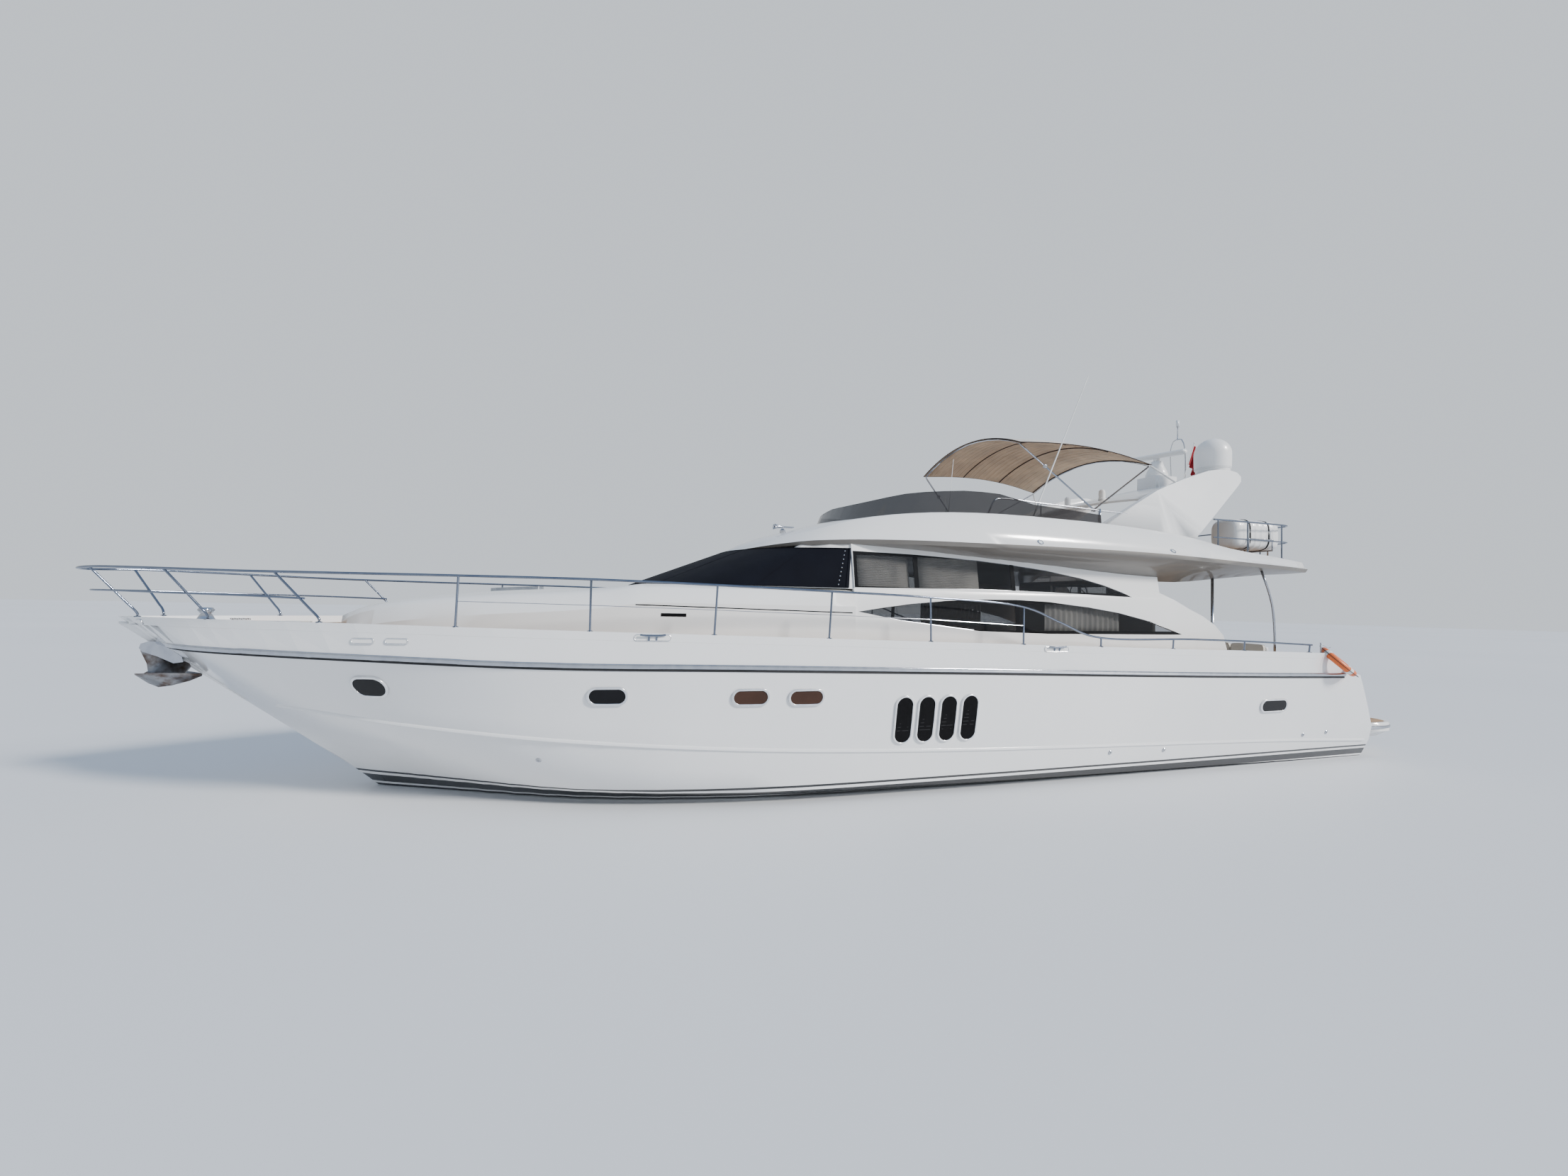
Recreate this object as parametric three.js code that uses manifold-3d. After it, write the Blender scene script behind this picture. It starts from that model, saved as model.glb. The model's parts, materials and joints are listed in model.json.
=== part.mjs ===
// Flybridge motor yacht, 20.9 m long and 5.13 m wide, shown as it floats.
// Millimetres. +X forward, +Y port, +Z up. The origin is on the centreline at the
// waterline, half way along the hull, and z = 0 is the surface of the water.

import * as THREE from 'three';
import { mergeVertices } from 'three/addons/utils/BufferGeometryUtils.js';
import Module from 'manifold-3d';

const wasm = await Module();
wasm.setup();

// Driving dimensions
const GAP = 0.4;                 // between pieces that rest on each other
const STEM_X = 10090;            // tip of the foredeck
const TRANSOM_X = -9450;         // after face of the hull
const PLATFORM_END_X = -10450;   // after edge of the bathing platform
const GUNWALE_WIDTH = 70;        // cap of the low bulwark
const BULWARK_DEPTH = 100;       // from the cap down to the side deck
const DECK_CAMBER = 30;
const SOLE_Z = 1250;             // cockpit and saloon floor
const WALL = 60;                 // deckhouse wall
const BELT_Z = 2850;             // where the deckhouse windows start
const EAVE_Z = 3520;             // top of the deckhouse walls, inside the flybridge moulding
const BULKHEAD_X = -4850;        // after wall of the saloon
const SURROUND_X = 900;          // the windscreen surround ends here, at the chrome strip
const FLY_SOLE_Z = 3560;         // floor of the flybridge
const SALOON_HALF_WIDTH = 1750;
const COCKPIT_HALF_WIDTH = 1900;
const GLASS = 12;                // thickness of the saloon panes
const GLASS_RECESS = 8;          // the panes lie this far inside the wall's face

const rad = THREE.MathUtils.degToRad;
const V3 = (x, y, z) => new THREE.Vector3(x, y, z);

// Materials
const paint = (color, roughness, metalness = 0) =>
  new THREE.MeshStandardMaterial({ color, roughness, metalness });
const MATERIAL = {
  gelcoat: paint(0xf3f1ec, 0.18),
  steel: paint(0xc9ccd0, 0.15, 1),
  glass: paint(0x15191c, 0.05),
  smoked: paint(0x3a3f44, 0.08),
  cover: paint(0x171b26, 0.9),
  teak: paint(0x9b7448, 0.65),
  cushion: paint(0xe6dfd0, 0.8),
  canvas: paint(0xb8926a, 0.85),
  bronze: paint(0xa8843f, 0.3, 1),
  black: paint(0x151618, 0.5),
};

// Geometry helpers

/** A closed three.js geometry as a solid that can be cut and joined. */
function solid(geometry) {
  const bare = geometry.index ? geometry.toNonIndexed() : geometry.clone();
  bare.deleteAttribute('normal');
  bare.deleteAttribute('uv');
  const merged = mergeVertices(bare, 1e-3);
  const index = [...merged.index.array];
  if (signedVolume(merged.attributes.position, index) < 0) index.reverse();
  return new wasm.Manifold(new wasm.Mesh({
    numProp: 3,
    vertProperties: new Float32Array(merged.attributes.position.array),
    triVerts: new Uint32Array(index),
  }));
}

/** Six times the volume inside a closed mesh, negative where its faces point inwards. */
function signedVolume(position, index) {
  const corner = (i) => new THREE.Vector3().fromBufferAttribute(position, i);
  let volume = 0;
  for (let i = 0; i < index.length; i += 3) {
    volume += corner(index[i]).dot(corner(index[i + 1]).cross(corner(index[i + 2])));
  }
  return volume;
}

/** A solid as a three.js geometry. */
function geometryOf(body) {
  const mesh = body.getMesh();
  const geometry = new THREE.BufferGeometry();
  const positions = new Float32Array(mesh.numVert * 3);
  for (let i = 0; i < mesh.numVert; i++) {
    for (let k = 0; k < 3; k++) positions[i * 3 + k] = mesh.vertProperties[i * mesh.numProp + k];
  }
  geometry.setAttribute('position', new THREE.BufferAttribute(positions, 3));
  geometry.setIndex([...mesh.triVerts]);
  const flat = geometry.toNonIndexed();
  flat.computeVertexNormals();
  return flat;
}

/** The direction that a ring of points winds round. */
function winding(ring) {
  const normal = V3(0, 0, 0);
  ring.forEach((p, i) => {
    const q = ring[(i + 1) % ring.length];
    normal.add(V3((p.y - q.y) * (p.z + q.z), (p.z - q.z) * (p.x + q.x), (p.x - q.x) * (p.y + q.y)));
  });
  return normal;
}

/** Triangles that close one ring, wound as the ring is, worked out in the plane it faces most. */
function capTriangles(ring) {
  if (ring.length === 4) return [[0, 1, 2], [0, 2, 3]];
  const normal = winding(ring);
  const size = normal.toArray().map(Math.abs);
  const axis = size.indexOf(Math.max(...size));
  const flat = ring.map((p) => {
    const c = p.toArray();
    c.splice(axis, 1);
    return new THREE.Vector2(c[0], c[1]);
  });
  const triangles = THREE.ShapeUtils.triangulateShape(flat, []);
  const total = V3(0, 0, 0);
  for (const [a, b, c] of triangles) {
    total.add(ring[b].clone().sub(ring[a]).cross(ring[c].clone().sub(ring[a])));
  }
  return total.dot(normal) > 0 ? triangles : triangles.map(([a, b, c]) => [a, c, b]);
}

/** A closed solid through a row of rings that have the same number of points. */
function loft(rings) {
  const n = rings[0].length;
  const points = rings.flat();
  const index = [];
  for (let r = 0; r + 1 < rings.length; r++) {
    for (let i = 0; i < n; i++) {
      const a = r * n + i;
      const b = r * n + (i + 1) % n;
      // The second half mirrors the first, so that a symmetric ring gives a symmetric solid.
      index.push(...(i < n / 2 ? [a, b, b + n, a, b + n, a + n] : [a, b, a + n, b, b + n, a + n]));
    }
  }
  const last = points.length - n;
  for (const [a, b, c] of capTriangles(rings[0])) index.push(a, c, b);
  for (const [a, b, c] of capTriangles(rings.at(-1))) index.push(last + a, last + b, last + c);
  const geometry = new THREE.BufferGeometry().setFromPoints(points);
  geometry.setIndex(index);
  return solid(geometry);
}

/** An outline of [x, z] points carried from y0 to y1. */
const prismY = (outline, y0, y1) =>
  loft([y0, y1].map((y) => outline.map(([x, z]) => V3(x, y, z))));

/** An outline of [x, y] points carried from z0 to z1. */
const prismZ = (outline, z0, z1) =>
  loft([z0, z1].map((z) => outline.map(([x, y]) => V3(x, y, z))));

/** A box from its low and high corners. */
function box(low, high) {
  const size = high.map((h, i) => h - low[i]);
  const geometry = new THREE.BoxGeometry(...size);
  geometry.translate(...low.map((l, i) => l + size[i] / 2));
  return solid(geometry);
}

/** A block with its upright edges rounded, from its low and high corners. */
function roundedBlock(low, high, radius, steps = 4) {
  const outline = [];
  const corners = [
    [high[0] - radius, high[1] - radius, 0],
    [low[0] + radius, high[1] - radius, 90],
    [low[0] + radius, low[1] + radius, 180],
    [high[0] - radius, low[1] + radius, 270],
  ];
  for (const [x, y, start] of corners) {
    for (let i = 0; i <= steps; i++) {
      const a = rad(start + 90 * i / steps);
      outline.push([x + radius * Math.cos(a), y + radius * Math.sin(a)]);
    }
  }
  return prismZ(outline, low[2], high[2]);
}

/** A round bar between two points. */
function bar(from, to, radius, sides = 10) {
  const a = V3(...from);
  const b = V3(...to);
  const geometry = new THREE.CylinderGeometry(radius, radius, a.distanceTo(b), sides);
  geometry.applyQuaternion(new THREE.Quaternion().setFromUnitVectors(V3(0, 1, 0), b.clone().sub(a).normalize()));
  geometry.translate(...a.add(b).multiplyScalar(0.5).toArray());
  return solid(geometry);
}

/** A round tube along a smooth curve through the points. */
function tube(points, radius, steps, sides = 6) {
  const circle = new THREE.Shape();
  circle.absarc(0, 0, radius, 0, Math.PI * 2);
  const path = new THREE.CatmullRomCurve3(points.map((p) => V3(...p)), false, 'centripetal');
  const outline = new THREE.Shape(circle.getPoints(sides).slice(0, sides));
  return solid(new THREE.ExtrudeGeometry(outline, { steps, extrudePath: path, bevelEnabled: false }));
}

/** A turned piece: [radius, height] points about an upright axis, moved to a place. */
function turned(profile, place, segments = 24) {
  const geometry = new THREE.LatheGeometry(profile.map(([r, h]) => new THREE.Vector2(r, h)), segments);
  geometry.rotateX(Math.PI / 2);
  geometry.translate(...place);
  return solid(geometry);
}

/** The biggest of a solid's separate pieces. */
function largest(body) {
  const pieces = body.decompose();
  return pieces.reduce((best, piece) => (piece.volume() > best.volume() ? piece : best));
}

/** A solid less another one and the gap round it. */
function clearOf(body, other) {
  const shifts = [[0, 0, 0], [0, 0, GAP], [0, 0, -GAP], [0, GAP, 0], [0, -GAP, 0]];
  return shifts.reduce((rest, shift) => rest.subtract(other.translate(shift)), body);
}

/** What is left of a solid that stands on another one. */
const standingOn = (body, other) => body.subtract(other.translate([0, 0, GAP]));

/** The join of several solids. */
const join = (parts) => parts.reduce((all, part) => all.add(part));

/** The mirror image on the other side of the centreline. */
const mirrored = (body) => body.mirror([0, 1, 0]);

/** Smooth curve through table cells, sampled with a fixed number of steps to each row. */
function sampled(cells, stepsPerRow) {
  const curve = new THREE.CatmullRomCurve3(cells.map((c) => V3(...c)), false, 'centripetal');
  const count = (cells.length - 1) * stepsPerRow;
  return Array.from({ length: count + 1 }, (_, i) => curve.getPoint(i / count));
}

/** Linear reading of a table of [x, value] rows that run from high x to low x. */
function readAt(table, x, column = 1) {
  for (let i = 0; i + 1 < table.length; i++) {
    const [a, b] = [table[i], table[i + 1]];
    if (x <= a[0] && x >= b[0]) return a[column] + (b[column] - a[column]) * (a[0] - x) / (a[0] - b[0]);
  }
  return x > table[0][0] ? table[0][column] : table[table.length - 1][column];
}

// Rudders hang from a flat boss under the hull.
const RUDDER = { x: -8750, y: 870, chord: 520, stock: 34, top: -560, bottom: -1330, thick: 60 };
const RUDDER_BOSS = { r: 70, z: -450 };

// Hull

// Port lines, from the transom to the stem. Each cell is [x, y, z]; flare is how far the
// topsides bulge out between knuckle and rubbing strake.
const HULL_LINES = [
  { keel: [-9450, 0, -600], chine: [-9450, 2100, 10], knuckle: [-9450, 2230, 320],
    rub: [-9450, 2400, 1530], sheer: [-9450, 2370, 1900], flare: 20 },
  { keel: [-7000, 0, -640], chine: [-7000, 2170, 40], knuckle: [-7000, 2290, 430],
    rub: [-7000, 2485, 1585], sheer: [-7000, 2455, 1970], flare: 20 },
  { keel: [-4000, 0, -700], chine: [-4000, 2220, 70], knuckle: [-4000, 2350, 520],
    rub: [-4000, 2540, 1655], sheer: [-4000, 2510, 2040], flare: 20 },
  { keel: [-500, 0, -760], chine: [-500, 2250, 110], knuckle: [-500, 2385, 620],
    rub: [-500, 2565, 1750], sheer: [-500, 2535, 2130], flare: 15 },
  { keel: [2400, 0, -800], chine: [2400, 2180, 170], knuckle: [2450, 2370, 765],
    rub: [2500, 2545, 1820], sheer: [2500, 2515, 2205], flare: 0 },
  { keel: [4400, 0, -740], chine: [4550, 1750, 250], knuckle: [4800, 2080, 930],
    rub: [4950, 2345, 1860], sheer: [5000, 2320, 2260], flare: -20 },
  { keel: [5900, 0, -560], chine: [6100, 960, 340], knuckle: [6500, 1500, 1070],
    rub: [6850, 1880, 1920], sheer: [7000, 1830, 2295], flare: -40 },
  { keel: [6850, 0, -240], chine: [7050, 440, 470], knuckle: [7650, 870, 1170],
    rub: [8250, 1270, 1950], sheer: [8500, 1120, 2300], flare: -40 },
  { keel: [7330, 0, 140], chine: [7600, 160, 560], knuckle: [8350, 370, 1210],
    rub: [9150, 720, 1975], sheer: [9500, 500, 2300], flare: -20 },
  { keel: [7560, 0, 330], chine: [7930, 20, 610], knuckle: [8750, 22, 1230],
    rub: [9690, 24, 1990], sheer: [STEM_X, 26, 2300], flare: 0 },
];
const HULL_STEPS = 4;            // stations between two rows
const TOPSIDE_STEPS = 4;         // points between knuckle and rubbing strake
const hullLine = (name) => sampled(HULL_LINES.map((row) => row[name]), HULL_STEPS);
const SHEER = hullLine('sheer');

/** The corners of the bulwark at a station, its foot raised from the deck by a distance. */
function bulwarkSection({ rub, sheer }, raised) {
  const capWidth = Math.min(GUNWALE_WIDTH, sheer.y * 0.4);
  const footZ = sheer.z - BULWARK_DEPTH + raised;
  const outerFoot = rub.clone().lerp(sheer, (footZ - rub.z) / (sheer.z - rub.z));
  const innerFoot = V3(sheer.x, sheer.y - capWidth * 1.2, footZ);
  return [outerFoot, innerFoot, V3(sheer.x, sheer.y - capWidth, sheer.z), sheer];
}

/** One closed hull section, from the keel up the port side, over the deck and down to starboard. */
function hullSection({ keel, chine, knuckle, rub, sheer }, flare) {
  const side = [keel.clone().lerp(chine, 0.5), chine, chine.clone().lerp(knuckle, 0.5), knuckle];
  for (let k = 1; k < TOPSIDE_STEPS; k++) {
    const s = k / TOPSIDE_STEPS;
    side.push(knuckle.clone().lerp(rub, s).add(V3(0, 4 * s * (1 - s) * flare, 0)));
  }
  const [outerFoot, deckEdge] = bulwarkSection({ rub, sheer }, 0);
  side.push(rub, outerFoot, deckEdge);
  const centre = V3(sheer.x, 0, deckEdge.z + DECK_CAMBER);
  return [keel, ...side, centre, ...side.map((p) => V3(p.x, -p.y, p.z)).reverse()];
}

const LINE_NAMES = ['keel', 'chine', 'knuckle', 'rub', 'sheer'];
const lines = LINE_NAMES.map(hullLine);
const stations = lines[0].map((_, i) => Object.fromEntries(LINE_NAMES.map((name, k) => [name, lines[k][i]])));
const flares = sampled(HULL_LINES.map((row, i) => [i, row.flare, 0]), HULL_STEPS);
const hullForm = loft(stations.map((station, i) => hullSection(station, flares[i].y)));

// The stern quarters fall from the cockpit coaming to the bathing platform, as [x, z].
const STERN_CUT = [
  [-8080, 2700], [-8100, 1950], [-8300, 1690], [-8900, 1540], [-9420, 620], [-10600, 600],
  [-10600, 2700]];
const STAIR_INNER = 1150;
const STAIR_OUTER = 1850;
// Steps from the cockpit down to the platform: fore end, after end, height.
const TRANSOM_STEPS = [[-8600, -8900, 1060], [-8900, -9170, 850], [-9170, -9500, 640]];
const COCKPIT_AFT_X = -8600;
const FORE_WELL_X = 2600;
const FOREDECK_LOCKER = { x0: 8150, x1: 8900, halfWidth: 300, depth: 150 };
const LAZARETTE = { x0: -6900, x1: -6100, y0: -400, y1: 400, depth: 120, lip: 25 };
const LID = 25;                  // thickness of the flush lids

/** The height of the side deck's centre at x. */
const SHEER_TABLE = [...SHEER].reverse().map((p) => [p.x, p.z, p.y]);
const deckZ = (x) => readAt(SHEER_TABLE, x) - BULWARK_DEPTH + DECK_CAMBER;
const sheerZ = (x) => readAt(SHEER_TABLE, x);
const sheerY = (x) => readAt(SHEER_TABLE, x, 2);

function buildHull() {
  let hull = hullForm.subtract(prismY(STERN_CUT, -3000, 3000));
  hull = hull.subtract(box([BULKHEAD_X, -SALOON_HALF_WIDTH, SOLE_Z], [FORE_WELL_X, SALOON_HALF_WIDTH, 2700]));
  const wide = COCKPIT_HALF_WIDTH;
  hull = hull.subtract(box([COCKPIT_AFT_X, -wide, SOLE_Z], [BULKHEAD_X + 1, wide, 2700]));
  for (const side of [1, -1]) {
    const [y0, y1] = [STAIR_INNER * side, STAIR_OUTER * side].sort((a, b) => a - b);
    for (const [fore, aft, z] of TRANSOM_STEPS) hull = hull.subtract(box([aft, y0, z], [fore + 1, y1, 2700]));
  }
  for (const y of [RUDDER.y, -RUDDER.y]) {
    hull = hull.add(bar([RUDDER.x, y, 0], [RUDDER.x, y, RUDDER_BOSS.z], RUDDER_BOSS.r, 20));
  }
  const locker = FOREDECK_LOCKER;
  hull = hull.subtract(box([locker.x0, -locker.halfWidth, 2000], [locker.x1, locker.halfWidth, 2700]));
  const laz = LAZARETTE;
  hull = hull.subtract(box([laz.x0, laz.y0, SOLE_Z - laz.depth], [laz.x1, laz.y1, SOLE_Z + 1]));
  return hull.subtract(box(
    [laz.x0 - laz.lip, laz.y0 - laz.lip, SOLE_Z - LID - GAP], [laz.x1 + laz.lip, laz.y1 + laz.lip, SOLE_Z + 1]));
}
const hull = buildHull();
// The nose that joins both sides of the bulwark over the stem, low and high: z and [x, y] corners.
const NOSE = [
  [2195, [[9820, -155], [9950, -24], [9950, 24], [9820, 155]]],
  [2298, [[9930, -146], [10088, -27], [10088, 27], [9930, 146]]],
];

/** Both sides of the bulwark, with the nose between them. */
function buildBulwark() {
  const side = loft(stations.slice(0, -1).map((station) => bulwarkSection(station, GAP)));
  const nose = loft(NOSE.map(([z, corners]) => corners.map(([x, y]) => V3(x, y, z))));
  const whole = join([side, mirrored(side), nose]).subtract(hull.translate([0, 0, 2 * GAP]));
  return largest(whole.subtract(prismY(STERN_CUT, -3000, 3000)));
}
const bulwark = buildBulwark();
const hullAndBulwarks = join([hull, bulwark]);

// Superstructure

// The house at deck level and at the belt, from forward to aft: x, half-breadth at the deck,
// half-breadth at the belt, height of the belt, rise of the crown.
const HOUSE_LINES = [
  [7650, 150, 90, 2330, 20],
  [7350, 480, 330, 2450, 30],
  [6700, 930, 740, 2560, 50],
  [5700, 1400, 1170, 2660, 70],
  [4800, 1650, 1430, 2720, 60],
  [4200, 1780, 1580, 2780, 30],
  [3800, 1850, 1670, BELT_Z - 5, 0],
  [3000, 1950, 1820, BELT_Z, 0],
  [1500, 2030, 1950, BELT_Z, 0],
  [SURROUND_X, 2050, 1970, BELT_Z, 0],
];

/** A cross-section of the low house forward of the windscreen. */
function coachroofSection([x, deckY, beltY, beltZ, crown]) {
  const side = [
    V3(x, deckY, 1950), V3(x, deckY - 10, beltZ - 250), V3(x, deckY * 0.3 + beltY * 0.7, beltZ - 60),
    V3(x, beltY * 0.93, beltZ)];
  const half = [...side, V3(x, beltY * 0.5, beltZ + crown * 0.8)];
  return [...half, V3(x, 0, beltZ + crown), ...half.map((p) => V3(x, -p.y, p.z)).reverse()];
}

function buildCoachroofForm() {
  const rows = [0, 1, 2, 3, 4].map((column) => sampled(HOUSE_LINES.map((row) => [row[0], row[column], 0]), 3));
  const sections = rows[0].map((p, i) => coachroofSection([p.x, ...[1, 2, 3, 4].map((k) => rows[k][i].y)]));
  return loft(sections);
}
const coachroofForm = buildCoachroofForm();

function buildCoachroof() {
  let roof = clearOf(coachroofForm, hull).subtract(box([0, -3000, BELT_Z], [4050, 3000, 3500]));
  roof = roof.subtract(box([0, -SALOON_HALF_WIDTH, 1000], [FORE_WELL_X, SALOON_HALF_WIDTH, 3000]));
  const hatch = FORE_HATCH;
  return roof.subtract(roundedBlock(
    [hatch.x0, -hatch.halfWidth, hatch.z - 60], [hatch.x1, hatch.halfWidth, hatch.z + 200], 60));
}
const FORE_HATCH = { x0: 5150, x1: 5750, halfWidth: 300, z: 2745, thick: 45 };

// Plan curves of the glasshouse for its port half, from the after end to the centreline, as [x, y].
const GLASSHOUSE_BASE = [
  [-6250, 1940], [-4700, 1965], [-2500, 1980], [-500, 1980], [SURROUND_X, 1950], [1700, 1880],
  [2600, 1740], [3250, 1420], [3650, 950], [3830, 450], [3880, 0]];
const GLASSHOUSE_TOP = [
  [-6250, 1830], [-4700, 1850], [-2500, 1870], [-500, 1865], [SURROUND_X - 40, 1820], [1150, 1700],
  [1500, 1480], [1830, 1120], [2030, 720], [2130, 350], [2160, 0]];

/** A plan curve with its starboard half, moved inwards by a distance. */
function planRing(half, z, inset) {
  const full = [...half.map(([x, y]) => [x, y]), ...half.slice(0, -1).reverse().map(([x, y]) => [x, -y])];
  return full.map(([x, y], i) => {
    const before = full[Math.max(i - 1, 0)];
    const after = full[Math.min(i + 1, full.length - 1)];
    const along = new THREE.Vector2(after[0] - before[0], after[1] - before[1]).normalize();
    return V3(x + along.y * inset, y - along.x * inset, z);
  });
}

/** The glasshouse as a solid whose walls are moved inwards by a distance. */
function glasshouse(inset) {
  const reach = 0.06;
  return loft([-reach, 0.25, 0.5, 0.75, 1 + reach].map((t) => planRing(
    GLASSHOUSE_BASE.map(([x, y], i) => [x + (GLASSHOUSE_TOP[i][0] - x) * t, y + (GLASSHOUSE_TOP[i][1] - y) * t]),
    BELT_Z + (EAVE_Z - BELT_Z) * t, inset)));
}

/** The glasshouse wall forward of x between two depths and two heights. */
function glassBand(depthOut, depthIn, x, zLow, zHigh) {
  return glasshouse(depthOut).intersect(box([x, -3000, zLow], [5000, 3000, zHigh])).subtract(glasshouse(depthIn));
}

// The after edge of the deckhouse side, a wing that sweeps down to the coaming, as [x, z].
const WING = [
  [-4700, 3600], [-4700, 2930], [-5000, 2820], [-5320, 2670], [-5620, 2550], [-5880, 2400],
  [-6060, 2220], [-6150, 1950], [-6150, 1800]];
// Window outlines as [x, z], seen from the side.
const UPPER_WINDOW = [
  [880, 3395], [-70, 3380], [-1170, 3335], [-1770, 3290], [-2420, 3225], [-3100, 3120], [-3550, 3020],
  [-3900, 2915], [-4090, 2840], [-3300, 2862], [-2400, 2885], [-1200, 2893], [-50, 2885], [880, 2870]];
const LOWER_WINDOW = [
  [850, 2530], [480, 2590], [-20, 2660], [-560, 2710], [-1120, 2740], [-1800, 2750], [-2400, 2730],
  [-3180, 2660], [-3780, 2580], [-4420, 2450], [-5100, 2235], [-4200, 2232], [-2340, 2235],
  [-1110, 2270], [180, 2410]];

const windowCut = (outline) => prismY(outline, 1000, 3000);

/** One band of side wall from the deck to the eave: lofted so that it is one skin. */
function sideSkin(depthOut, depthIn) {
  // Columns: x, half-breadth at the deck, under the belt, at the belt, at the eave
  const rows = [
    [SURROUND_X, 2050, 1975, 1950, 1822], [-500, 2060, 1995, 1980, 1865], [-2500, 2060, 1995, 1980, 1870],
    [-4700, 2050, 1980, 1965, 1850], [-6200, 2030, 1960, 1942, 1830]];
  return loft(rows.map(([x, deck, under, belt, eave]) => {
    const levels = [[deck, 1900], [deck - 5, 2250], [under, BELT_Z - 40], [belt, BELT_Z], [eave, EAVE_Z]];
    return [
      ...levels.map(([y, z]) => V3(x, y - depthOut, z)),
      ...levels.reverse().map(([y, z]) => V3(x, y - depthIn, z))];
  }));
}

const wingTrim = prismY([[SURROUND_X - GAP, 3600], ...WING, [SURROUND_X - GAP, 1800]], 1000, 3000);

// Flybridge moulding

// From forward to aft: x, half-breadth and height of the soffit's outer edge, half-breadth and
// height of the coaming's top, height of the soffit where it meets the deckhouse, crown.
const FLY_LINES = [
  [2330, 330, 3420, 250, 3440, 3400, 15],
  [2150, 760, 3435, 620, 3500, 3410, 60],
  [1850, 1230, 3455, 1050, 3590, 3420, 90],
  [1400, 1640, 3480, 1450, 3700, 3430, 110],
  [800, 1900, 3500, 1740, 3870, 3430, 90],
  [0, 2130, 3505, 1930, 3985, 3425, 50],
  [-1000, 2280, 3500, 2060, 4040, 3370, 20],
  [-2500, 2350, 3500, 2110, 4035, 3260, 0],
  [-4000, 2370, 3490, 2110, 3985, 3150, 0],
  [-5200, 2350, 3460, 2090, 3895, 3130, 0],
  [-6200, 2290, 3430, 2080, 3740, 3220, 0],
  [-7400, 2200, 3400, 2040, 3640, 3330, 0],
  [-8080, 2080, 3385, 1980, 3585, 3370, 0],
];
const COAMING_WIDTH = 130;
const CEILING_Z = 3330;
const FLY_WELL_X0 = -7950;
const FLY_WELL_X1 = 500;
// The stairs come up through the sole on the starboard side.
const STAIR_OPENING = { x0: -6350, x1: -5050, y0: -1720, y1: -1020 };
const flyColumns = [0, 1, 2, 3, 4, 5, 6].map(
  (column) => sampled(FLY_LINES.map((row) => [row[0], row[column], 0]), 3));
const flyRows = flyColumns[0].map((p, i) => [p.x, ...[1, 2, 3, 4, 5, 6].map((k) => flyColumns[k][i].y)]);

function flySection([x, edgeY, edgeZ, capY, capZ, soffitZ, crown]) {
  const meetY = Math.min(1800, edgeY * 0.8);
  const ceilY = Math.min(1500, edgeY * 0.6);
  const ceilZ = Math.max(Math.min(CEILING_Z, edgeZ - 20), soffitZ);
  const waist = V3(x, edgeY * 0.35 + capY * 0.65, edgeZ + (capZ - edgeZ) * 0.5);
  const half = [
    V3(x, ceilY, ceilZ), V3(x, meetY, soffitZ), V3(x, edgeY - 40, edgeZ),
    V3(x, edgeY, edgeZ + Math.min(60, (capZ - edgeZ) * 0.3)),
    waist, V3(x, capY, capZ - 15), V3(x, capY - 40, capZ), V3(x, capY * 0.5, capZ + crown * 0.8)];
  return [V3(x, 0, ceilZ), ...half, V3(x, 0, capZ + crown), ...half.map((p) => V3(x, -p.y, p.z)).reverse()];
}

function buildFlybridge() {
  const form = loft(flyRows.map(flySection));
  const wellRows = flyRows.filter(([x]) => x >= FLY_WELL_X0 && x <= FLY_WELL_X1);
  const well = loft(wellRows.map(([x, , , capY]) => {
    const y = capY - COAMING_WIDTH;
    return [V3(x, -y, FLY_SOLE_Z), V3(x, y, FLY_SOLE_Z), V3(x, y + 10, 4400), V3(x, -y - 10, 4400)];
  }));
  const opening = STAIR_OPENING;
  return form.subtract(well)
    .subtract(box([opening.x0, opening.y0, 3000], [opening.x1, opening.y1, 3700]));
}
const flybridge = buildFlybridge();
/** A wall cut off where it meets the flybridge's underside. */
const underFly = (body) => clearOf(body, flybridge).subtract(box([-8200, -1500, 3340], [2300, 1500, 3600]));

/** Half-breadth and height of the coaming's top at x. */
const flyCap = (x) => ({ y: readAt(FLY_LINES, x, 3), z: readAt(FLY_LINES, x, 4) });

function buildDeckhouseSide() {
  let side = underFly(clearOf(sideSkin(0, WALL).intersect(wingTrim), hull));
  side = side.subtract(windowCut(UPPER_WINDOW)).subtract(windowCut(LOWER_WINDOW));
  return largest(side);
}

const deckhouseSide = buildDeckhouseSide();
const buildWindow = (outline) => largest(clearOf(
  sideSkin(GLASS_RECESS, GLASS_RECESS + GLASS).intersect(windowCut(outline)), deckhouseSide));

// The windscreen is one raked band of glass in a moulded surround.
const SCREEN_MARGIN = { low: 90, high: 150 };
/** The opening that the windscreen fills, between two depths, drawn in by a gap all round. */
const screenBand = (depthOut, depthIn, gap) => glassBand(
  depthOut, depthIn, SURROUND_X + 120 + gap, BELT_Z + SCREEN_MARGIN.low + gap, EAVE_Z - SCREEN_MARGIN.high - gap);

function buildSurround() {
  const shell = underFly(glassBand(0, WALL, SURROUND_X + GAP, BELT_Z + GAP, EAVE_Z));
  return largest(shell.subtract(screenBand(-20, 100, 0)));
}
const buildWindscreen = () => largest(underFly(screenBand(GLASS_RECESS, GLASS_RECESS + GLASS, GAP)));

const COVER = { clearance: 3, thickness: 8 };
function buildCover() {
  const { clearance, thickness } = COVER;
  return largest(glassBand(-clearance - thickness, -clearance, SURROUND_X + 30, BELT_Z + 10, EAVE_Z - 60)
    .subtract(flybridge.translate([0, 0, -10])).subtract(flybridge.translate([10, 0, -5])));
}

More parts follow.
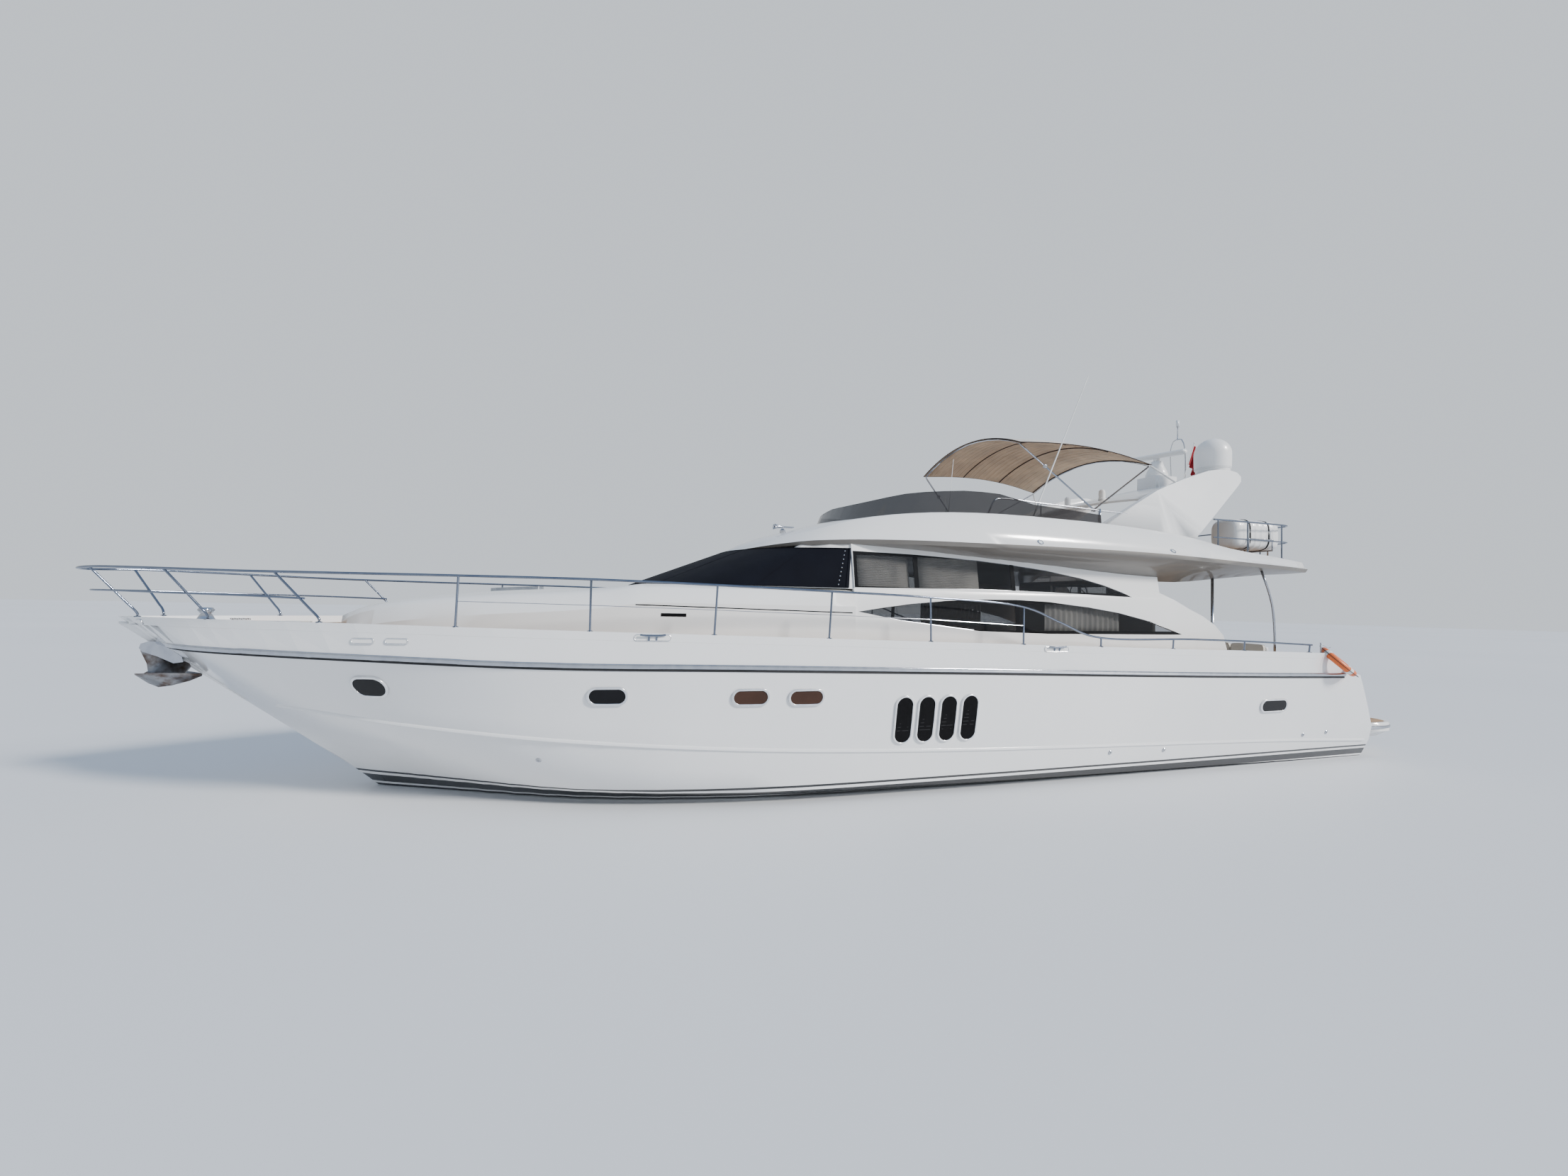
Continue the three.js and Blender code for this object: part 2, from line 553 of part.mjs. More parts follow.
// Saloon bulkhead with a fixed pane and a sliding door
const BULKHEAD = { thick: 60, halfWidth: 1740, top: 3200 };
const DOORWAY = { y0: -750, y1: 750, top: 3120 };
const DOOR = { thick: 30, frame: 60 };
function buildBulkhead() {
  const x = BULKHEAD_X;
  const slab = box(
    [x, -BULKHEAD.halfWidth, SOLE_Z + GAP], [x + BULKHEAD.thick, BULKHEAD.halfWidth, BULKHEAD.top]);
  const opening = box([x - 1, DOORWAY.y0, SOLE_Z + 40], [x + BULKHEAD.thick + 1, DOORWAY.y1, DOORWAY.top]);
  return underFly(slab.subtract(opening));
}
/** A glazed leaf with its frame, standing in the plane x. */
function doorLeaf(x, y0, y1, z0, z1) {
  const frame = box([x, y0, z0], [x + DOOR.thick, y1, z1]);
  const rebate = box([x - 1, y0 + DOOR.frame, z0 + DOOR.frame], [x + 8, y1 - DOOR.frame, z1 - DOOR.frame]);
  return frame.subtract(rebate);
}

// Rails

const RAIL_R = 14;
const STANCHION_R = 12;
// The port hand rail from the centreline of the pulpit aft, as [x, y, z].
const TOP_RAIL = [
  [10440, 0, 2880], [10400, 200, 2885], [10150, 420, 2900], [9300, 930, 2890], [8300, 1420, 2870],
  [6900, 1900, 2865], [5900, 2130, 2865], [4450, 2360, 2860], [2960, 2480, 2830], [1450, 2500, 2790],
  [0, 2510, 2745], [-1540, 2500, 2640], [-2200, 2495, 2420], [-2800, 2490, 2220], [-4780, 2475, 2180],
  [-6000, 2455, 2150], [-7650, 2415, 2085]];
const PULPIT_MID_RAIL = [
  [10330, 0, 2620], [10280, 170, 2622], [9950, 430, 2620], [9100, 960, 2605], [8200, 1400, 2590],
  [7560, 1610, 2570]];
// Stanchions: x of the foot, x of the head.
const STANCHIONS = [
  [5920, 5900], [4450, 4450], [2985, 2960], [1480, 1450], [-20, 0], [-1540, -1540], [-2950, -2950],
  [-4400, -4400], [-5980, -5980], [-7600, -7600]];
const PULPIT_LEGS = [[9930, 10250], [8900, 9300], [7400, 7900]];
const curveThrough = (points) => new THREE.CatmullRomCurve3(points.map((p) => V3(...p)), false, 'centripetal');

/** The point of a rail at x. */
function railPoint(points, x) {
  const samples = curveThrough(points).getPoints(300);
  return samples.reduce((best, p) => (Math.abs(p.x - x) < Math.abs(best.x - x) ? p : best));
}

function buildBowRail() {
  const whole = (points) => [...points.slice(1).reverse().map(([x, y, z]) => [x, -y, z]), ...points];
  const parts = [tube(whole(TOP_RAIL), RAIL_R, 44), tube(whole(PULPIT_MID_RAIL), RAIL_R - 3, 14)];
  const posts = [];
  for (const [foot, head] of STANCHIONS) {
    const top = railPoint(TOP_RAIL, head);
    const y = sheerY(foot) - GUNWALE_WIDTH / 2;
    posts.push(bar([foot, y, sheerZ(foot) + GAP], [top.x, top.y, top.z], STANCHION_R, 6));
  }
  for (const [foot, head] of PULPIT_LEGS) {
    const top = railPoint(TOP_RAIL, head);
    const knee = railPoint(PULPIT_MID_RAIL, foot + 330);
    const z = sheerZ(foot) + GAP;
    const y = sheerY(foot) - Math.min(GUNWALE_WIDTH, sheerY(foot) * 0.4) / 2;
    posts.push(bar([foot, y, z], [foot + 5, y, z + 80], STANCHION_R, 6));
    posts.push(bar([foot + 5, y, z + 75], [knee.x, knee.y, knee.z], STANCHION_R, 6));
    posts.push(bar([knee.x, knee.y, knee.z], [top.x, top.y, top.z], STANCHION_R, 6));
  }
  return largest(standingOn(join([...parts, ...posts, ...posts.map(mirrored)]), hullAndBulwarks));
}

// Bimini: a fore bow and an after bow pivot on one pin each side, and the canopy lies over both
const BIMINI = {
  pinX: -3400, pinZ: 4250, pinY0: 1815, pinY1: 2000, pinR: 12, halfWidth: 1490, tubeR: 14, crown: 330 };
const FORE_BOW = { x: -2240, z: 5320, footY: 1875 };
const AFT_BOW = { x: -4960, z: 5180, footY: 1835 };
const EYE = { inner: 12.8, outer: 24, width: 26 };

/** A bow: an arched tube across the boat with a straight leg down to the pin on each side. */
function bow({ x, z, footY }) {
  const b = BIMINI;
  const arc = [-1, -0.8, -0.5, 0, 0.5, 0.8, 1].map((s) => [x, s * b.halfWidth, z + b.crown * (1 - s * s)]);
  const legs = [1, -1].map((side) => {
    const foot = [b.pinX, side * footY, b.pinZ];
    const [eyeIn, eyeOut] = [foot[1] - EYE.width / 2, foot[1] + EYE.width / 2];
    const eye = bar([b.pinX, eyeIn, b.pinZ], [b.pinX, eyeOut, b.pinZ], EYE.outer, 20);
    return bar(foot, [x, side * b.halfWidth, z], b.tubeR, 6).add(eye);
  });
  const hole = bar([b.pinX, -2100, b.pinZ], [b.pinX, 2100, b.pinZ], EYE.inner, 24);
  return join([tube(arc, b.tubeR, 10), ...legs]).subtract(hole);
}

/** The after bow carries the pins, each on a post that stands on the coaming. */
function buildAftBow() {
  const b = BIMINI;
  const posts = [1, -1].flatMap((side) => [
    bar([b.pinX, side * b.pinY0, b.pinZ], [b.pinX, side * b.pinY1, b.pinZ], b.pinR, 20),
    bar([b.pinX, side * (b.pinY1 - 10), b.pinZ + 10], [b.pinX, side * b.pinY1, 3900], b.tubeR, 10)]);
  const { x, z, footY } = AFT_BOW;
  const arc = [-1, -0.8, -0.5, 0, 0.5, 0.8, 1].map((s) => [x, s * b.halfWidth, z + b.crown * (1 - s * s)]);
  const legs = [1, -1].map((side) => bar([b.pinX, side * footY, b.pinZ], [x, side * b.halfWidth, z], b.tubeR, 6));
  return largest(standingOn(join([tube(arc, b.tubeR, 10), ...legs, ...posts]), flybridge));
}

const CANOPY = { thick: 14, overhang: 40, clear: 1.3 };
// The canopy's line from fore to aft, as [x, height over the bows' ends].
const CANOPY_LINE = [
  [FORE_BOW.x + 30, FORE_BOW.z], [-2900, 5370], [-3600, 5375], [-4300, 5310],
  [AFT_BOW.x - 30, AFT_BOW.z]];
function buildCanopy() {
  const b = BIMINI;
  const steps = [-1, -0.85, -0.6, -0.3, 0, 0.3, 0.6, 0.85, 1];
  return loft(CANOPY_LINE.map(([x, z]) => {
    const low = z + b.tubeR + CANOPY.clear;
    const under = steps.map((s) => V3(x, s * (b.halfWidth + CANOPY.overhang), low + b.crown * (1 - s * s)));
    return [...under, ...under.map((p) => V3(p.x, p.y, p.z + CANOPY.thick)).reverse()];
  }));
}

// Radar arch
// The fin's outline as [x, z], and its half-breadth at the base and at the top.
const ARCH_FIN = [
  [-3440, 4010], [-3850, 4220], [-4300, 4455], [-4740, 4680], [-5400, 4935], [-6050, 5148],
  [-6350, 5200], [-6590, 5205], [-6760, 5175], [-6830, 5100], [-6800, 5010], [-6690, 4910],
  [-5630, 4080], [-5420, 3920], [-5290, 3780], [-4800, 3860], [-4100, 3940]];
const ARCH = { baseY: 2060, topY: 1740, baseZ: 3950, topZ: 5200, thick: 110 };
// The wing between the fins: fore edge, after edge as [x, z of its top].
const ARCH_WING = { fore: [-4700, 4600], aft: [-6700, 5120], thick: 120, crown: 110 };
const archY = (z) => ARCH.baseY + (ARCH.topY - ARCH.baseY) * (z - ARCH.baseZ) / (ARCH.topZ - ARCH.baseZ);

function buildArch() {
  const fin = loft([0, ARCH.thick].map((inset) => ARCH_FIN.map(([x, z]) => V3(x, archY(z) - inset, z))));
  const trimmed = clearOf(fin, flybridge);
  const steps = [-1, -0.75, -0.4, 0, 0.4, 0.75, 1];
  const { fore, aft, thick, crown } = ARCH_WING;
  const wing = loft([0, 0.08, 0.35, 0.7, 0.94, 1].map((t) => {
    const x = fore[0] + (aft[0] - fore[0]) * t;
    const z = fore[1] + (aft[1] - fore[1]) * t;
    const half = thick * (0.25 + 0.75 * Math.sqrt(Math.min(1, 4 * t * (1 - t) + 0.001))) / 2;
    const width = archY(z) - 60;
    const top = steps.map((s) => V3(x, s * width, z - thick / 2 + half + crown * (1 - s * s)));
    return [...top, ...top.map((p) => V3(p.x, p.y, p.z - 2 * half)).reverse()];
  }));
  return join([largest(trimmed), mirrored(largest(trimmed)), wing]);
}

/** The height of the arch wing's top on the centreline side at x and y. */
const wingTop = (x, y = 0) => {
  const t = (x - ARCH_WING.fore[0]) / (ARCH_WING.aft[0] - ARCH_WING.fore[0]);
  const z = ARCH_WING.fore[1] + (ARCH_WING.aft[1] - ARCH_WING.fore[1]) * t;
  return z + ARCH_WING.crown * (1 - (y / (archY(z) - 60)) ** 2);
};

// Masthead gear
const RADOME = { x: -6600, y: 1400, r: 300, height: 640, lift: 90 };
// The scanner bar rests turned a little from straight across.
const SCANNER = { x: -6350, y: 420, plinth: 150, height: 330, length: 1100, turn: 15 };
// The light mast is a hoop behind the arch, clear of the scanner's sweep.
const LIGHT_MAST = {
  x: -6930, y: 390, width: 300, rootX: -6520, rootZ: 5135, footZ: 5230, hoopZ: 6120, topZ: 6520 };

function buildRadome() {
  const { x, y, r, height } = RADOME;
  const profile = [[0, 0], [r * 0.9, 0], [r * 0.93, 60], [r * 0.97, 70], [r, height - r]];
  for (let i = 1; i < 6; i++) {
    const a = rad(90 * i / 6);
    profile.push([r * Math.cos(a), height - r + r * Math.sin(a)]);
  }
  profile.push([0, height]);
  const base = wingTop(x, y) + RADOME.lift;
  const foot = bar([x, y, base - 240], [x, y, base + 30], r * 0.75, 20);
  return largest(clearOf(turned(profile, [x, y, base], 20).add(foot), arch));
}

// Running gear
const SHAFT = { x0: -4950, x1: -8180, y: 850, z0: -350, z1: -935, r: 38 };
const shaftDirection = V3(SHAFT.x1 - SHAFT.x0, 0, SHAFT.z1 - SHAFT.z0).normalize();
const PROP = { r: 380, hub: 95, hubLength: 240, blades: 4 };

/** A point on a shaft's line at x. */
const shaftPoint = (x, side) => {
  const t = (x - SHAFT.x0) / (SHAFT.x1 - SHAFT.x0);
  return [x, side * SHAFT.y, SHAFT.z0 + (SHAFT.z1 - SHAFT.z0) * t];
};
const PROP_X = -8180;

function buildPropeller(side) {
  const hubProfile = [
    [0, 0], [PROP.hub * 0.85, 0], [PROP.hub, 60], [PROP.hub * 0.8, PROP.hubLength - 40],
    [PROP.hub * 0.35, PROP.hubLength], [0, PROP.hubLength]];
  const hub = new THREE.LatheGeometry(hubProfile.map(([r, h]) => new THREE.Vector2(r, h)), 20);
  let wheel = solid(hub);
  const steps = 7;
  for (let b = 0; b < PROP.blades; b++) {
    const rings = Array.from({ length: steps + 1 }, (_, i) => {
      const t = i / steps;
      const radius = PROP.hub * 0.6 + (PROP.r - PROP.hub * 0.6) * t;
      const chord = 250 * Math.sin(Math.PI * (0.22 + 0.74 * t)) + 12;
      const twist = rad(68 - 42 * t);
      const thick = 15 - 10 * t;
      const skew = rad(14 * t * t) * side;
      return [[-0.5, 0], [0, 0.5], [0.5, 0], [0, -0.5]].map(([u, v]) => {
        const across = u * chord * Math.cos(twist) * side;
        const along = u * chord * Math.sin(twist) + v * thick * 2;
        const angle = skew + across / Math.max(radius, 120);
        return V3(radius * Math.cos(angle), PROP.hubLength * 0.5 + along * 0.55, radius * Math.sin(angle));
      });
    });
    wheel = wheel.add(loft(rings).rotate([0, 360 * b / PROP.blades, 0]));
  }
  const place = V3(...shaftPoint(PROP_X, side));
  const turn = new THREE.Quaternion().setFromUnitVectors(V3(0, 1, 0), shaftDirection);
  const matrix = new THREE.Matrix4().compose(place, turn, V3(1, 1, 1));
  return wheel.transform(matrix.elements);
}

function buildShaft(side) {
  const start = shaftPoint(SHAFT.x0, side);
  const end = shaftPoint(PROP_X, side);
  const rod = bar(start, V3(...end).addScaledVector(shaftDirection, -GAP).toArray(), SHAFT.r, 12);
  const bracketX = -7950;
  const at = shaftPoint(bracketX, side);
  const boss = bar(shaftPoint(bracketX + 130, side), shaftPoint(bracketX - 130, side), 75, 16);
  const leg = (dy) => loft([0, 1].map((t) => {
    const y = at[1] + dy * t;
    const z = at[2] + t * 620;
    return [V3(bracketX + 90, y, z), V3(bracketX, y + 14, z), V3(bracketX - 90, y, z), V3(bracketX, y - 14, z)];
  }));
  return largest(clearOf(join([rod, boss, leg(-180), leg(200)]), hull));
}

function buildRudder(side) {
  const y = side * RUDDER.y;
  const r = RUDDER;
  const section = (z, chord, fore) => [
    V3(r.x + fore, y, z), V3(r.x + fore - chord * 0.3, y + r.thick / 2, z),
    V3(r.x + fore - chord, y, z), V3(r.x + fore - chord * 0.3, y - r.thick / 2, z)];
  const blade = loft([section(r.top, r.chord, 150), section(r.bottom, r.chord * 0.78, 120)]);
  const stock = bar([r.x, y, r.top - 20], [r.x, y, RUDDER_BOSS.z - GAP], r.stock, 16);
  return blade.add(stock);
}

// Lids, doors and gates

/** A plate that follows a surface: the form raised by its thickness, less the form itself. */
const platedOver = (form, block, thick) =>
  largest(form.translate([0, 0, thick + GAP]).intersect(block).subtract(form.translate([0, 0, GAP])));

const FORE_HATCH_LIP = 40;
function buildForeHatch() {
  const h = FORE_HATCH;
  const block = roundedBlock([h.x0 - FORE_HATCH_LIP, -h.halfWidth - FORE_HATCH_LIP, h.z - 200],
    [h.x1 + FORE_HATCH_LIP, h.halfWidth + FORE_HATCH_LIP, h.z + 300], 70);
  return platedOver(coachroofForm, block, h.thick);
}

const LOCKER_LIP = 30;
function buildLockerLid() {
  const l = FOREDECK_LOCKER;
  const block = roundedBlock([l.x0 - LOCKER_LIP, -l.halfWidth - LOCKER_LIP, 2100],
    [l.x1 + LOCKER_LIP, l.halfWidth + LOCKER_LIP, 2500], 60);
  return platedOver(hullForm, block, LID);
}

function buildLazaretteLid() {
  const l = LAZARETTE;
  const side = 5;
  const grown = l.lip - side;
  return box([l.x0 - grown, l.y0 - grown, SOLE_Z - LID], [l.x1 + grown, l.y1 + grown, SOLE_Z]);
}

const GATE = { x: -8630, thick: 25, low: 60, top: 1680, side: 6 };
function buildGate() {
  const g = GATE;
  const panel = box([g.x, STAIR_INNER + g.side, SOLE_Z + g.low], [g.x + g.thick, STAIR_OUTER - g.side, g.top]);
  const hinges = [1400, 1600].map(
    (z) => box([g.x, STAIR_OUTER - 20, z], [g.x + g.thick, STAIR_OUTER - GAP, z + 50]));
  return join([panel, ...hinges]);
}

// The doorway holds a fixed pane to port, and the leaf slides behind it on the cockpit side.
const LEAF = { y0: -770, y1: 10, clear: 6, sill: 40 };
function buildSlidingDoor() {
  const x = BULKHEAD_X - LEAF.clear - DOOR.thick;
  return doorLeaf(x, LEAF.y0, LEAF.y1, SOLE_Z + GAP, DOORWAY.top + 20);
}
function buildFixedPane() {
  return doorLeaf(BULKHEAD_X + 15, GAP, DOORWAY.y1 - GAP, SOLE_Z + LEAF.sill + GAP, DOORWAY.top - GAP);
}

// Bow and stern fittings

// The anchor hangs from a stainless fitting on the stem, under the rubbing strake.
const STEM_FITTING = { inner: 66, outer: 80, rollerX: 9765, rollerZ: 1905, rollerR: 34 };
// The cheek's outline as [x, z].
const CHEEK = [
  [9380, 1720], [9480, 1705], [9640, 1790], [9800, 1855], [9835, 1900], [9820, 1955], [9740, 1985],
  [9560, 1975], [9420, 1900]];
function buildStemFitting() {
  const f = STEM_FITTING;
  const cheeks = [1, -1].map((side) => {
    const [y0, y1] = [side * f.inner, side * f.outer].sort((a, b) => a - b);
    return prismY(CHEEK, y0, y1);
  });
  const roller = bar([f.rollerX, -f.outer, f.rollerZ], [f.rollerX, f.outer, f.rollerZ], f.rollerR, 16);
  return largest(clearOf(join([...cheeks, roller]), hull));
}

// The shank's outline as [x, z], and the plough from its point to its heel as
// [x, height of the keel, height of the wings, half-breadth].
const SHANK = { halfWidth: 20, outline: [
  [9700, 1960], [9830, 1950], [9850, 1860], [9780, 1700], [9740, 1440], [9500, 1425], [9330, 1660], [9345, 1700],
  [9560, 1790]] };
const PLOUGH = [
  [9215, 1530, 1545, 12], [9340, 1470, 1560, 90], [9520, 1415, 1575, 180], [9660, 1395, 1580, 215],
  [9770, 1450, 1575, 190], [9845, 1535, 1570, 120]];
function buildAnchor() {
  const shank = prismY(SHANK.outline, -SHANK.halfWidth, SHANK.halfWidth);
  const skin = 18;
  const plough = loft(PLOUGH.map(([x, keel, wing, half]) => [
    V3(x, -half, wing), V3(x, 0, keel), V3(x, half, wing),
    V3(x, half, wing + skin), V3(x, 0, keel + skin), V3(x, -half, wing + skin)]));
  return largest(clearOf(clearOf(shank.add(plough), hull), stemFitting));
}

const WINDLASS = { x: 9200, r: 95, height: 230 };
const buildWindlass = () => {
  const w = WINDLASS;
  const z = deckZ(w.x) - 40;
  const profile = [
    [0, 0], [w.r * 1.3, 0], [w.r * 1.3, 70], [w.r, 80], [w.r * 0.6, 150], [w.r * 0.95, 200],
    [w.r * 0.7, w.height], [0, w.height]];
  return largest(standingOn(turned(profile, [w.x, 0, z], 20), hull));
};

const PLATFORM = { fore: TRANSOM_X - GAP, aft: PLATFORM_END_X, halfWidth: 2180, z0: 330, z1: 600, corner: 420 };
function buildPlatform() {
  const p = PLATFORM;
  const corner = Array.from({ length: 7 }, (_, i) => {
    const a = rad(90 * i / 6);
    return [p.aft + p.corner * (1 - Math.sin(a)), p.halfWidth - p.corner * (1 - Math.cos(a))];
  });
  const half = [[p.fore, p.halfWidth], ...corner.map(([x, y]) => [x, y])];
  const ring = (z, inset) => [...half, ...half.map(([x, y]) => [x, -y]).reverse()]
    .map(([x, y]) => V3(x === p.fore ? x : x + inset, y - Math.sign(y) * inset, z));
  return loft([ring(p.z0, 130), ring(p.z0 + 110, 0), ring(p.z1 - 25, 0), ring(p.z1, 15)]);
}

// Saloon, cockpit and flybridge furniture, each block as its low and high corners
const SEAT_Z = SOLE_Z + 430;
function buildSaloonFurniture() {
  const z = SOLE_Z + GAP;
  return join([
    roundedBlock([-3900, 900, z], [-1300, 1700, SEAT_Z], 80),
    roundedBlock([-3900, 1450, z], [-1300, 1700, SEAT_Z + 380], 60),
    roundedBlock([-4300, 1500, z], [2200, 1700, SOLE_Z + 120], 20),
    roundedBlock([1300, -1700, z], [2500, 1700, 2150], 80),
    roundedBlock([1700, -1700, z], [2500, 1700, 2780], 80),
    roundedBlock([-3600, -1700, z], [1500, -1250, 2050], 60),
  ]);
}
function buildCockpitSeat() {
  const z = SOLE_Z + GAP;
  return join([
    roundedBlock([-8560, -1060, z], [-7950, 1060, SEAT_Z], 90),
    roundedBlock([-8590, -1060, z], [-8410, 1060, SEAT_Z + 330], 60)]);
}
const TABLE = { top: 720, thick: 35 };
function buildTable(x, y, halfX, halfY, floor, height = TABLE.top) {
  const top = roundedBlock(
    [x - halfX, y - halfY, floor + height - TABLE.thick], [x + halfX, y + halfY, floor + height], 80);
  const leg = bar([x, y, floor + GAP + 18], [x, y, floor + height - 10], 45, 16);
  const foot = bar([x, y, floor + GAP], [x, y, floor + 20], 190, 20);
  return join([top, leg, foot]);
}
function buildFlySettee() {
  const z = FLY_SOLE_Z + GAP;
  const seat = z + 300;
  return join([
    roundedBlock([-3250, 1150, z], [-1150, 1760, seat], 90),
    roundedBlock([-3250, 1600, z], [-1150, 1800, seat + 240], 70),
    roundedBlock([-3250, 250, z], [-2700, 1300, seat], 90),
    roundedBlock([-3290, 250, z], [-3120, 1700, seat + 240], 60),
    roundedBlock([-1600, 400, z], [-1150, 1300, seat], 90)]);
}
// The console's face slopes from its foot to its top over faceRun and faceRise.
const CONSOLE = { x0: -650, x1: 60, y0: -1300, y1: -200, z: 4150, faceRun: 260, faceRise: 310, brow: 20 };
// The wheel stands square to that face.
const WHEEL = { x: -640, y: -760, z: 3990, r: 190, rim: 14, away: 80 };
const wheelAxis = V3(-CONSOLE.faceRise, 0, CONSOLE.faceRun).normalize();
function buildConsole() {
  const c = CONSOLE;
  const foot = FLY_SOLE_Z + GAP;
  const brow = c.z - c.brow;
  const body = prismY([
    [c.x0, foot], [c.x1, foot], [c.x1, c.z - 60], [c.x1 - 150, c.z],
    [c.x0 + c.faceRun, brow], [c.x0, brow - c.faceRise]], c.y0, c.y1);
  return largest(clearOf(body, flybridge));
}
function onWheelAxis(body, distance) {
  const w = WHEEL;
  const turn = new THREE.Quaternion().setFromUnitVectors(V3(0, 1, 0), wheelAxis);
  const at = V3(w.x, w.y, w.z).addScaledVector(wheelAxis, distance);
  return body.transform(new THREE.Matrix4().compose(at, turn, V3(1, 1, 1)).elements);
}
function buildWheel() {
  const w = WHEEL;
  const rim = solid(new THREE.TorusGeometry(w.r, w.rim, 6, 20).rotateX(Math.PI / 2));
  const hub = bar([0, -230, 0], [0, 20, 0], 32, 16);
  const spokes = [0, 120, 240].map(
    (a) => bar([0, 0, 0], [w.r * Math.cos(rad(a)), 0, w.r * Math.sin(rad(a))], 11, 8));
  return largest(clearOf(onWheelAxis(join([rim, hub, ...spokes]), w.away), helmConsole));
}
function buildHelmSeat() {
  const z = FLY_SOLE_Z + GAP;
  return join([
    roundedBlock([-1650, -1300, z], [-1250, -280, z + 330], 70),
    roundedBlock([-1700, -1320, z + 300], [-1180, -260, z + 430], 90),
    roundedBlock([-1760, -1320, z + 400], [-1610, -260, z + 760], 60)]);
}

// The smoked screen's line from fore to aft along the port side, as [x, y, height].
const FLY_SCREEN = [
  [620, 0, 300], [600, 500, 300], [480, 1000, 310], [200, 1480, 330], [-300, 1830, 350],
  [-900, 1985, 350], [-1500, 2030, 330], [-2100, 2050, 200], [-2800, 2055, 170], [-3390, 2050, 150]];
/** The smoked screen round the fore end of the flybridge, standing on its coaming. */
function buildFlyScreen() {
  const full = [...FLY_SCREEN.slice(1).reverse().map(([x, y, h]) => [x, -y, h]), ...FLY_SCREEN];
  const smooth = sampled(full.map(([x, y]) => [x, y, 0]), 2);
  const heights = sampled(full.map(([x, y, h]) => [h, 0, 0]), 2);
  const thick = 14;
  const rake = 0.55;
  const rings = smooth.map((p, i) => {
    const before = smooth[Math.max(i - 1, 0)];
    const after = smooth[Math.min(i + 1, smooth.length - 1)];
    const out = V3(after.y - before.y, before.x - after.x, 0).normalize();
    const cap = flyTopZ(p.x, p.y);
    const h = heights[i].x;
    const lean = out.clone().multiplyScalar(-rake * h * (0.35 + 0.65 * Math.max(0, out.x)));
    const foot = V3(p.x, p.y, cap - 120);
    const head = V3(p.x, p.y, cap + h).add(lean);
    const wide = out.clone().multiplyScalar(thick);
    return [foot, head, head.clone().sub(wide), foot.clone().sub(wide)];
  });
  return largest(clearOf(loft(rings), flybridge));
}
/** Height of the flybridge moulding's top at a place on its rim. */
const flyTopZ = (x, y) => {
  const cap = flyCap(x);
  const crown = readAt(FLY_LINES, x, 6);
  return cap.z + crown * Math.max(0, 1 - Math.abs(y) / cap.y);
};

const STAIRS = {
  footX: -6720, headX: -5060, y0: -1690, y1: -1050, treads: 9, going: 240, thick: 35, stringer: 30 };
function buildStairs() {
  const t = STAIRS;
  const rise = (FLY_SOLE_Z - SOLE_Z) / (t.treads + 1);
  const run = (t.headX - t.footX) / (t.treads + 1);
  const parts = [];
  for (let i = 1; i <= t.treads; i++) {
    const x = t.footX + run * i;
    const z = SOLE_Z + rise * i;
    parts.push(box([x - t.going / 2, t.y0 + 5, z - t.thick], [x + t.going / 2, t.y1 - 5, z]));
  }
  const slope = [
    [t.footX - 60, SOLE_Z + GAP], [t.footX + 220, SOLE_Z + GAP], [t.headX + 10, FLY_SOLE_Z - 330],
    [t.headX + 10, FLY_SOLE_Z - 60], [t.headX - 130, FLY_SOLE_Z - 60], [t.footX - 60, SOLE_Z + 180]];
  for (const y of [t.y0, t.y1 - t.stringer]) parts.push(prismY(slope, y, y + t.stringer));
  return largest(clearOf(join(parts), flybridge));
}

const STAIR_HATCH = { lip: 25, thick: 28 };
function buildStairHatch() {
  const o = STAIR_OPENING;
  const h = STAIR_HATCH;
  return roundedBlock(
    [o.x0 - h.lip, o.y0 - h.lip, FLY_SOLE_Z + GAP], [o.x1 + h.lip, o.y1 + h.lip, FLY_SOLE_Z + h.thick], 40);
}

// After rail of the flybridge: a top rail and a low rail on posts, as [x, y] of half the plan.
const AFT_RAIL = {
  plan: [[-5880, 1990], [-6800, 1980], [-7500, 1955], [-7790, 1910], [-7880, 1780], [-7900, 1500], [-7900, 0]],
  top: 4240, low: 3930, r: 14 };
const AFT_RAIL_POSTS = [[-5980, 1989], [-6700, 1981], [-7600, 1947], [-7900, 1350], [-7900, 450]];
function buildAftRail() {
  const r = AFT_RAIL;
  const whole = (z) => [
    ...r.plan.map(([x, y]) => [x, y, z]), ...r.plan.slice(0, -1).reverse().map(([x, y]) => [x, -y, z])];
  const posts = AFT_RAIL_POSTS.flatMap(([x, y]) => [1, -1].map(
    (side) => bar([x, side * y, 3500], [x, side * y, r.top], r.r - 2, 6)));
  const runs = [tube(whole(r.top), r.r, 26), tube(whole(r.low), r.r - 3, 26)];
  return largest(standingOn(join([...runs, ...posts]), flybridge));
}

const RAFT = { x0: -7760, x1: -6650, y0: 1280, y1: 1830, z0: 3790, z1: 4340 };
function buildRaft() {
  const r = RAFT;
  const [yc, zc] = [(r.y0 + r.y1) / 2, (r.z0 + r.z1) / 2];
  const section = (x, k) => Array.from({ length: 24 }, (_, i) => {
    const a = rad(360 * i / 24);
    const power = 0.55;
    const c = Math.sign(Math.cos(a)) * Math.abs(Math.cos(a)) ** power;
    const sn = Math.sign(Math.sin(a)) * Math.abs(Math.sin(a)) ** power;
    return V3(x, yc + (r.y1 - r.y0) / 2 * k * c, zc + (r.z1 - r.z0) / 2 * k * sn);
  });
  return loft([
    section(r.x0, 0.82), section(r.x0 + 60, 0.97), section(r.x0 + 140, 1),
    section(r.x1 - 140, 1), section(r.x1 - 60, 0.97), section(r.x1, 0.82)]);
}
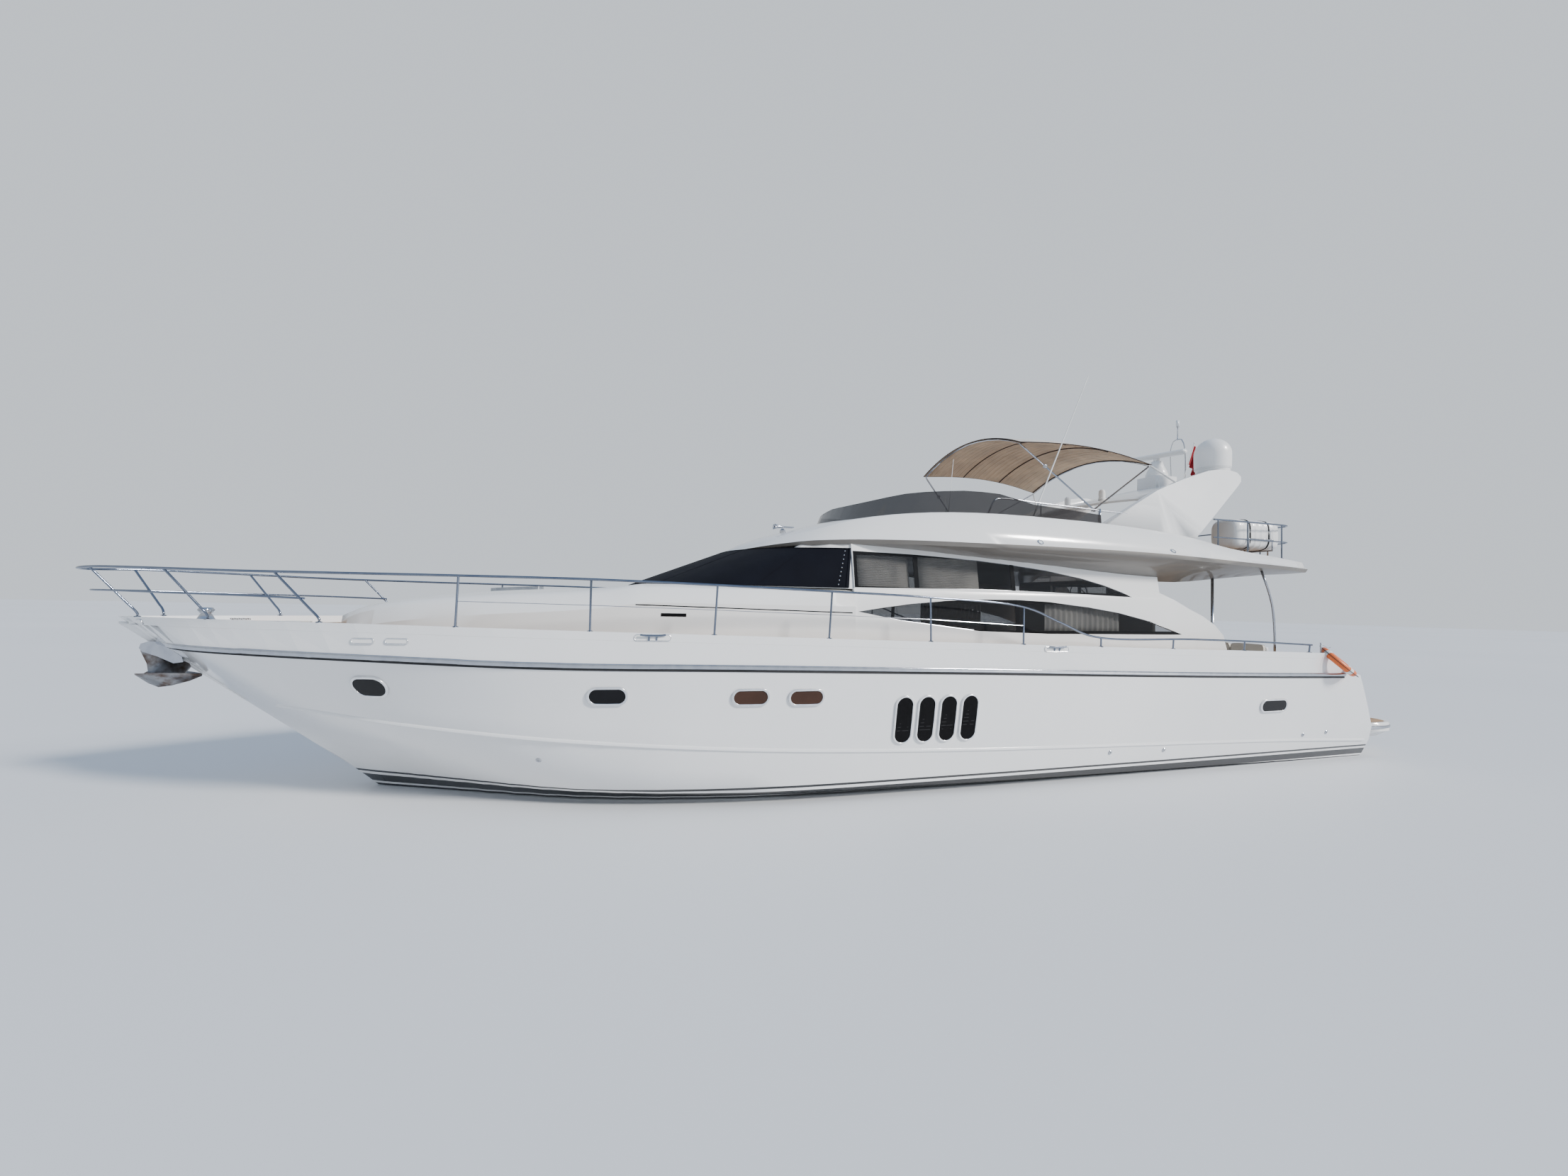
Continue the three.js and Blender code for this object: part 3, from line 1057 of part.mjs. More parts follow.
function buildCradle() {
  const r = RAFT;
  const z = r.z0 - 13.3;
  const tubes = [r.x0 + 260, r.x1 - 260].flatMap((x) => [
    bar([x, r.y0 - 20, z], [x, r.y1 + 20, z], 13, 6),
    bar([x, r.y0 - 20, z - 13], [x, r.y0 - 20, z + 200], 13, 6),
    bar([x, r.y1 + 20, z - 13], [x, r.y1 + 20, z + 200], 13, 6),
    bar([x, r.y0 + 60, 3500], [x, r.y0 + 60, z], 13, 6), bar([x, r.y1 - 60, 3500], [x, r.y1 - 60, z], 13, 6)]);
  const runs = [r.y0 - 20, r.y1 + 20].map(
    (y) => bar([r.x0 + 240, y, z + 190], [r.x1 - 240, y, z + 190], 13, 6));
  return largest(standingOn(join([...tubes, ...runs]), flybridge));
}

function buildPedestal() {
  const s = SCANNER;
  const base = wingTop(s.x, s.y);
  const plinth = roundedBlock([s.x - 260, s.y - 260, base - 120], [s.x + 260, s.y + 260, base + s.plinth], 60);
  const profile = [[0, 0], [190, 0], [205, 60], [170, 150], [130, 230], [100, s.height], [0, s.height]];
  const body = turned(profile, [s.x, s.y, base + s.plinth - 1], 24);
  return largest(clearOf(plinth.add(body), arch));
}
const scannerZ = () => wingTop(SCANNER.x, SCANNER.y) + SCANNER.plinth - 1 + SCANNER.height + GAP;
function buildScanner() {
  const s = SCANNER;
  const z = scannerZ();
  const hub = bar([0, 0, z], [0, 0, z + 70], 60, 20);
  // Half widths and heights of the bar's section, and its stations as parts of half its length.
  const section = [[75, -20], [75, 20], [40, 50], [-40, 50], [-60, 20], [-60, -20], [-30, -45], [45, -45]];
  const rings = [-1, -0.94, -0.3, 0.3, 0.94, 1].map((t) => {
    const k = Math.abs(t) === 1 ? 0.6 : 1;
    return section.map(([x, h]) => V3(x * k, t * s.length / 2, z + 110 + h * k));
  });
  return loft(rings).add(hub).rotate([0, 0, s.turn]).translate([s.x, s.y, 0]);
}
function buildLightMast() {
  const m = LIGHT_MAST;
  const leg = (side) => [
    [m.rootX, m.rootZ], [m.x + 60, m.rootZ + 30], [m.x, m.footZ], [m.x, m.hoopZ - 150]]
    .map(([x, z]) => [x, m.y + side * m.width / 2, z]);
  const crown = [-1, 1].map((side) => [m.x, m.y + side * m.width / 4, m.hoopZ]);
  const hoop = tube([...leg(-1), ...crown, ...leg(1).reverse()], 12, 30);
  const pole = bar([m.x, m.y, m.hoopZ - 5], [m.x, m.y, m.topZ - 60], 11, 10);
  const lamp = bar([m.x, m.y, m.topZ - 130], [m.x, m.y, m.topZ], 32, 14);
  return largest(clearOf(join([hoop, pole, lamp]), arch));
}

// Stainless posts under the flybridge's overhang
const POSTS = {
  straight: { x: -6050, y: 1830 },
  curved: [[-7160, 2130, 1880], [-7160, 2130, 2250], [-7110, 2115, 2800], [-6850, 2080, 3500]],
  r: 24 };
function buildStraightPost() {
  const { x, y } = POSTS.straight;
  return largest(clearOf(clearOf(bar([x, y, SOLE_Z + GAP], [x, y, 3600], POSTS.r, 12), hull), flybridge));
}
function buildCurvedPost() {
  return largest(clearOf(clearOf(tube(POSTS.curved, POSTS.r, 16, 10), hull), flybridge));
}

// Pieces and their groups

const yacht = new THREE.Group();
yacht.name = 'motor_yacht';

/** Puts a solid into the yacht as a named mesh. */
function place(name, body, material) {
  const mesh = new THREE.Mesh(geometryOf(body), material);
  mesh.name = name;
  yacht.add(mesh);
}

/** Places a port piece and its mirror image. */
function placePair(name, body, material) {
  place(`${name}_port`, body, material);
  place(`${name}_starboard`, mirrored(body), material);
}

const { gelcoat, steel, glass, smoked, cover, teak, cushion, canvas, bronze, black } = MATERIAL;
const stemFitting = buildStemFitting();
const arch = buildArch();
const helmConsole = buildConsole();

place('hull', hull, gelcoat);
place('bulwark', bulwark, gelcoat);
place('coachroof', buildCoachroof(), gelcoat);
place('foredeck_hatch', buildForeHatch(), smoked);
place('anchor_locker_lid', buildLockerLid(), gelcoat);
place('stem_fitting', stemFitting, steel);
place('anchor', buildAnchor(), steel);
place('windlass', buildWindlass(), steel);
place('bow_rail', buildBowRail(), steel);
place('bathing_platform', buildPlatform(), gelcoat);
placePair('transom_gate', buildGate(), gelcoat);
place('lazarette_lid', buildLazaretteLid(), teak);
place('cockpit_seat', buildCockpitSeat(), cushion);
place('cockpit_table', buildTable(-7400, 0, 330, 620, SOLE_Z), teak);
placePair('deckhouse_side', deckhouseSide, gelcoat);
placePair('upper_window', buildWindow(UPPER_WINDOW), glass);
placePair('lower_window', buildWindow(LOWER_WINDOW), glass);
place('windscreen_surround', buildSurround(), gelcoat);
place('windscreen_glass', buildWindscreen(), glass);
place('windscreen_cover', buildCover(), cover);
place('saloon_bulkhead', buildBulkhead(), gelcoat);
place('saloon_fixed_pane', buildFixedPane(), steel);
place('saloon_door', buildSlidingDoor(), steel);
place('saloon_furniture', buildSaloonFurniture(), cushion);
place('flybridge', flybridge, gelcoat);
place('fly_screen', buildFlyScreen(), smoked);
place('fly_console', helmConsole, gelcoat);
place('fly_wheel', buildWheel(), black);
place('fly_helm_seat', buildHelmSeat(), cushion);
place('fly_settee', buildFlySettee(), cushion);
place('fly_table', buildTable(-2150, 620, 420, 360, FLY_SOLE_Z, 560), teak);
place('fly_stairs', buildStairs(), steel);
place('stair_hatch', buildStairHatch(), gelcoat);
place('fly_aft_rail', buildAftRail(), steel);
place('liferaft', buildRaft(), gelcoat);
place('liferaft_cradle', buildCradle(), steel);
place('radar_arch', arch, gelcoat);
place('radome', buildRadome(), gelcoat);
place('scanner_pedestal', buildPedestal(), gelcoat);
place('radar_scanner', buildScanner(), gelcoat);
place('light_mast', buildLightMast(), steel);
place('bimini_fore_bow', bow(FORE_BOW), steel);
place('bimini_after_bow', buildAftBow(), steel);
place('bimini_canopy', buildCanopy(), canvas);
placePair('overhang_post', buildStraightPost(), steel);
placePair('overhang_strut', buildCurvedPost(), steel);
for (const [side, label] of [[1, 'port'], [-1, 'starboard']]) {
  place(`propeller_${label}`, buildPropeller(side), bronze);
  place(`shaft_${label}`, buildShaft(side), steel);
  place(`rudder_${label}`, buildRudder(side), bronze);
}

export default yacht;
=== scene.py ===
"""The looks of the motor yacht: its finishes, fittings, rails and cloth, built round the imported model."""

import json
import logging
import math
from collections.abc import Callable, Iterable, Sequence
from dataclasses import dataclass
from enum import Enum

import bmesh
import bpy
import numpy as np
from mathutils import Matrix, Vector
from mathutils.bvhtree import BVHTree


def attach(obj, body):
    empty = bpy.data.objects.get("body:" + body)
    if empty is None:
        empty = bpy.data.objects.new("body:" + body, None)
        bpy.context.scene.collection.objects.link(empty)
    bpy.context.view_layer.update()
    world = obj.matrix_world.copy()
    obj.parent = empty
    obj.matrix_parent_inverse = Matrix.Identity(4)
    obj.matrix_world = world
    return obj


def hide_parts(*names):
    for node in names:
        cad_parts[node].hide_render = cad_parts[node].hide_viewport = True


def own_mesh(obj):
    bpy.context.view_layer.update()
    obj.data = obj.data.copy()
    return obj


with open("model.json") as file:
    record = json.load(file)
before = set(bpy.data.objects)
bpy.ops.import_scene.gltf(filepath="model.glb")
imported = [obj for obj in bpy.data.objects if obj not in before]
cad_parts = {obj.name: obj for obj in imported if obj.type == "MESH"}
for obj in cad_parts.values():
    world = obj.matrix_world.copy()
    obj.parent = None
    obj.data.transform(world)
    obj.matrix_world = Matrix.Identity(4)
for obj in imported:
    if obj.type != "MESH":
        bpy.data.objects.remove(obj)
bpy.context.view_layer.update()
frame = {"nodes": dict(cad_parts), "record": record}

LOG = logging.getLogger("yacht")
RECORD = frame["record"]
BODY_OF = {node: body for body, nodes in RECORD["behaviour"]["bodies"].items() for node in nodes}
SLOT_OF = {part["node"]: part["material_slot"] for part in RECORD["subparts"]}
HULL_BODY = "yacht"
SIDES = (1.0, -1.0)

Point = tuple[float, float, float]
Pair = tuple[float, float]
Colour = tuple[float, float, float]
# A box: its lowest and highest corner, and the radius of its edges, or the crown of a cushion.
Box = tuple[Point, Point, float]
Socket = bpy.types.NodeSocket
Mesh = bmesh.types.BMesh
Face = bmesh.types.BMFace


class Slot(Enum):
    """The material slots that the record names."""

    GELCOAT = "gelcoat"
    STAINLESS = "stainless"
    GLASS = "window_glass"
    ACRYLIC = "smoked_acrylic"
    COVER = "cover_fabric"
    TEAK = "teak"
    UPHOLSTERY = "upholstery"
    CANVAS = "canvas"
    BRONZE = "bronze"
    BLACK = "wheel_black"


# Finishes


class Graph:
    """The node tree of one material, with its Principled shader."""

    def __init__(self, name: str) -> None:
        """Starts a material.

        Args:
            name: The material's name.
        """
        self.material = bpy.data.materials.new(name)
        self.material.use_nodes = True
        self.tree = self.material.node_tree
        self.shader = self.tree.nodes["Principled BSDF"]
        self.place = self.add("ShaderNodeTexCoord").outputs["Object"]

    def add(self, kind: str, **settings: object) -> bpy.types.Node:
        """Adds a node.

        Args:
            kind: The node's type.
            settings: Values for its properties.

        Returns:
            The node.
        """
        node = self.tree.nodes.new(kind)
        for name, value in settings.items():
            setattr(node, name, value)
        return node

    def join(self, source: Socket, target: Socket) -> None:
        """Links one socket to another."""
        self.tree.links.new(source, target)

    def sums(self, operation: str, first: object, second: object = 0.0) -> Socket:
        """A Math node on two sockets or numbers.

        Args:
            operation: The Math node's operation.
            first: A socket or a number.
            second: A socket or a number.

        Returns:
            The node's result.
        """
        node = self.add("ShaderNodeMath", operation=operation)
        for socket, value in zip(node.inputs, (first, second)):
            if isinstance(value, Socket):
                self.join(value, socket)
            else:
                socket.default_value = value
        return node.outputs[0]

    def stretched(self, scale: Point, turn: float = 0.0) -> Socket:
        """Object coordinates, scaled and turned about the upright axis.

        Args:
            scale: How much it is scaled each way.
            turn: The angle that it is turned by.

        Returns:
            The coordinates.
        """
        node = self.add("ShaderNodeMapping")
        node.inputs["Scale"].default_value = scale
        node.inputs["Rotation"].default_value = (0, 0, turn)
        self.join(self.place, node.inputs["Vector"])
        return node.outputs["Vector"]

    def noise(self, size: float, detail: float = 3.0, scale: Point = (1, 1, 1)) -> Socket:
        """Noise on object coordinates.

        Args:
            size: Features to the metre.
            detail: How many finer layers it has.
            scale: How it is stretched.

        Returns:
            The noise, from 0 to 1.
        """
        node = self.add("ShaderNodeTexNoise")
        node.inputs["Scale"].default_value = size
        node.inputs["Detail"].default_value = detail
        self.join(self.stretched(scale), node.inputs["Vector"])
        return node.outputs["Fac"]

    def ramp(self, source: Socket, stops: Sequence[tuple[float, Colour]], hard: bool = False) -> Socket:
        """A colour ramp.

        Args:
            source: The factor.
            stops: Positions and their colours.
            hard: Whether the colours change at once.

        Returns:
            The colour.
        """
        node = self.add("ShaderNodeValToRGB")
        node.color_ramp.interpolation = "CONSTANT" if hard else "LINEAR"
        elements = node.color_ramp.elements
        while len(elements) < len(stops):
            elements.new(0.5)
        for element, (position, colour) in zip(elements, stops):
            element.position = position
            element.color = (*colour, 1)
        self.join(source, node.inputs["Fac"])
        return node.outputs["Color"]

    def spread(self, source: Socket, low: float, high: float) -> Socket:
        """A factor from 0 to 1 carried to a new range.

        Args:
            source: The factor.
            low: What 0 becomes.
            high: What 1 becomes.

        Returns:
            The carried factor.
        """
        node = self.add("ShaderNodeMapRange")
        node.inputs["To Min"].default_value = low
        node.inputs["To Max"].default_value = high
        self.join(source, node.inputs["Value"])
        return node.outputs["Result"]

    def axis(self, name: str) -> Socket:
        """One object coordinate, X, Y or Z.

        Args:
            name: The coordinate's letter.

        Returns:
            The coordinate.
        """
        node = self.add("ShaderNodeSeparateXYZ")
        self.join(self.place, node.inputs["Vector"])
        return node.outputs[name]

    def mottle(self, noise: Socket, colour: Colour, tint: Colour) -> None:
        """Clouds the base colour.

        Args:
            noise: Where it is clouded, from 0 to 1.
            colour: The colour where it is clear.
            tint: What that colour is multiplied by in the clouds.
        """
        shade = tuple(part * share for part, share in zip(colour, tint))
        self.feed("Base Color", self.ramp(noise, [(0.3, shade), (0.7, colour)]))

    def bump(self, height: Socket, strength: float, depth: float) -> None:
        """Roughens the surface.

        Args:
            height: The height map.
            strength: How much of it shows.
            depth: Its depth in metres.
        """
        node = self.add("ShaderNodeBump")
        node.inputs["Strength"].default_value = strength
        node.inputs["Distance"].default_value = depth
        self.join(height, node.inputs["Height"])
        self.join(node.outputs["Normal"], self.shader.inputs["Normal"])

    def set(self, **values: object) -> None:
        """Sets the shader's own sockets, named with _ for a space."""
        for name, value in values.items():
            self.shader.inputs[name.replace("_", " ")].default_value = value

    def feed(self, name: str, source: Socket) -> None:
        """Links a socket of the shader."""
        self.join(source, self.shader.inputs[name])


@dataclass(frozen=True)
class Finish:
    """A finish that any surface of its kind can take."""

    name: str
    colour: Colour

    def build(self) -> bpy.types.Material:
        """Makes the material."""
        raise NotImplementedError


@dataclass(frozen=True)
class Gelcoat(Finish):
    """Polished moulding, with faint clouding and the marks of rain."""

    roughness: float = 0.16
    cloud: float = 0.03

    def build(self) -> bpy.types.Material:
        """Makes the material.

        Returns:
            The material.
        """
        g = Graph(self.name)
        g.mottle(g.noise(0.9, 4, (1, 1, 0.35)), self.colour, (1 - self.cloud,) * 3)
        g.feed("Roughness", g.spread(g.noise(2.2, 3), self.roughness * 0.8, self.roughness * 1.35))
        g.bump(g.noise(260, 1), 0.04, 0.0006)
        g.set(Coat_Weight=0.35, Coat_Roughness=0.06, IOR=1.5)
        return g.material


@dataclass(frozen=True)
class Topsides(Finish):
    """The hull's gelcoat, with its boot-top stripes and the dark paint below them."""

    stripe: Colour = (0.012, 0.013, 0.016)
    bottom: Colour = (0.022, 0.026, 0.036)
    # Each band's upper edge over the water, and whether it is dark.
    bands: tuple[tuple[float, bool], ...] = (
        (0.025, True), (0.055, False), (0.165, True), (0.205, False), (0.235, True))
    rise: float = 0.0012
    reach: float = 0.5

    def build(self) -> bpy.types.Material:
        """Makes the material.

        Returns:
            The material.
        """
        g = Graph(self.name)
        level = g.sums("SUBTRACT", g.axis("Z"), g.sums("MULTIPLY", g.axis("X"), self.rise))
        factor = g.sums("DIVIDE", level, self.reach)
        stops = [(0.0, self.bottom)]
        for (edge, _), (_, dark) in zip(self.bands, (*self.bands[1:], (0.0, False))):
            stops.append((edge / self.reach, self.stripe if dark else self.colour))
        painted = g.ramp(factor, stops, hard=True)
        cloud = g.ramp(g.noise(0.7, 5, (1, 1, 0.25)), [(0.25, (0.94, 0.945, 0.95)), (0.75, (1, 1, 1))])
        mix = g.add("ShaderNodeMix", data_type="RGBA", blend_type="MULTIPLY")
        mix.inputs["Factor"].default_value = 1.0
        g.join(painted, mix.inputs[6])
        g.join(cloud, mix.inputs[7])
        g.feed("Base Color", mix.outputs[2])
        rough = g.ramp(factor, [(0, (0.55,) * 3), (self.bands[0][0] / self.reach, (0.11,) * 3)], hard=True)
        g.feed("Roughness", rough)
        g.bump(g.noise(1.1, 2, (1, 1, 2.2)), 0.10, 0.012)
        g.set(Coat_Weight=0.5, Coat_Roughness=0.04, IOR=1.5)
        return g.material


@dataclass(frozen=True)
class Metal(Finish):
    """Polished or cast metal."""

    roughness: float = 0.14
    grain: float = 0.02
    rust: Colour | None = None

    def build(self) -> bpy.types.Material:
        """Makes the material.

        Returns:
            The material.
        """
        g = Graph(self.name)
        r, gr, b = self.colour
        dark = self.rust or (r * 0.86, gr * 0.87, b * 0.9)
        g.feed("Base Color", g.ramp(g.noise(9, 4), [(0.35, dark), (0.6, self.colour)]))
        g.feed("Roughness", g.spread(g.noise(40, 3), self.roughness * 0.7, self.roughness * 1.5))
        g.bump(g.noise(140, 2), self.grain, 0.001)
        g.set(Metallic=1.0)
        return g.material


@dataclass(frozen=True)
class Glazing(Finish):
    """Tinted glass or acrylic, seen partly through."""

    alpha: float = 0.8
    roughness: float = 0.03

    def build(self) -> bpy.types.Material:
        """Makes the material.

        Returns:
            The material.
        """
        g = Graph(self.name)
        r, gr, b = self.colour
        g.feed(
            "Base Color", g.ramp(g.noise(1.2, 2), [(0.3, self.colour), (0.7, (r * 1.6, gr * 1.6, b * 1.7))]))
        g.feed("Roughness", g.spread(g.noise(3, 2), self.roughness, self.roughness * 2.5))
        g.bump(g.noise(0.8, 1), 0.05, 0.02)
        g.set(Alpha=self.alpha, IOR=1.52)
        g.material.use_backface_culling = False
        return g.material


@dataclass(frozen=True)
class Cloth(Finish):
    """Woven cloth: threads both ways, folds and some fading."""

    thread: float = 900.0
    sheen: float = 0.3
    folds: float = 0.15
    stripes: float = 0.0

    def build(self) -> bpy.types.Material:
        """Makes the material.

        Returns:
            The material.
        """
        g = Graph(self.name)
        g.mottle(g.noise(2.6, 5), self.colour, (0.72, 0.72, 0.74))
        weave = g.sums("ABSOLUTE", g.sums("MULTIPLY", self.wave(g, "X"), self.wave(g, "Y")))
        height = g.sums("ADD", g.sums("MULTIPLY", weave, 0.06), g.sums("MULTIPLY", g.noise(7, 4), self.folds))
        if self.stripes:
            rib = g.sums("SINE", g.sums("MULTIPLY", g.axis("X"), self.stripes))
            height = g.sums("ADD", height, g.sums("MULTIPLY", rib, 0.05))
        g.bump(height, 0.5, 0.03)
        g.set(Roughness=0.85, Sheen_Weight=self.sheen, Sheen_Roughness=0.5, Specular_IOR_Level=0.15)
        return g.material

    def wave(self, g: Graph, axis: str) -> Socket:
        """One set of threads."""
        return g.sums("SINE", g.sums("MULTIPLY", g.axis(axis), self.thread))


@dataclass(frozen=True)
class Vinyl(Finish):
    """Seat vinyl with a fine grain."""

    roughness: float = 0.5

    def build(self) -> bpy.types.Material:
        """Makes the material.

        Returns:
            The material.
        """
        g = Graph(self.name)
        g.mottle(g.noise(3, 4), self.colour, (0.93, 0.92, 0.9))
        cells = g.add("ShaderNodeTexVoronoi")
        cells.inputs["Scale"].default_value = 420
        g.join(g.place, cells.inputs["Vector"])
        g.bump(cells.outputs["Distance"], 0.12, 0.001)
        g.set(Roughness=self.roughness, Sheen_Weight=0.1)
        return g.material


@dataclass(frozen=True)
class Planks(Finish):
    """Teak laid fore and aft, with dark caulking between the planks."""

    width: float = 0.055
    length: float = 2.1
    seam: Colour = (0.02, 0.018, 0.017)
    caulk: float = 0.09

    def build(self) -> bpy.types.Material:
        """Makes the material.

        Returns:
            The material.
        """
        g = Graph(self.name)
        row = g.sums("DIVIDE", g.axis("Y"), self.width)
        step = g.sums("FLOOR", row)
        shift = g.add("ShaderNodeTexWhiteNoise", noise_dimensions="1D")
        g.join(step, shift.inputs["W"])
        run = g.sums("ADD", g.sums("DIVIDE", g.axis("X"), self.length), shift.outputs["Value"])
        plank = g.add("ShaderNodeTexWhiteNoise", noise_dimensions="2D")
        pair = g.add("ShaderNodeCombineXYZ")
        g.join(step, pair.inputs["X"])
        g.join(g.sums("FLOOR", run), pair.inputs["Y"])
        g.join(pair.outputs["Vector"], plank.inputs["Vector"])
        seams = g.sums("LESS_THAN", g.sums("FRACT", row), self.caulk)
        butts = g.sums("LESS_THAN", g.sums("FRACT", run), 0.002)
        dark = g.sums("MAXIMUM", seams, butts)
        grain = g.noise(6, 6, (0.6, 14, 8))
        tone = g.sums("ADD", g.sums("MULTIPLY", grain, 0.6), g.sums("MULTIPLY", plank.outputs["Value"], 0.4))
        r, gr, b = self.colour
        wood = g.ramp(tone, [(0.25, (r * 0.62, gr * 0.58, b * 0.55)), (0.75, self.colour)])
        mix = g.add("ShaderNodeMix", data_type="RGBA")
        g.join(dark, mix.inputs["Factor"])
        g.join(wood, mix.inputs[6])
        mix.inputs[7].default_value = (*self.seam, 1)
        g.feed("Base Color", mix.outputs[2])
        g.feed("Roughness", g.spread(grain, 0.5, 0.75))
        g.bump(g.sums("SUBTRACT", g.sums("MULTIPLY", grain, 0.3), dark), 0.4, 0.002)
        return g.material


@dataclass(frozen=True)
class Grip(Finish):
    """Moulded deck with a raised non-slip pattern."""

    pitch: float = 0.022

    def build(self) -> bpy.types.Material:
        """Makes the material.

        Returns:
            The material.
        """
        g = Graph(self.name)
        grid = g.add("ShaderNodeSeparateXYZ")
        g.join(g.stretched((1 / self.pitch, 1 / self.pitch, 1), math.radians(45)), grid.inputs["Vector"])
        cells = [g.sums("PINGPONG", grid.outputs[axis], 0.5) for axis in "XY"]
        height = g.sums("MINIMUM", *cells)
        g.mottle(g.noise(2.4, 5), self.colour, (0.93, 0.93, 0.92))
        g.bump(height, 0.6, 0.003)
        g.set(Roughness=0.55)
        return g.material


@dataclass(frozen=True)
class Plastic(Finish):
    """Moulded plastic, rubber or paint, with a light texture."""

    roughness: float = 0.4
    grain: float = 200.0
    gloss: float = 0.5

    def build(self) -> bpy.types.Material:
        """Makes the material.

        Returns:
            The material.
        """
        g = Graph(self.name)
        g.mottle(g.noise(5, 3), self.colour, (0.85, 0.85, 0.85))
        g.feed("Roughness", g.spread(g.noise(18, 2), self.roughness * 0.8, self.roughness * 1.2))
        g.bump(g.noise(self.grain, 2), 0.08, 0.001)
        g.set(Specular_IOR_Level=self.gloss)
        return g.material


class Look(Enum):
    """Every finish on the yacht."""

    TOPSIDES = Topsides("topsides", (0.86, 0.865, 0.87))
    WHITE = Gelcoat("white_gelcoat", (0.86, 0.86, 0.85))
    # Painted shade: the white moulding, darkened on faces that look down, where shade falls.
    PAINTED_SHADE_UNDERSIDE = Gelcoat("underside_painted_shade", (0.20, 0.185, 0.165), 0.5)
    LINING = Gelcoat("cabin_lining", (0.40, 0.36, 0.31), 0.5)
    DOME = Gelcoat("dome_white", (0.84, 0.84, 0.83), 0.32)
    STEEL = Metal("polished_stainless", (0.52, 0.54, 0.58), 0.12)
    # Painted reflection: the rails' steel is darkened and blued for the dark sky that it would mirror.
    RAIL_PAINTED_REFLECTION = Metal("rail_tube_painted_reflection", (0.20, 0.23, 0.29), 0.10)
    RIM = Metal("bright_rim", (0.92, 0.92, 0.92), 0.22)
    # Painted light: a dark brown pane colour stands in for the light of a lit cabin behind the glass.
    PAINTED_CABIN_LIGHT = Plastic("pane_painted_cabin_light", (0.05, 0.022, 0.013), 0.10, 30, 0.3)
    CAST = Metal("galvanised_steel", (0.33, 0.33, 0.34), 0.45, 0.2, (0.14, 0.10, 0.08))
    BRONZE = Metal("cast_bronze", (0.50, 0.34, 0.15), 0.3, 0.1)
    GLASS = Glazing("tinted_glass", (0.004, 0.005, 0.007), 0.40)
    ACRYLIC = Glazing("smoked_acrylic_sheet", (0.018, 0.016, 0.016), 0.74)
    FRIT = Plastic("black_glass_border", (0.005, 0.005, 0.006), 0.15, 60, 0.22)
    COVER = Cloth("dark_blue_cover", (0.0035, 0.0045, 0.0095), 950, 0.01, 0.45)
    # Painted light and shade: one beige cloth, paler on top and tan underneath for how light falls on each
    # side.
    CANOPY_TOP_PAINTED_LIT = Cloth("canopy_top_painted_lit", (0.74, 0.70, 0.62), 800, 0.2, 0.12)
    CANOPY_UNDER_PAINTED_SHADED = Cloth("canopy_underside_painted_shade", (0.86, 0.66, 0.46), 800, 0.2, 0.10, 105)
    PIPING = Cloth("dark_piping", (0.05, 0.035, 0.03), 600, 0.1, 0.05)
    FLAG = Cloth("dark_red_bunting", (0.30, 0.012, 0.02), 700, 0.2, 0.1)
    BLIND = Cloth("pale_blind", (0.92, 0.90, 0.84), 500, 0.1, 0.05)
    VINYL = Vinyl("cream_vinyl", (0.78, 0.74, 0.66))
    TEAK = Planks("teak_planking", (0.47, 0.29, 0.155))
    CABIN_WOOD = Planks("cabin_sole_boards", (0.20, 0.10, 0.05), 0.12, 1.4, (0.03, 0.02, 0.012), 0.02)
    JOINERY = Planks("joinery_veneer", (0.28, 0.14, 0.06), 0.6, 3.0, (0.06, 0.03, 0.015), 0.004)
    GRIP = Grip("non_slip_deck", (0.78, 0.78, 0.76))
    BLACK = Plastic("black_moulding", (0.012, 0.012, 0.014), 0.35, 200, 0.3)
    RUBBER = Plastic("black_rubber", (0.02, 0.02, 0.022), 0.7, 90)
    # Painted shade: near black, laid where a groove, a slot or an opening would be in shade.
    PAINTED_RECESS_SHADE = Plastic("recess_painted_shade", (0.006, 0.006, 0.007), 0.8, 200, 0.1)
    WHITE_PLASTIC = Plastic("white_moulding", (0.82, 0.82, 0.80), 0.35)
    ORANGE = Plastic("orange_moulding", (0.80, 0.16, 0.03), 0.4, 120)
    LENS = Plastic("lamp_lens", (0.80, 0.84, 0.86), 0.12, 40)
    SCREEN = Plastic("dark_display", (0.01, 0.014, 0.02), 0.06, 30)


MADE: dict[Look, bpy.types.Material] = {}


def material(look: Look) -> bpy.types.Material:
    """The material of a finish, made the first time that it is asked for.

    Args:
        look: The finish.

    Returns:
        Its material.
    """
    if look not in MADE:
        MADE[look] = look.value.build()
    return MADE[look]


# Mesh work


def catmull(points: Sequence[Point], steps: int) -> list[Vector]:
    """A smooth curve through points, even where they are unevenly spaced.

    Args:
        points: The points.
        steps: Parts of the curve between two points.

    Returns:
        Points along the curve.
    """
    p = [Vector(q) for q in points]
    padded = [p[0] * 2 - p[1], *p, p[-1] * 2 - p[-2]]
    out = []
    for a, b, c, d in zip(padded, padded[1:], padded[2:], padded[3:]):
        t0, t1, t2 = ((u - v).length ** 0.5 or 1.0 for u, v in ((b, a), (c, b), (d, c)))
        m1 = ((b - a) / t0 - (c - a) / (t0 + t1) + (c - b) / t1) * t1
        m2 = ((c - b) / t1 - (d - b) / (t1 + t2) + (d - c) / t2) * t1
        for k in range(steps):
            s = k / steps
            ends = b * (2 * s**3 - 3 * s**2 + 1) + c * (3 * s**2 - 2 * s**3)
            out.append(ends + m1 * (s**3 - 2 * s**2 + s) + m2 * (s**3 - s**2))
    return [*out, p[-1]]


def run_length(points: Sequence[Vector]) -> float:
    """The length of a line through points."""
    return sum((b - a).length for a, b in zip(points, points[1:]))


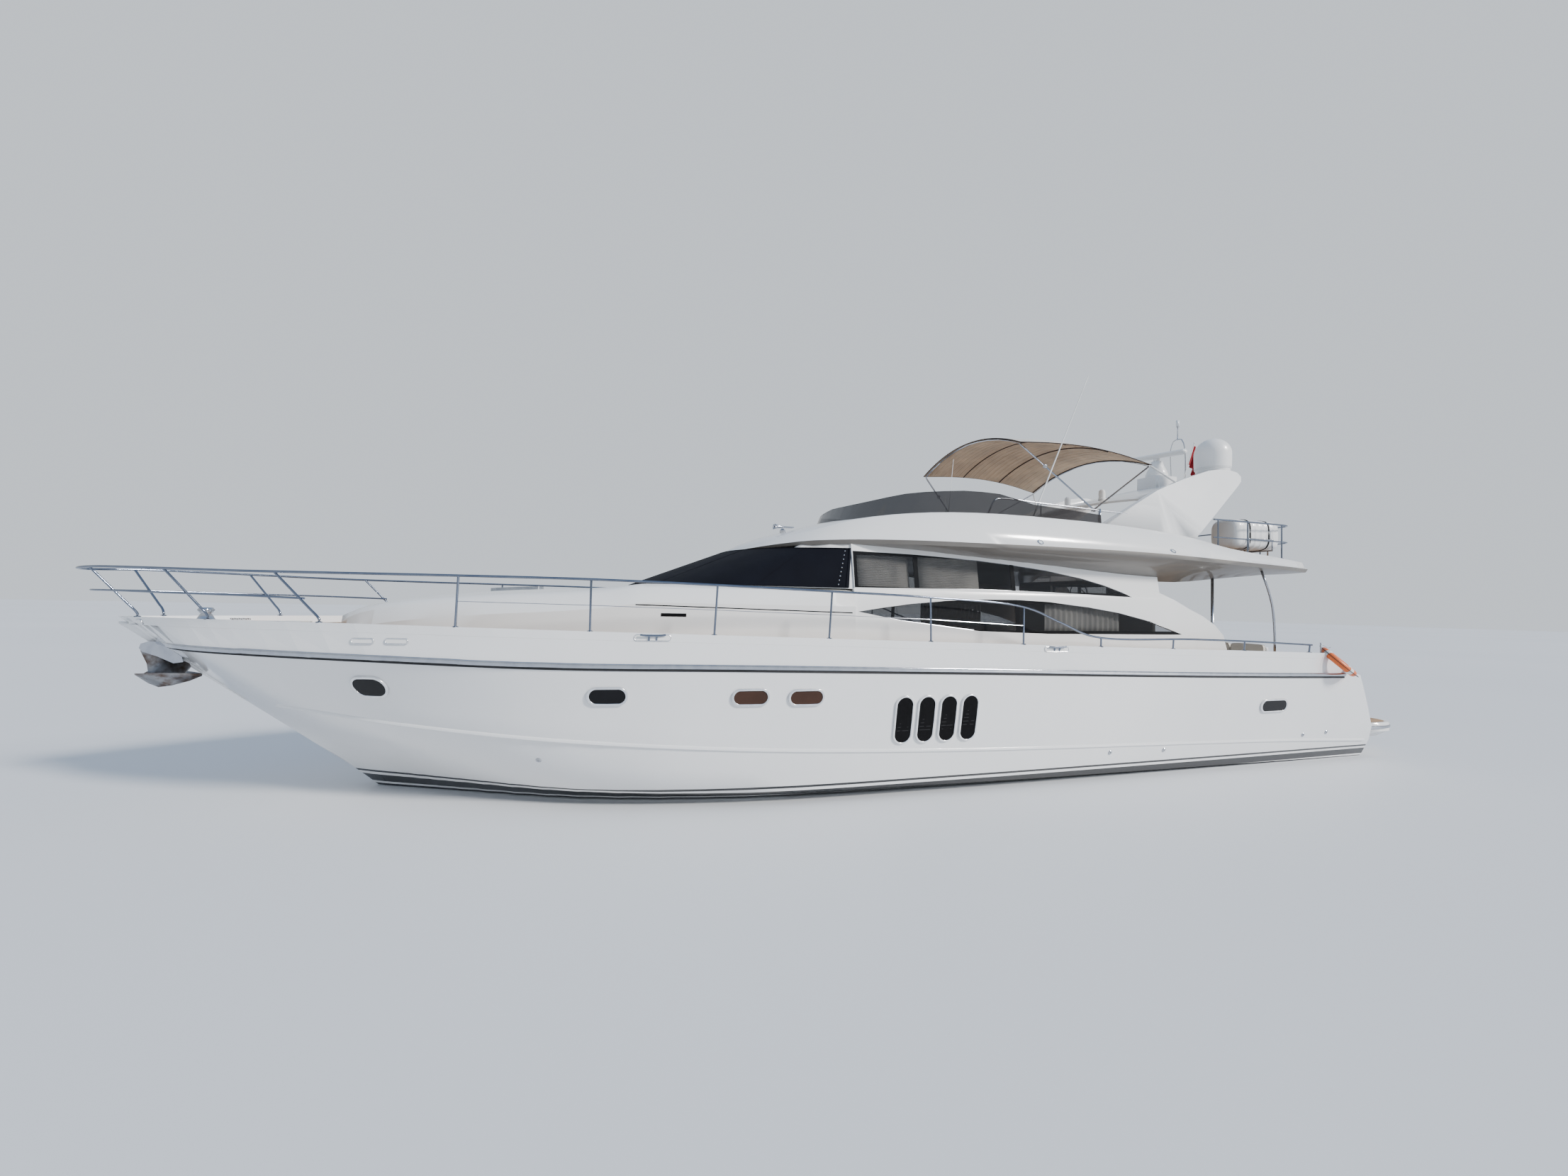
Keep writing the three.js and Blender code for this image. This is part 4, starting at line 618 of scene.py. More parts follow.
def arc(radius: float, start: float, end: float, count: int) -> list[Vector]:
    """Points of an arc in the XY plane.

    Args:
        radius: Its radius.
        start: The angle that it starts at.
        end: The angle that it ends at.
        count: How many points it has.

    Returns:
        The points.
    """
    angles = np.linspace(start, end, count)
    return [Vector((radius * math.cos(t), radius * math.sin(t), 0)) for t in angles]


def there_and_back(half: Sequence[Vector]) -> list[Vector]:
    """A line from the port side to the centreline, and its mirror image from there on."""
    return [*half, *(Vector((q.x, -q.y, q.z)) for q in half[-2::-1])]


def at_x(points: Sequence[Vector], x: float) -> Vector:
    """The point of a fore-and-aft line at x, between its nearest two points.

    Args:
        points: The line's points.
        x: The place along the boat.

    Returns:
        The point, or the nearest end.
    """
    for a, b in zip(points, points[1:]):
        if min(a.x, b.x) <= x <= max(a.x, b.x) and abs(b.x - a.x) > 1e-9:
            return a.lerp(b, (x - a.x) / (b.x - a.x))
    return min(points, key=lambda q: abs(q.x - x)).copy()


def place(bm: Mesh, matrix: Matrix) -> Mesh:
    """Moves a whole mesh, and keeps its faces outward where the matrix mirrors it.

    Args:
        bm: The mesh.
        matrix: The move.

    Returns:
        The same mesh.
    """
    bmesh.ops.transform(bm, matrix=matrix, verts=bm.verts)
    if matrix.determinant() < 0:
        bmesh.ops.reverse_faces(bm, faces=bm.faces)
    return bm


def facing(origin: Vector, outward: Vector, up: Vector = Vector((0, 0, 1))) -> Matrix:
    """A frame whose Z points outward and whose Y points up, at a place.

    Args:
        origin: The place.
        outward: The way that Z points.
        up: About the way that Y points.

    Returns:
        The frame.
    """
    z = outward.normalized()
    x = up.cross(z).normalized()
    y = z.cross(x)
    return Matrix.Translation(origin) @ Matrix((x, y, z)).transposed().to_4x4()


def joined(parts: Iterable[Mesh]) -> Mesh:
    """One mesh from several, which are freed.

    Args:
        parts: The meshes.

    Returns:
        The mesh.
    """
    whole = bmesh.new()
    for part in parts:
        spare = bpy.data.meshes.new("part")
        part.to_mesh(spare)
        part.free()
        whole.from_mesh(spare)
        bpy.data.meshes.remove(spare)
    return whole


def both_sides(part: Mesh) -> Mesh:
    """A mesh and its mirror image over the centreline.

    Args:
        part: The mesh on one side, which is freed.

    Returns:
        The mesh.
    """
    twin = part.copy()
    place(twin, Matrix.Diagonal((1, -1, 1, 1)))
    return joined([part, twin])


def block(low: Point, high: Point, radius: float, segments: int = 3) -> Mesh:
    """A block with rounded edges.

    Args:
        low: Its lowest corner.
        high: Its highest corner.
        radius: The radius of its edges.
        segments: How many faces round an edge.

    Returns:
        The mesh.
    """
    bm = bmesh.new()
    bmesh.ops.create_cube(bm, size=1)
    size = Vector(high) - Vector(low)
    place(bm, Matrix.Translation((Vector(low) + Vector(high)) / 2) @ Matrix.Diagonal((*size, 1)))
    bmesh.ops.bevel(
        bm, geom=bm.edges[:], offset=min(radius, min(size) * 0.45), offset_type="OFFSET", segments=segments,
        profile=0.5, affect="EDGES", material=-1)
    return bm


def turned(profile: Sequence[Pair], segments: int) -> Mesh:
    """A piece spun about Z from (radius, height) points.

    Args:
        profile: The points, from one end to the other.
        segments: How many steps go round.

    Returns:
        The mesh.
    """
    bm = bmesh.new()
    verts = [bm.verts.new((r, 0, z)) for r, z in profile]
    edges = [bm.edges.new(pair) for pair in zip(verts, verts[1:])]
    bmesh.ops.spin(
        bm, geom=verts + edges, cent=(0, 0, 0), axis=(0, 0, 1), angle=math.tau, steps=segments,
        use_merge=True)
    bmesh.ops.remove_doubles(bm, verts=bm.verts, dist=1e-5)
    bmesh.ops.recalc_face_normals(bm, faces=bm.faces)
    return bm


def stood(foot: Vector, profile: Sequence[Pair], segments: int) -> Mesh:
    """A turned piece that stands upright on a place."""
    return place(turned(profile, segments), Matrix.Translation(foot))


def rod(start: Point, end: Point, radius: float, tip: float | None = None, segments: int = 16) -> Mesh:
    """A straight rod between two points, tapered if a tip radius is given.

    Args:
        start: One end.
        end: The other end.
        radius: Its radius at the start.
        tip: Its radius at the end, if that isn't the same.
        segments: How many faces go round.

    Returns:
        The mesh.
    """
    a, b = Vector(start), Vector(end)
    bm = bmesh.new()
    bmesh.ops.create_cone(
        bm, cap_ends=True, segments=segments, radius1=radius, radius2=radius if tip is None else tip,
        depth=(b - a).length)
    turn = (b - a).to_track_quat("Z", "Y").to_matrix().to_4x4()
    return place(bm, Matrix.Translation((a + b) / 2) @ turn)


def tube(
    path: Sequence[Point], radius: float, closed: bool = False, flat: float = 0.0, resolution: int = 3
) -> Mesh:
    """A round tube, or a rounded strip, along a path.

    Args:
        path: Points along it.
        radius: The tube's radius, or half a strip's thickness.
        closed: Whether it is a ring.
        flat: How far a strip's flat part reaches up and down from the path.
        resolution: Smoothness of the round.

    Returns:
        The mesh.
    """
    curve = bpy.data.curves.new("run", "CURVE")
    curve.dimensions = "3D"
    curve.twist_mode = "Z_UP"
    curve.bevel_depth = radius
    curve.bevel_resolution = resolution
    curve.extrude = flat
    curve.use_fill_caps = not closed
    spline = curve.splines.new("POLY")
    spline.points.add(len(path) - 1)
    for point, q in zip(spline.points, path):
        point.co = (*q, 1)
    spline.use_cyclic_u = closed
    holder = bpy.data.objects.new("run", curve)
    bpy.context.scene.collection.objects.link(holder)
    graph = bpy.context.evaluated_depsgraph_get()
    mesh = bpy.data.meshes.new_from_object(holder.evaluated_get(graph))
    bm = bmesh.new()
    bm.from_mesh(mesh)
    bpy.data.objects.remove(holder)
    bpy.data.curves.remove(curve)
    bpy.data.meshes.remove(mesh)
    bmesh.ops.remove_doubles(bm, verts=bm.verts, dist=1e-6)
    bmesh.ops.recalc_face_normals(bm, faces=bm.faces)
    return bm


def stadium(width: float, height: float, segments: int) -> Mesh:
    """A flat face with straight long sides and round ends, in the XY plane, facing +Z.

    Args:
        width: Its width.
        height: Its height.
        segments: How many points go round.

    Returns:
        The mesh.
    """
    bm = bmesh.new()
    radius = min(width, height) / 2
    bmesh.ops.create_circle(bm, cap_ends=True, segments=segments, radius=radius)
    reach = Vector((max(width - height, 0), max(height - width, 0), 0)) / 2
    for sign in SIDES:
        verts = [v for v in bm.verts if (v.co.dot(reach) * sign) > 1e-7]
        bmesh.ops.translate(bm, vec=reach * sign, verts=verts)
    for face in bm.faces:
        if face.normal.z < 0:
            face.normal_flip()
    return bm


def raise_faces(bm: Mesh, faces: list[Face], vector: Vector) -> list[Face]:
    """Extrudes faces and moves them, and returns the moved ones.

    Args:
        bm: The mesh.
        faces: The faces, which are used up.
        vector: How far they move.

    Returns:
        The moved faces.
    """
    made = bmesh.ops.extrude_face_region(bm, geom=faces)["geom"]
    bmesh.ops.translate(bm, vec=vector, verts=[g for g in made if isinstance(g, bmesh.types.BMVert)])
    bmesh.ops.delete(bm, geom=[f for f in faces if f.is_valid], context="FACES_ONLY")
    return [g for g in made if isinstance(g, Face)]


def inlay(bm: Mesh, faces: Sequence[Face], margin: float, index: int = 1) -> None:
    """Gives flat faces a finish of their own, but for a margin round them.

    Args:
        bm: The mesh.
        faces: The faces.
        margin: The margin's width.
        index: The material index of what is laid.
    """
    rim = bmesh.ops.inset_region(bm, faces=faces, thickness=margin, use_even_offset=True)["faces"]
    for face in set(faces) - set(rim):
        face.material_index = index


def thicken(obj: bpy.types.Object, thickness: float) -> None:
    """Gives a sheet its thickness."""
    obj.modifiers.new("thickness", "SOLIDIFY").thickness = thickness


def piece(
    name: str, bm: Mesh, looks: Look | Sequence[Look], slot: Slot, body: str = HULL_BODY,
    instead_of: Sequence[str] = (), angle: float = 35.0, tidy: bool = True,
) -> bpy.types.Object:
    """Makes a finished piece from a mesh.

    Args:
        name: The piece's name.
        bm: The mesh, in the yacht's frame, which is freed.
        looks: One finish, or one for each material index.
        slot: The record's slot for the piece; not used.
        body: The body that it moves with.
        instead_of: The CAD nodes that it stands for.
        angle: Edges sharper than this stay sharp, in degrees.
        tidy: Whether its normals are made to point outward.

    Returns:
        The object.
    """
    if tidy:
        bmesh.ops.recalc_face_normals(bm, faces=bm.faces)
    mesh = bpy.data.meshes.new(name)
    bm.to_mesh(mesh)
    bm.free()
    mesh.shade_smooth()
    mesh.set_sharp_from_angle(angle=math.radians(angle))
    for look in [looks] if isinstance(looks, Look) else looks:
        mesh.materials.append(material(look))
    obj = bpy.data.objects.new(name, mesh)
    bpy.context.scene.collection.objects.link(obj)
    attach(obj, body)
    if instead_of:
        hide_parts(*instead_of)
    return obj


def cad_mesh(*nodes: str) -> Mesh:
    """The merged meshes of CAD nodes, as one new mesh with large flat faces.

    Args:
        nodes: The nodes.

    Returns:
        The mesh.
    """
    bm = bmesh.new()
    for node in nodes:
        bm.from_mesh(frame["nodes"][node].data)
    bmesh.ops.remove_doubles(bm, verts=bm.verts, dist=2e-5)
    bmesh.ops.dissolve_limit(
        bm, angle_limit=math.radians(0.6), verts=bm.verts, edges=bm.edges, delimit=set(),
        use_dissolve_boundaries=False)
    bmesh.ops.triangulate(bm, faces=[f for f in bm.faces if len(f.verts) > 4])
    bm.normal_update()
    return bm


def dressed(
    node: str, looks: Look | Sequence[Look], choose: Callable[[Face], int] | None = None,
    angle: float = 35.0,
) -> bpy.types.Object:
    """A smooth copy of a CAD node that stands for it.

    Args:
        node: The CAD node.
        looks: Its finishes.
        choose: Gives each face its material index.
        angle: Edges sharper than this stay sharp, in degrees.

    Returns:
        The object.
    """
    bm = cad_mesh(node)
    if choose:
        for face in bm.faces:
            face.material_index = choose(face)
    return piece(
        f"{node}_finished", bm, looks, Slot(SLOT_OF[node]), BODY_OF[node], [node], angle, tidy=False)


class Skin:
    """A surface that fittings are set on, found by casting rays at it."""

    def __init__(self, *nodes: str) -> None:
        """Reads the surface.

        Args:
            nodes: The CAD nodes that make it up.
        """
        bm = cad_mesh(*nodes)
        self.tree = BVHTree.FromBMesh(bm)
        bm.free()

    def side(self, x: float, z: float, sign: float = 1.0) -> tuple[Vector, Vector]:
        """The outermost point and its normal at x and z, on the port side or the other.

        Args:
            x: The place along the boat.
            z: The height.
            sign: 1 for port, -1 for starboard.

        Returns:
            The point and its normal.
        """
        hit, normal, _, _ = self.tree.ray_cast(Vector((x, 6 * sign, z)), Vector((0, -sign, 0)))
        if hit is None:
            raise ValueError(f"nothing at x {x}, z {z}")
        return hit, normal if normal.y * sign > 0 else -normal

    def off(self, x: float, z: float, out: float) -> Vector:
        """A point that stands off the port side at x and z.

        Args:
            x: The place along the boat.
            z: The height.
            out: How far it stands off.

        Returns:
            The point.
        """
        hit, normal = self.side(x, z)
        return hit + normal * out

    def top(self, x: float, y: float, above: float = 9.0) -> tuple[Vector, Vector]:
        """The highest point and its normal at x and y, looking down from a height.

        Args:
            x: The place along the boat.
            y: The place across it.
            above: The height.

        Returns:
            The point and its normal.
        """
        hit, normal, _, _ = self.tree.ray_cast(Vector((x, y, above)), Vector((0, 0, -1)))
        if hit is None:
            raise ValueError(f"nothing at x {x}, y {y}")
        return hit, normal


# Studio


@dataclass
class Studio:
    """The camera, the pale floor, the sky and the light."""

    lens: float = 14.5
    eye: Point = (4.56, 10.134, 2.61)
    azimuth: float = -2.831
    elevation: float = 0.026
    roll: float = 0.020
    floor_size: float = 400.0
    sun_from: Point = (-0.60, 0.62, 0.52)
    sun_energy: float = 4.4
    sun_spread: float = 9.0
    sun_colour: Colour = (1.0, 0.965, 0.92)
    sky_colour: Colour = (0.80, 0.86, 0.93)
    sky_strength: float = 0.85
    # The graded sky's colours, from straight down at 0, past the horizon at a half, to straight up at 1.
    grades: tuple[tuple[float, Colour], ...] = (
        (0.0, (0.10, 0.12, 0.14)), (0.47, (0.16, 0.19, 0.22)), (0.50, (0.55, 0.62, 0.68)),
        (0.56, (0.95, 0.98, 1.0)), (1.0, (0.36, 0.55, 0.86)))

    def build(self) -> None:
        """Sets up everything that isn't part of the yacht."""
        self.camera()
        self.floor()
        self.light()
        self.sky()

    def camera(self) -> None:
        """Puts the camera where the photograph was taken."""
        c = math.cos(self.elevation)
        ahead = Vector((c * math.sin(self.azimuth), c * math.cos(self.azimuth), math.sin(self.elevation)))
        right = ahead.cross(Vector((0, 0, 1))).normalized()
        up = right.cross(ahead)
        turned_right = right * math.cos(self.roll) + up * math.sin(self.roll)
        turned_up = up * math.cos(self.roll) - right * math.sin(self.roll)
        data = bpy.data.cameras.new("camera")
        data.lens = self.lens
        data.clip_end = 2000
        cam = bpy.data.objects.new("camera", data)
        cam.matrix_world = (
            Matrix.Translation(self.eye) @ Matrix((turned_right, turned_up, -ahead)).transposed().to_4x4())
        bpy.context.scene.collection.objects.link(cam)
        bpy.context.scene.camera = cam

    def floor(self) -> None:
        """Lays the floor at the waterline."""
        bm = bmesh.new()
        bmesh.ops.create_grid(bm, x_segments=2, y_segments=2, size=self.floor_size / 2)
        mesh = bpy.data.meshes.new("floor")
        bm.to_mesh(mesh)
        bm.free()
        g = Graph("pale_floor")
        greys = [(0.3, (0.70, 0.72, 0.745)), (0.7, (0.74, 0.755, 0.775))]
        g.feed("Base Color", g.ramp(g.noise(0.05, 2), greys))
        g.set(Roughness=0.5)
        mesh.materials.append(g.material)
        obj = bpy.data.objects.new("floor", mesh)
        bpy.context.scene.collection.objects.link(obj)

    def light(self) -> None:
        """Adds a soft sun from the port quarter."""
        data = bpy.data.lights.new("sun", "SUN")
        data.energy = self.sun_energy
        data.angle = math.radians(self.sun_spread)
        data.color = self.sun_colour
        obj = bpy.data.objects.new("sun", data)
        obj.rotation_mode = "QUATERNION"
        obj.rotation_quaternion = (-Vector(self.sun_from)).to_track_quat("-Z", "Y")
        bpy.context.scene.collection.objects.link(obj)

    def sky(self) -> None:
        """Makes a plain sky: pale to look at, and graded where it lights and reflects."""
        world = bpy.data.worlds.new("sky")
        world.use_nodes = True
        bpy.context.scene.world = world
        tree = world.node_tree
        out = tree.nodes["World Output"]
        plain = tree.nodes["Background"]
        plain.inputs["Color"].default_value = (*self.sky_colour, 1)
        plain.inputs["Strength"].default_value = 1.0
        graded = tree.nodes.new("ShaderNodeBackground")
        graded.inputs["Strength"].default_value = self.sky_strength
        coord = tree.nodes.new("ShaderNodeTexCoord")
        split = tree.nodes.new("ShaderNodeSeparateXYZ")
        ramp = tree.nodes.new("ShaderNodeValToRGB")
        while len(ramp.color_ramp.elements) < len(self.grades):
            ramp.color_ramp.elements.new(0.5)
        for element, (position, colour) in zip(ramp.color_ramp.elements, self.grades):
            element.position = position
            element.color = (*colour, 1)
        half = tree.nodes.new("ShaderNodeMapRange")
        half.inputs["From Min"].default_value = -1
        tree.links.new(coord.outputs["Generated"], split.inputs["Vector"])
        tree.links.new(split.outputs["Z"], half.inputs["Value"])
        tree.links.new(half.outputs["Result"], ramp.inputs["Fac"])
        tree.links.new(ramp.outputs["Color"], graded.inputs["Color"])
        path = tree.nodes.new("ShaderNodeLightPath")
        mix = tree.nodes.new("ShaderNodeMixShader")
        tree.links.new(path.outputs["Is Camera Ray"], mix.inputs["Fac"])
        tree.links.new(graded.outputs["Background"], mix.inputs[1])
        tree.links.new(plain.outputs["Background"], mix.inputs[2])
        tree.links.new(mix.outputs["Shader"], out.inputs["Surface"])


# The yacht


@dataclass
class Hull:
    """The hull and bulwarks with their decks, strakes, portholes and deck fittings."""

    # The rubbing strake's height, from the stem aft, as (x, z).
    strake: tuple[Pair, ...] = (
        (9.66, 1.985), (9.3, 1.975), (8.25, 1.95), (6.85, 1.92), (4.95, 1.86), (2.5, 1.82), (-0.5, 1.75),
        (-4.0, 1.655), (-7.0, 1.585), (-8.45, 1.557))
    # The moulded lip at the knuckle, from the bow aft, as (x, z).
    knuckle: tuple[Pair, ...] = (
        (8.2, 1.203), (7.65, 1.17), (6.5, 1.07), (4.8, 0.93), (2.45, 0.765), (-0.5, 0.62), (-4.0, 0.52),
        (-7.0, 0.43), (-9.3, 0.327))
    # Centre x and z, width and height.
    portholes: tuple[tuple[float, float, float, float], ...] = (
        (6.88, 1.555, 0.46, 0.31), (4.23, 1.48, 0.48, 0.24), (2.51, 1.445, 0.49, 0.23),
        (1.78, 1.43, 0.49, 0.23))
    # Which of them have their pane painted with the light of a lit cabin, counted from 0.
    lit: tuple[int, ...] = (2, 3)
    stern_window: tuple[float, float, float, float] = (-6.70, 1.06, 0.64, 0.24)
    # Where the air vents stand along the boat, and their foot, head and width.
    vents: tuple[float, ...] = (0.37, 0.03, -0.31, -0.65)
    vent_low: float = 0.743
    vent_high: float = 1.425
    vent_width: float = 0.288
    vent_slats: int = 11
    # Fairleads, the hawse and the skin fittings, as (x, z).
    fairleads: tuple[Pair, ...] = ((6.90, 2.10), (6.53, 2.105))
    hawse: Pair = (9.72, 2.24)
    skin_fittings: tuple[Pair, ...] = ((5.0, 0.65), (-3.3, 0.42), (-4.4, 0.40), (-7.6, 0.50), (-8.2, 0.52))
    # Where the midship cleats stand along the boat.
    cleats: tuple[float, ...] = (3.73, -2.10)
    # The cleat's arm, along the boat and over its foot.
    cleat_arm: tuple[Pair, ...] = ((-0.15, 0.035), (-0.09, 0.028), (0, 0.026), (0.09, 0.028), (0.15, 0.035))
    # The bulwark's cap, from the stern forward.
    sheer: tuple[Point, ...] = (
        (-9.45, 2.37, 1.90), (-7.0, 2.455, 1.97), (-4.0, 2.51, 2.04), (-0.5, 2.535, 2.13),
        (2.5, 2.515, 2.205), (5.0, 2.32, 2.26), (7.0, 1.83, 2.295), (8.5, 1.12, 2.30), (9.5, 0.50, 2.30),
        (10.09, 0.026, 2.30))

    def build(self) -> None:
        """Builds the hull and all that is set into it."""
        self.skin = Skin("hull", "bulwark")
        self.shell()
        self.strakes()
        self.windows()
        self.ventilators()
        self.small_fittings()
        self.deck_fittings()

    def shell(self) -> None:
        """Copies the hull and the bulwarks, and lays teak and boards on their flat parts."""
        bm = joined([cad_mesh("hull"), cad_mesh("bulwark")])
        bm.normal_update()
        for index, wanted in ((1, self.is_outside_deck), (2, self.is_cabin_sole)):
            flat = [f for f in bm.faces if f.normal.z > 0.985 and wanted(f.calc_center_median())]
            inlay(bm, flat, 0.035, index)
        piece("hull_shell", bm, [Look.TOPSIDES, Look.TEAK, Look.CABIN_WOOD], Slot.GELCOAT,
              instead_of=["hull", "bulwark"], angle=16, tidy=False)

    @staticmethod
    def is_outside_deck(c: Vector) -> bool:
        """Whether a flat face is a side deck, the cockpit sole or a step.

        Args:
            c: The face's centre.

        Returns:
            Whether it is.
        """
        cockpit = c.x < -4.86 and 0.6 < c.z < 1.3
        side = c.z > 1.7 and c.x < 9.0
        return cockpit or side

    @staticmethod
    def is_cabin_sole(c: Vector) -> bool:
        """Whether a flat face is the saloon's sole."""
        return c.x > -4.86 and 1.2 < c.z < 1.3

    def strakes(self) -> None:
        """Runs a stainless strake over a black line, and a lip at the knuckle, along both sides."""
        line = catmull([(x, 0, z) for x, z in self.strake], 10)
        steel = [self.skin.off(q.x, q.z, 0.008) for q in line]
        rubber = [self.skin.off(q.x, q.z - 0.045, 0.002) for q in line if q.x < 9.6]
        lip = [self.skin.off(q.x, q.z, 0.003) for q in catmull([(x, 0, z) for x, z in self.knuckle], 12)]
        piece("rubbing_strake", both_sides(tube(steel, 0.014, flat=0.016)), Look.STEEL, Slot.STAINLESS)
        piece("strake_underline", both_sides(tube(rubber, 0.006, flat=0.010)), Look.RUBBER, Slot.BLACK)
        piece("knuckle_lip", both_sides(tube(lip, 0.011, flat=0.012)), Look.TOPSIDES, Slot.GELCOAT)

    def port(self, width: float, height: float, rim: float = 0.030, proud: float = 0.022) -> Mesh:
        """A porthole facing +Z: a rounded frame (0) round a dark pane (1) set back in it.

        Args:
            width: Its width over all.
            height: Its height over all.
            rim: The frame's width.
            proud: How far the frame stands out.

        Returns:
            The mesh.
        """
        bm = stadium(width, height, 40)
        face = bm.faces[:][0]
        ring = bmesh.ops.inset_region(
            bm, faces=[face], thickness=rim, use_even_offset=True, use_boundary=True)["faces"]
        raise_faces(bm, [face], Vector((0, 0, proud * 0.55)))
        top = raise_faces(bm, ring, Vector((0, 0, proud)))
        edges = {e for f in top for e in f.edges if any(g not in top for g in e.link_faces)}
        bmesh.ops.bevel(
            bm, geom=list(edges), offset=0.006, offset_type="OFFSET", segments=3, profile=0.5, affect="EDGES",
            material=-1)
        bm.normal_update()
        for f in bm.faces:
            f.material_index = int(len(f.verts) > 8)
        return bm

    def set_in(self, bm: Mesh, x: float, z: float, sign: float, out: float = 0.003) -> Mesh:
        """Puts a fitting that faces +Z on the hull's side, and bends it to the hull.

        Args:
            bm: The fitting.
            x: The place along the boat.
            z: The height.
            sign: 1 for port, -1 for starboard.
            out: How far it stands off the hull.

        Returns:
            The same mesh.
        """
        hit, normal = self.skin.side(x, z, sign)
        frame_here = facing(hit, normal)
        for vert in bm.verts:
            foot = frame_here @ Vector((vert.co.x, vert.co.y, 0))
            found, _, _, _ = self.skin.tree.ray_cast(foot + normal * 0.5, -normal)
            level = normal.dot(found - foot) if found else 0.0
            vert.co = foot + normal * (vert.co.z + out + level)
        return bm

    def windows(self) -> None:
        """Sets the portholes and the stern windows into both sides."""
        parts = []
        for sign in SIDES:
            for k, (x, z, width, height) in enumerate((*self.portholes, self.stern_window)):
                bm = self.port(width, height)
                # The lit ones take the pane colour with the painted cabin light.
                for face in bm.faces:
                    face.material_index *= 2 if k in self.lit else 1
                parts.append(self.set_in(bm, x, z, sign))
        piece("portholes", joined(parts), [Look.RIM, Look.FRIT, Look.PAINTED_CABIN_LIGHT], Slot.STAINLESS, tidy=False)

    def ventilators(self) -> None:
        """Sets the engine-room air vents, each with slats behind its frame and painted shade in its opening.
        """
        height = self.vent_high - self.vent_low
        middle = (self.vent_high + self.vent_low) / 2
        half = self.vent_width / 2 - 0.03
        frames, slats = [], []
        for sign in SIDES:
            for x in self.vents:
                frames.append(self.set_in(self.port(self.vent_width, height, 0.026), x, middle, sign))
                for k in range(self.vent_slats):
                    y = -height / 2 + 0.09 + k * (height - 0.18) / (self.vent_slats - 1)
                    bar = block((-half, y - 0.006, 0.001), (half, y + 0.006, 0.009), 0.002, 1)
                    slats.append(self.set_in(bar, x, middle, sign))
        # Each frame's pane is painted shade.
        piece("vent_frames", joined(frames), [Look.RIM, Look.PAINTED_RECESS_SHADE], Slot.STAINLESS, tidy=False)
        piece("vent_slats", joined(slats), Look.BLACK, Slot.BLACK)

    def small_fittings(self) -> None:
        """Sets fairleads, the hawse near the stem and the skin fittings."""
        disc = [(0.012, 0), (0.012, 0.006), (0.03, 0.008), (0.036, 0.002), (0.036, -0.01)]
        leads, skins = [], []
        for sign in SIDES:
            for x, z in self.fairleads:
                leads.append(self.set_in(self.port(0.27, 0.075, 0.016, 0.012), x, z, sign))
            leads.append(self.set_in(self.port(0.15, 0.075, 0.016, 0.012), *self.hawse, sign))
            for x, z in self.skin_fittings:
                skins.append(self.set_in(turned(disc, 24), x, z, sign))
        piece("fairleads", joined(leads), [Look.RIM, Look.WHITE], Slot.STAINLESS, tidy=False)
        piece("skin_fittings", joined(skins), Look.STEEL, Slot.STAINLESS)

    def rail_foot(self, x: float) -> Vector:
        """The middle of the bulwark's cap at x, on the port side.

        Args:
            x: The place along the boat.

        Returns:
            The point.
        """
        q = at_x(catmull(self.sheer, 8), x)
        return Vector((x, q.y - min(0.07, q.y * 0.4) / 2, q.z))

    def deck_fittings(self) -> None:
        """Sets the cleats into the bulwarks, each with an opening behind it."""
        cleats, openings = [], []
        for sign in SIDES:
            for x in self.cleats:
                z = self.rail_foot(x).z - 0.055
                openings.append(self.set_in(self.port(0.44, 0.085, 0.012, 0.008), x, z, sign))
                hit, normal = self.skin.side(x, z, sign)
                for dx in (-0.045, 0.045):
                    foot = hit + Vector((dx, 0, -0.03))
                    cleats.append(rod(foot, foot + normal * 0.03 + Vector((0, 0, 0.06)), 0.012))
                arm = [hit + normal * 0.032 + Vector((d, 0, h)) for d, h in self.cleat_arm]
                cleats.append(tube(catmull(arm, 5), 0.012))
        piece("cleats", joined(cleats), Look.RAIL_PAINTED_REFLECTION, Slot.STAINLESS)
        piece("cleat_openings", joined(openings), [Look.RIM, Look.WHITE], Slot.STAINLESS, tidy=False)


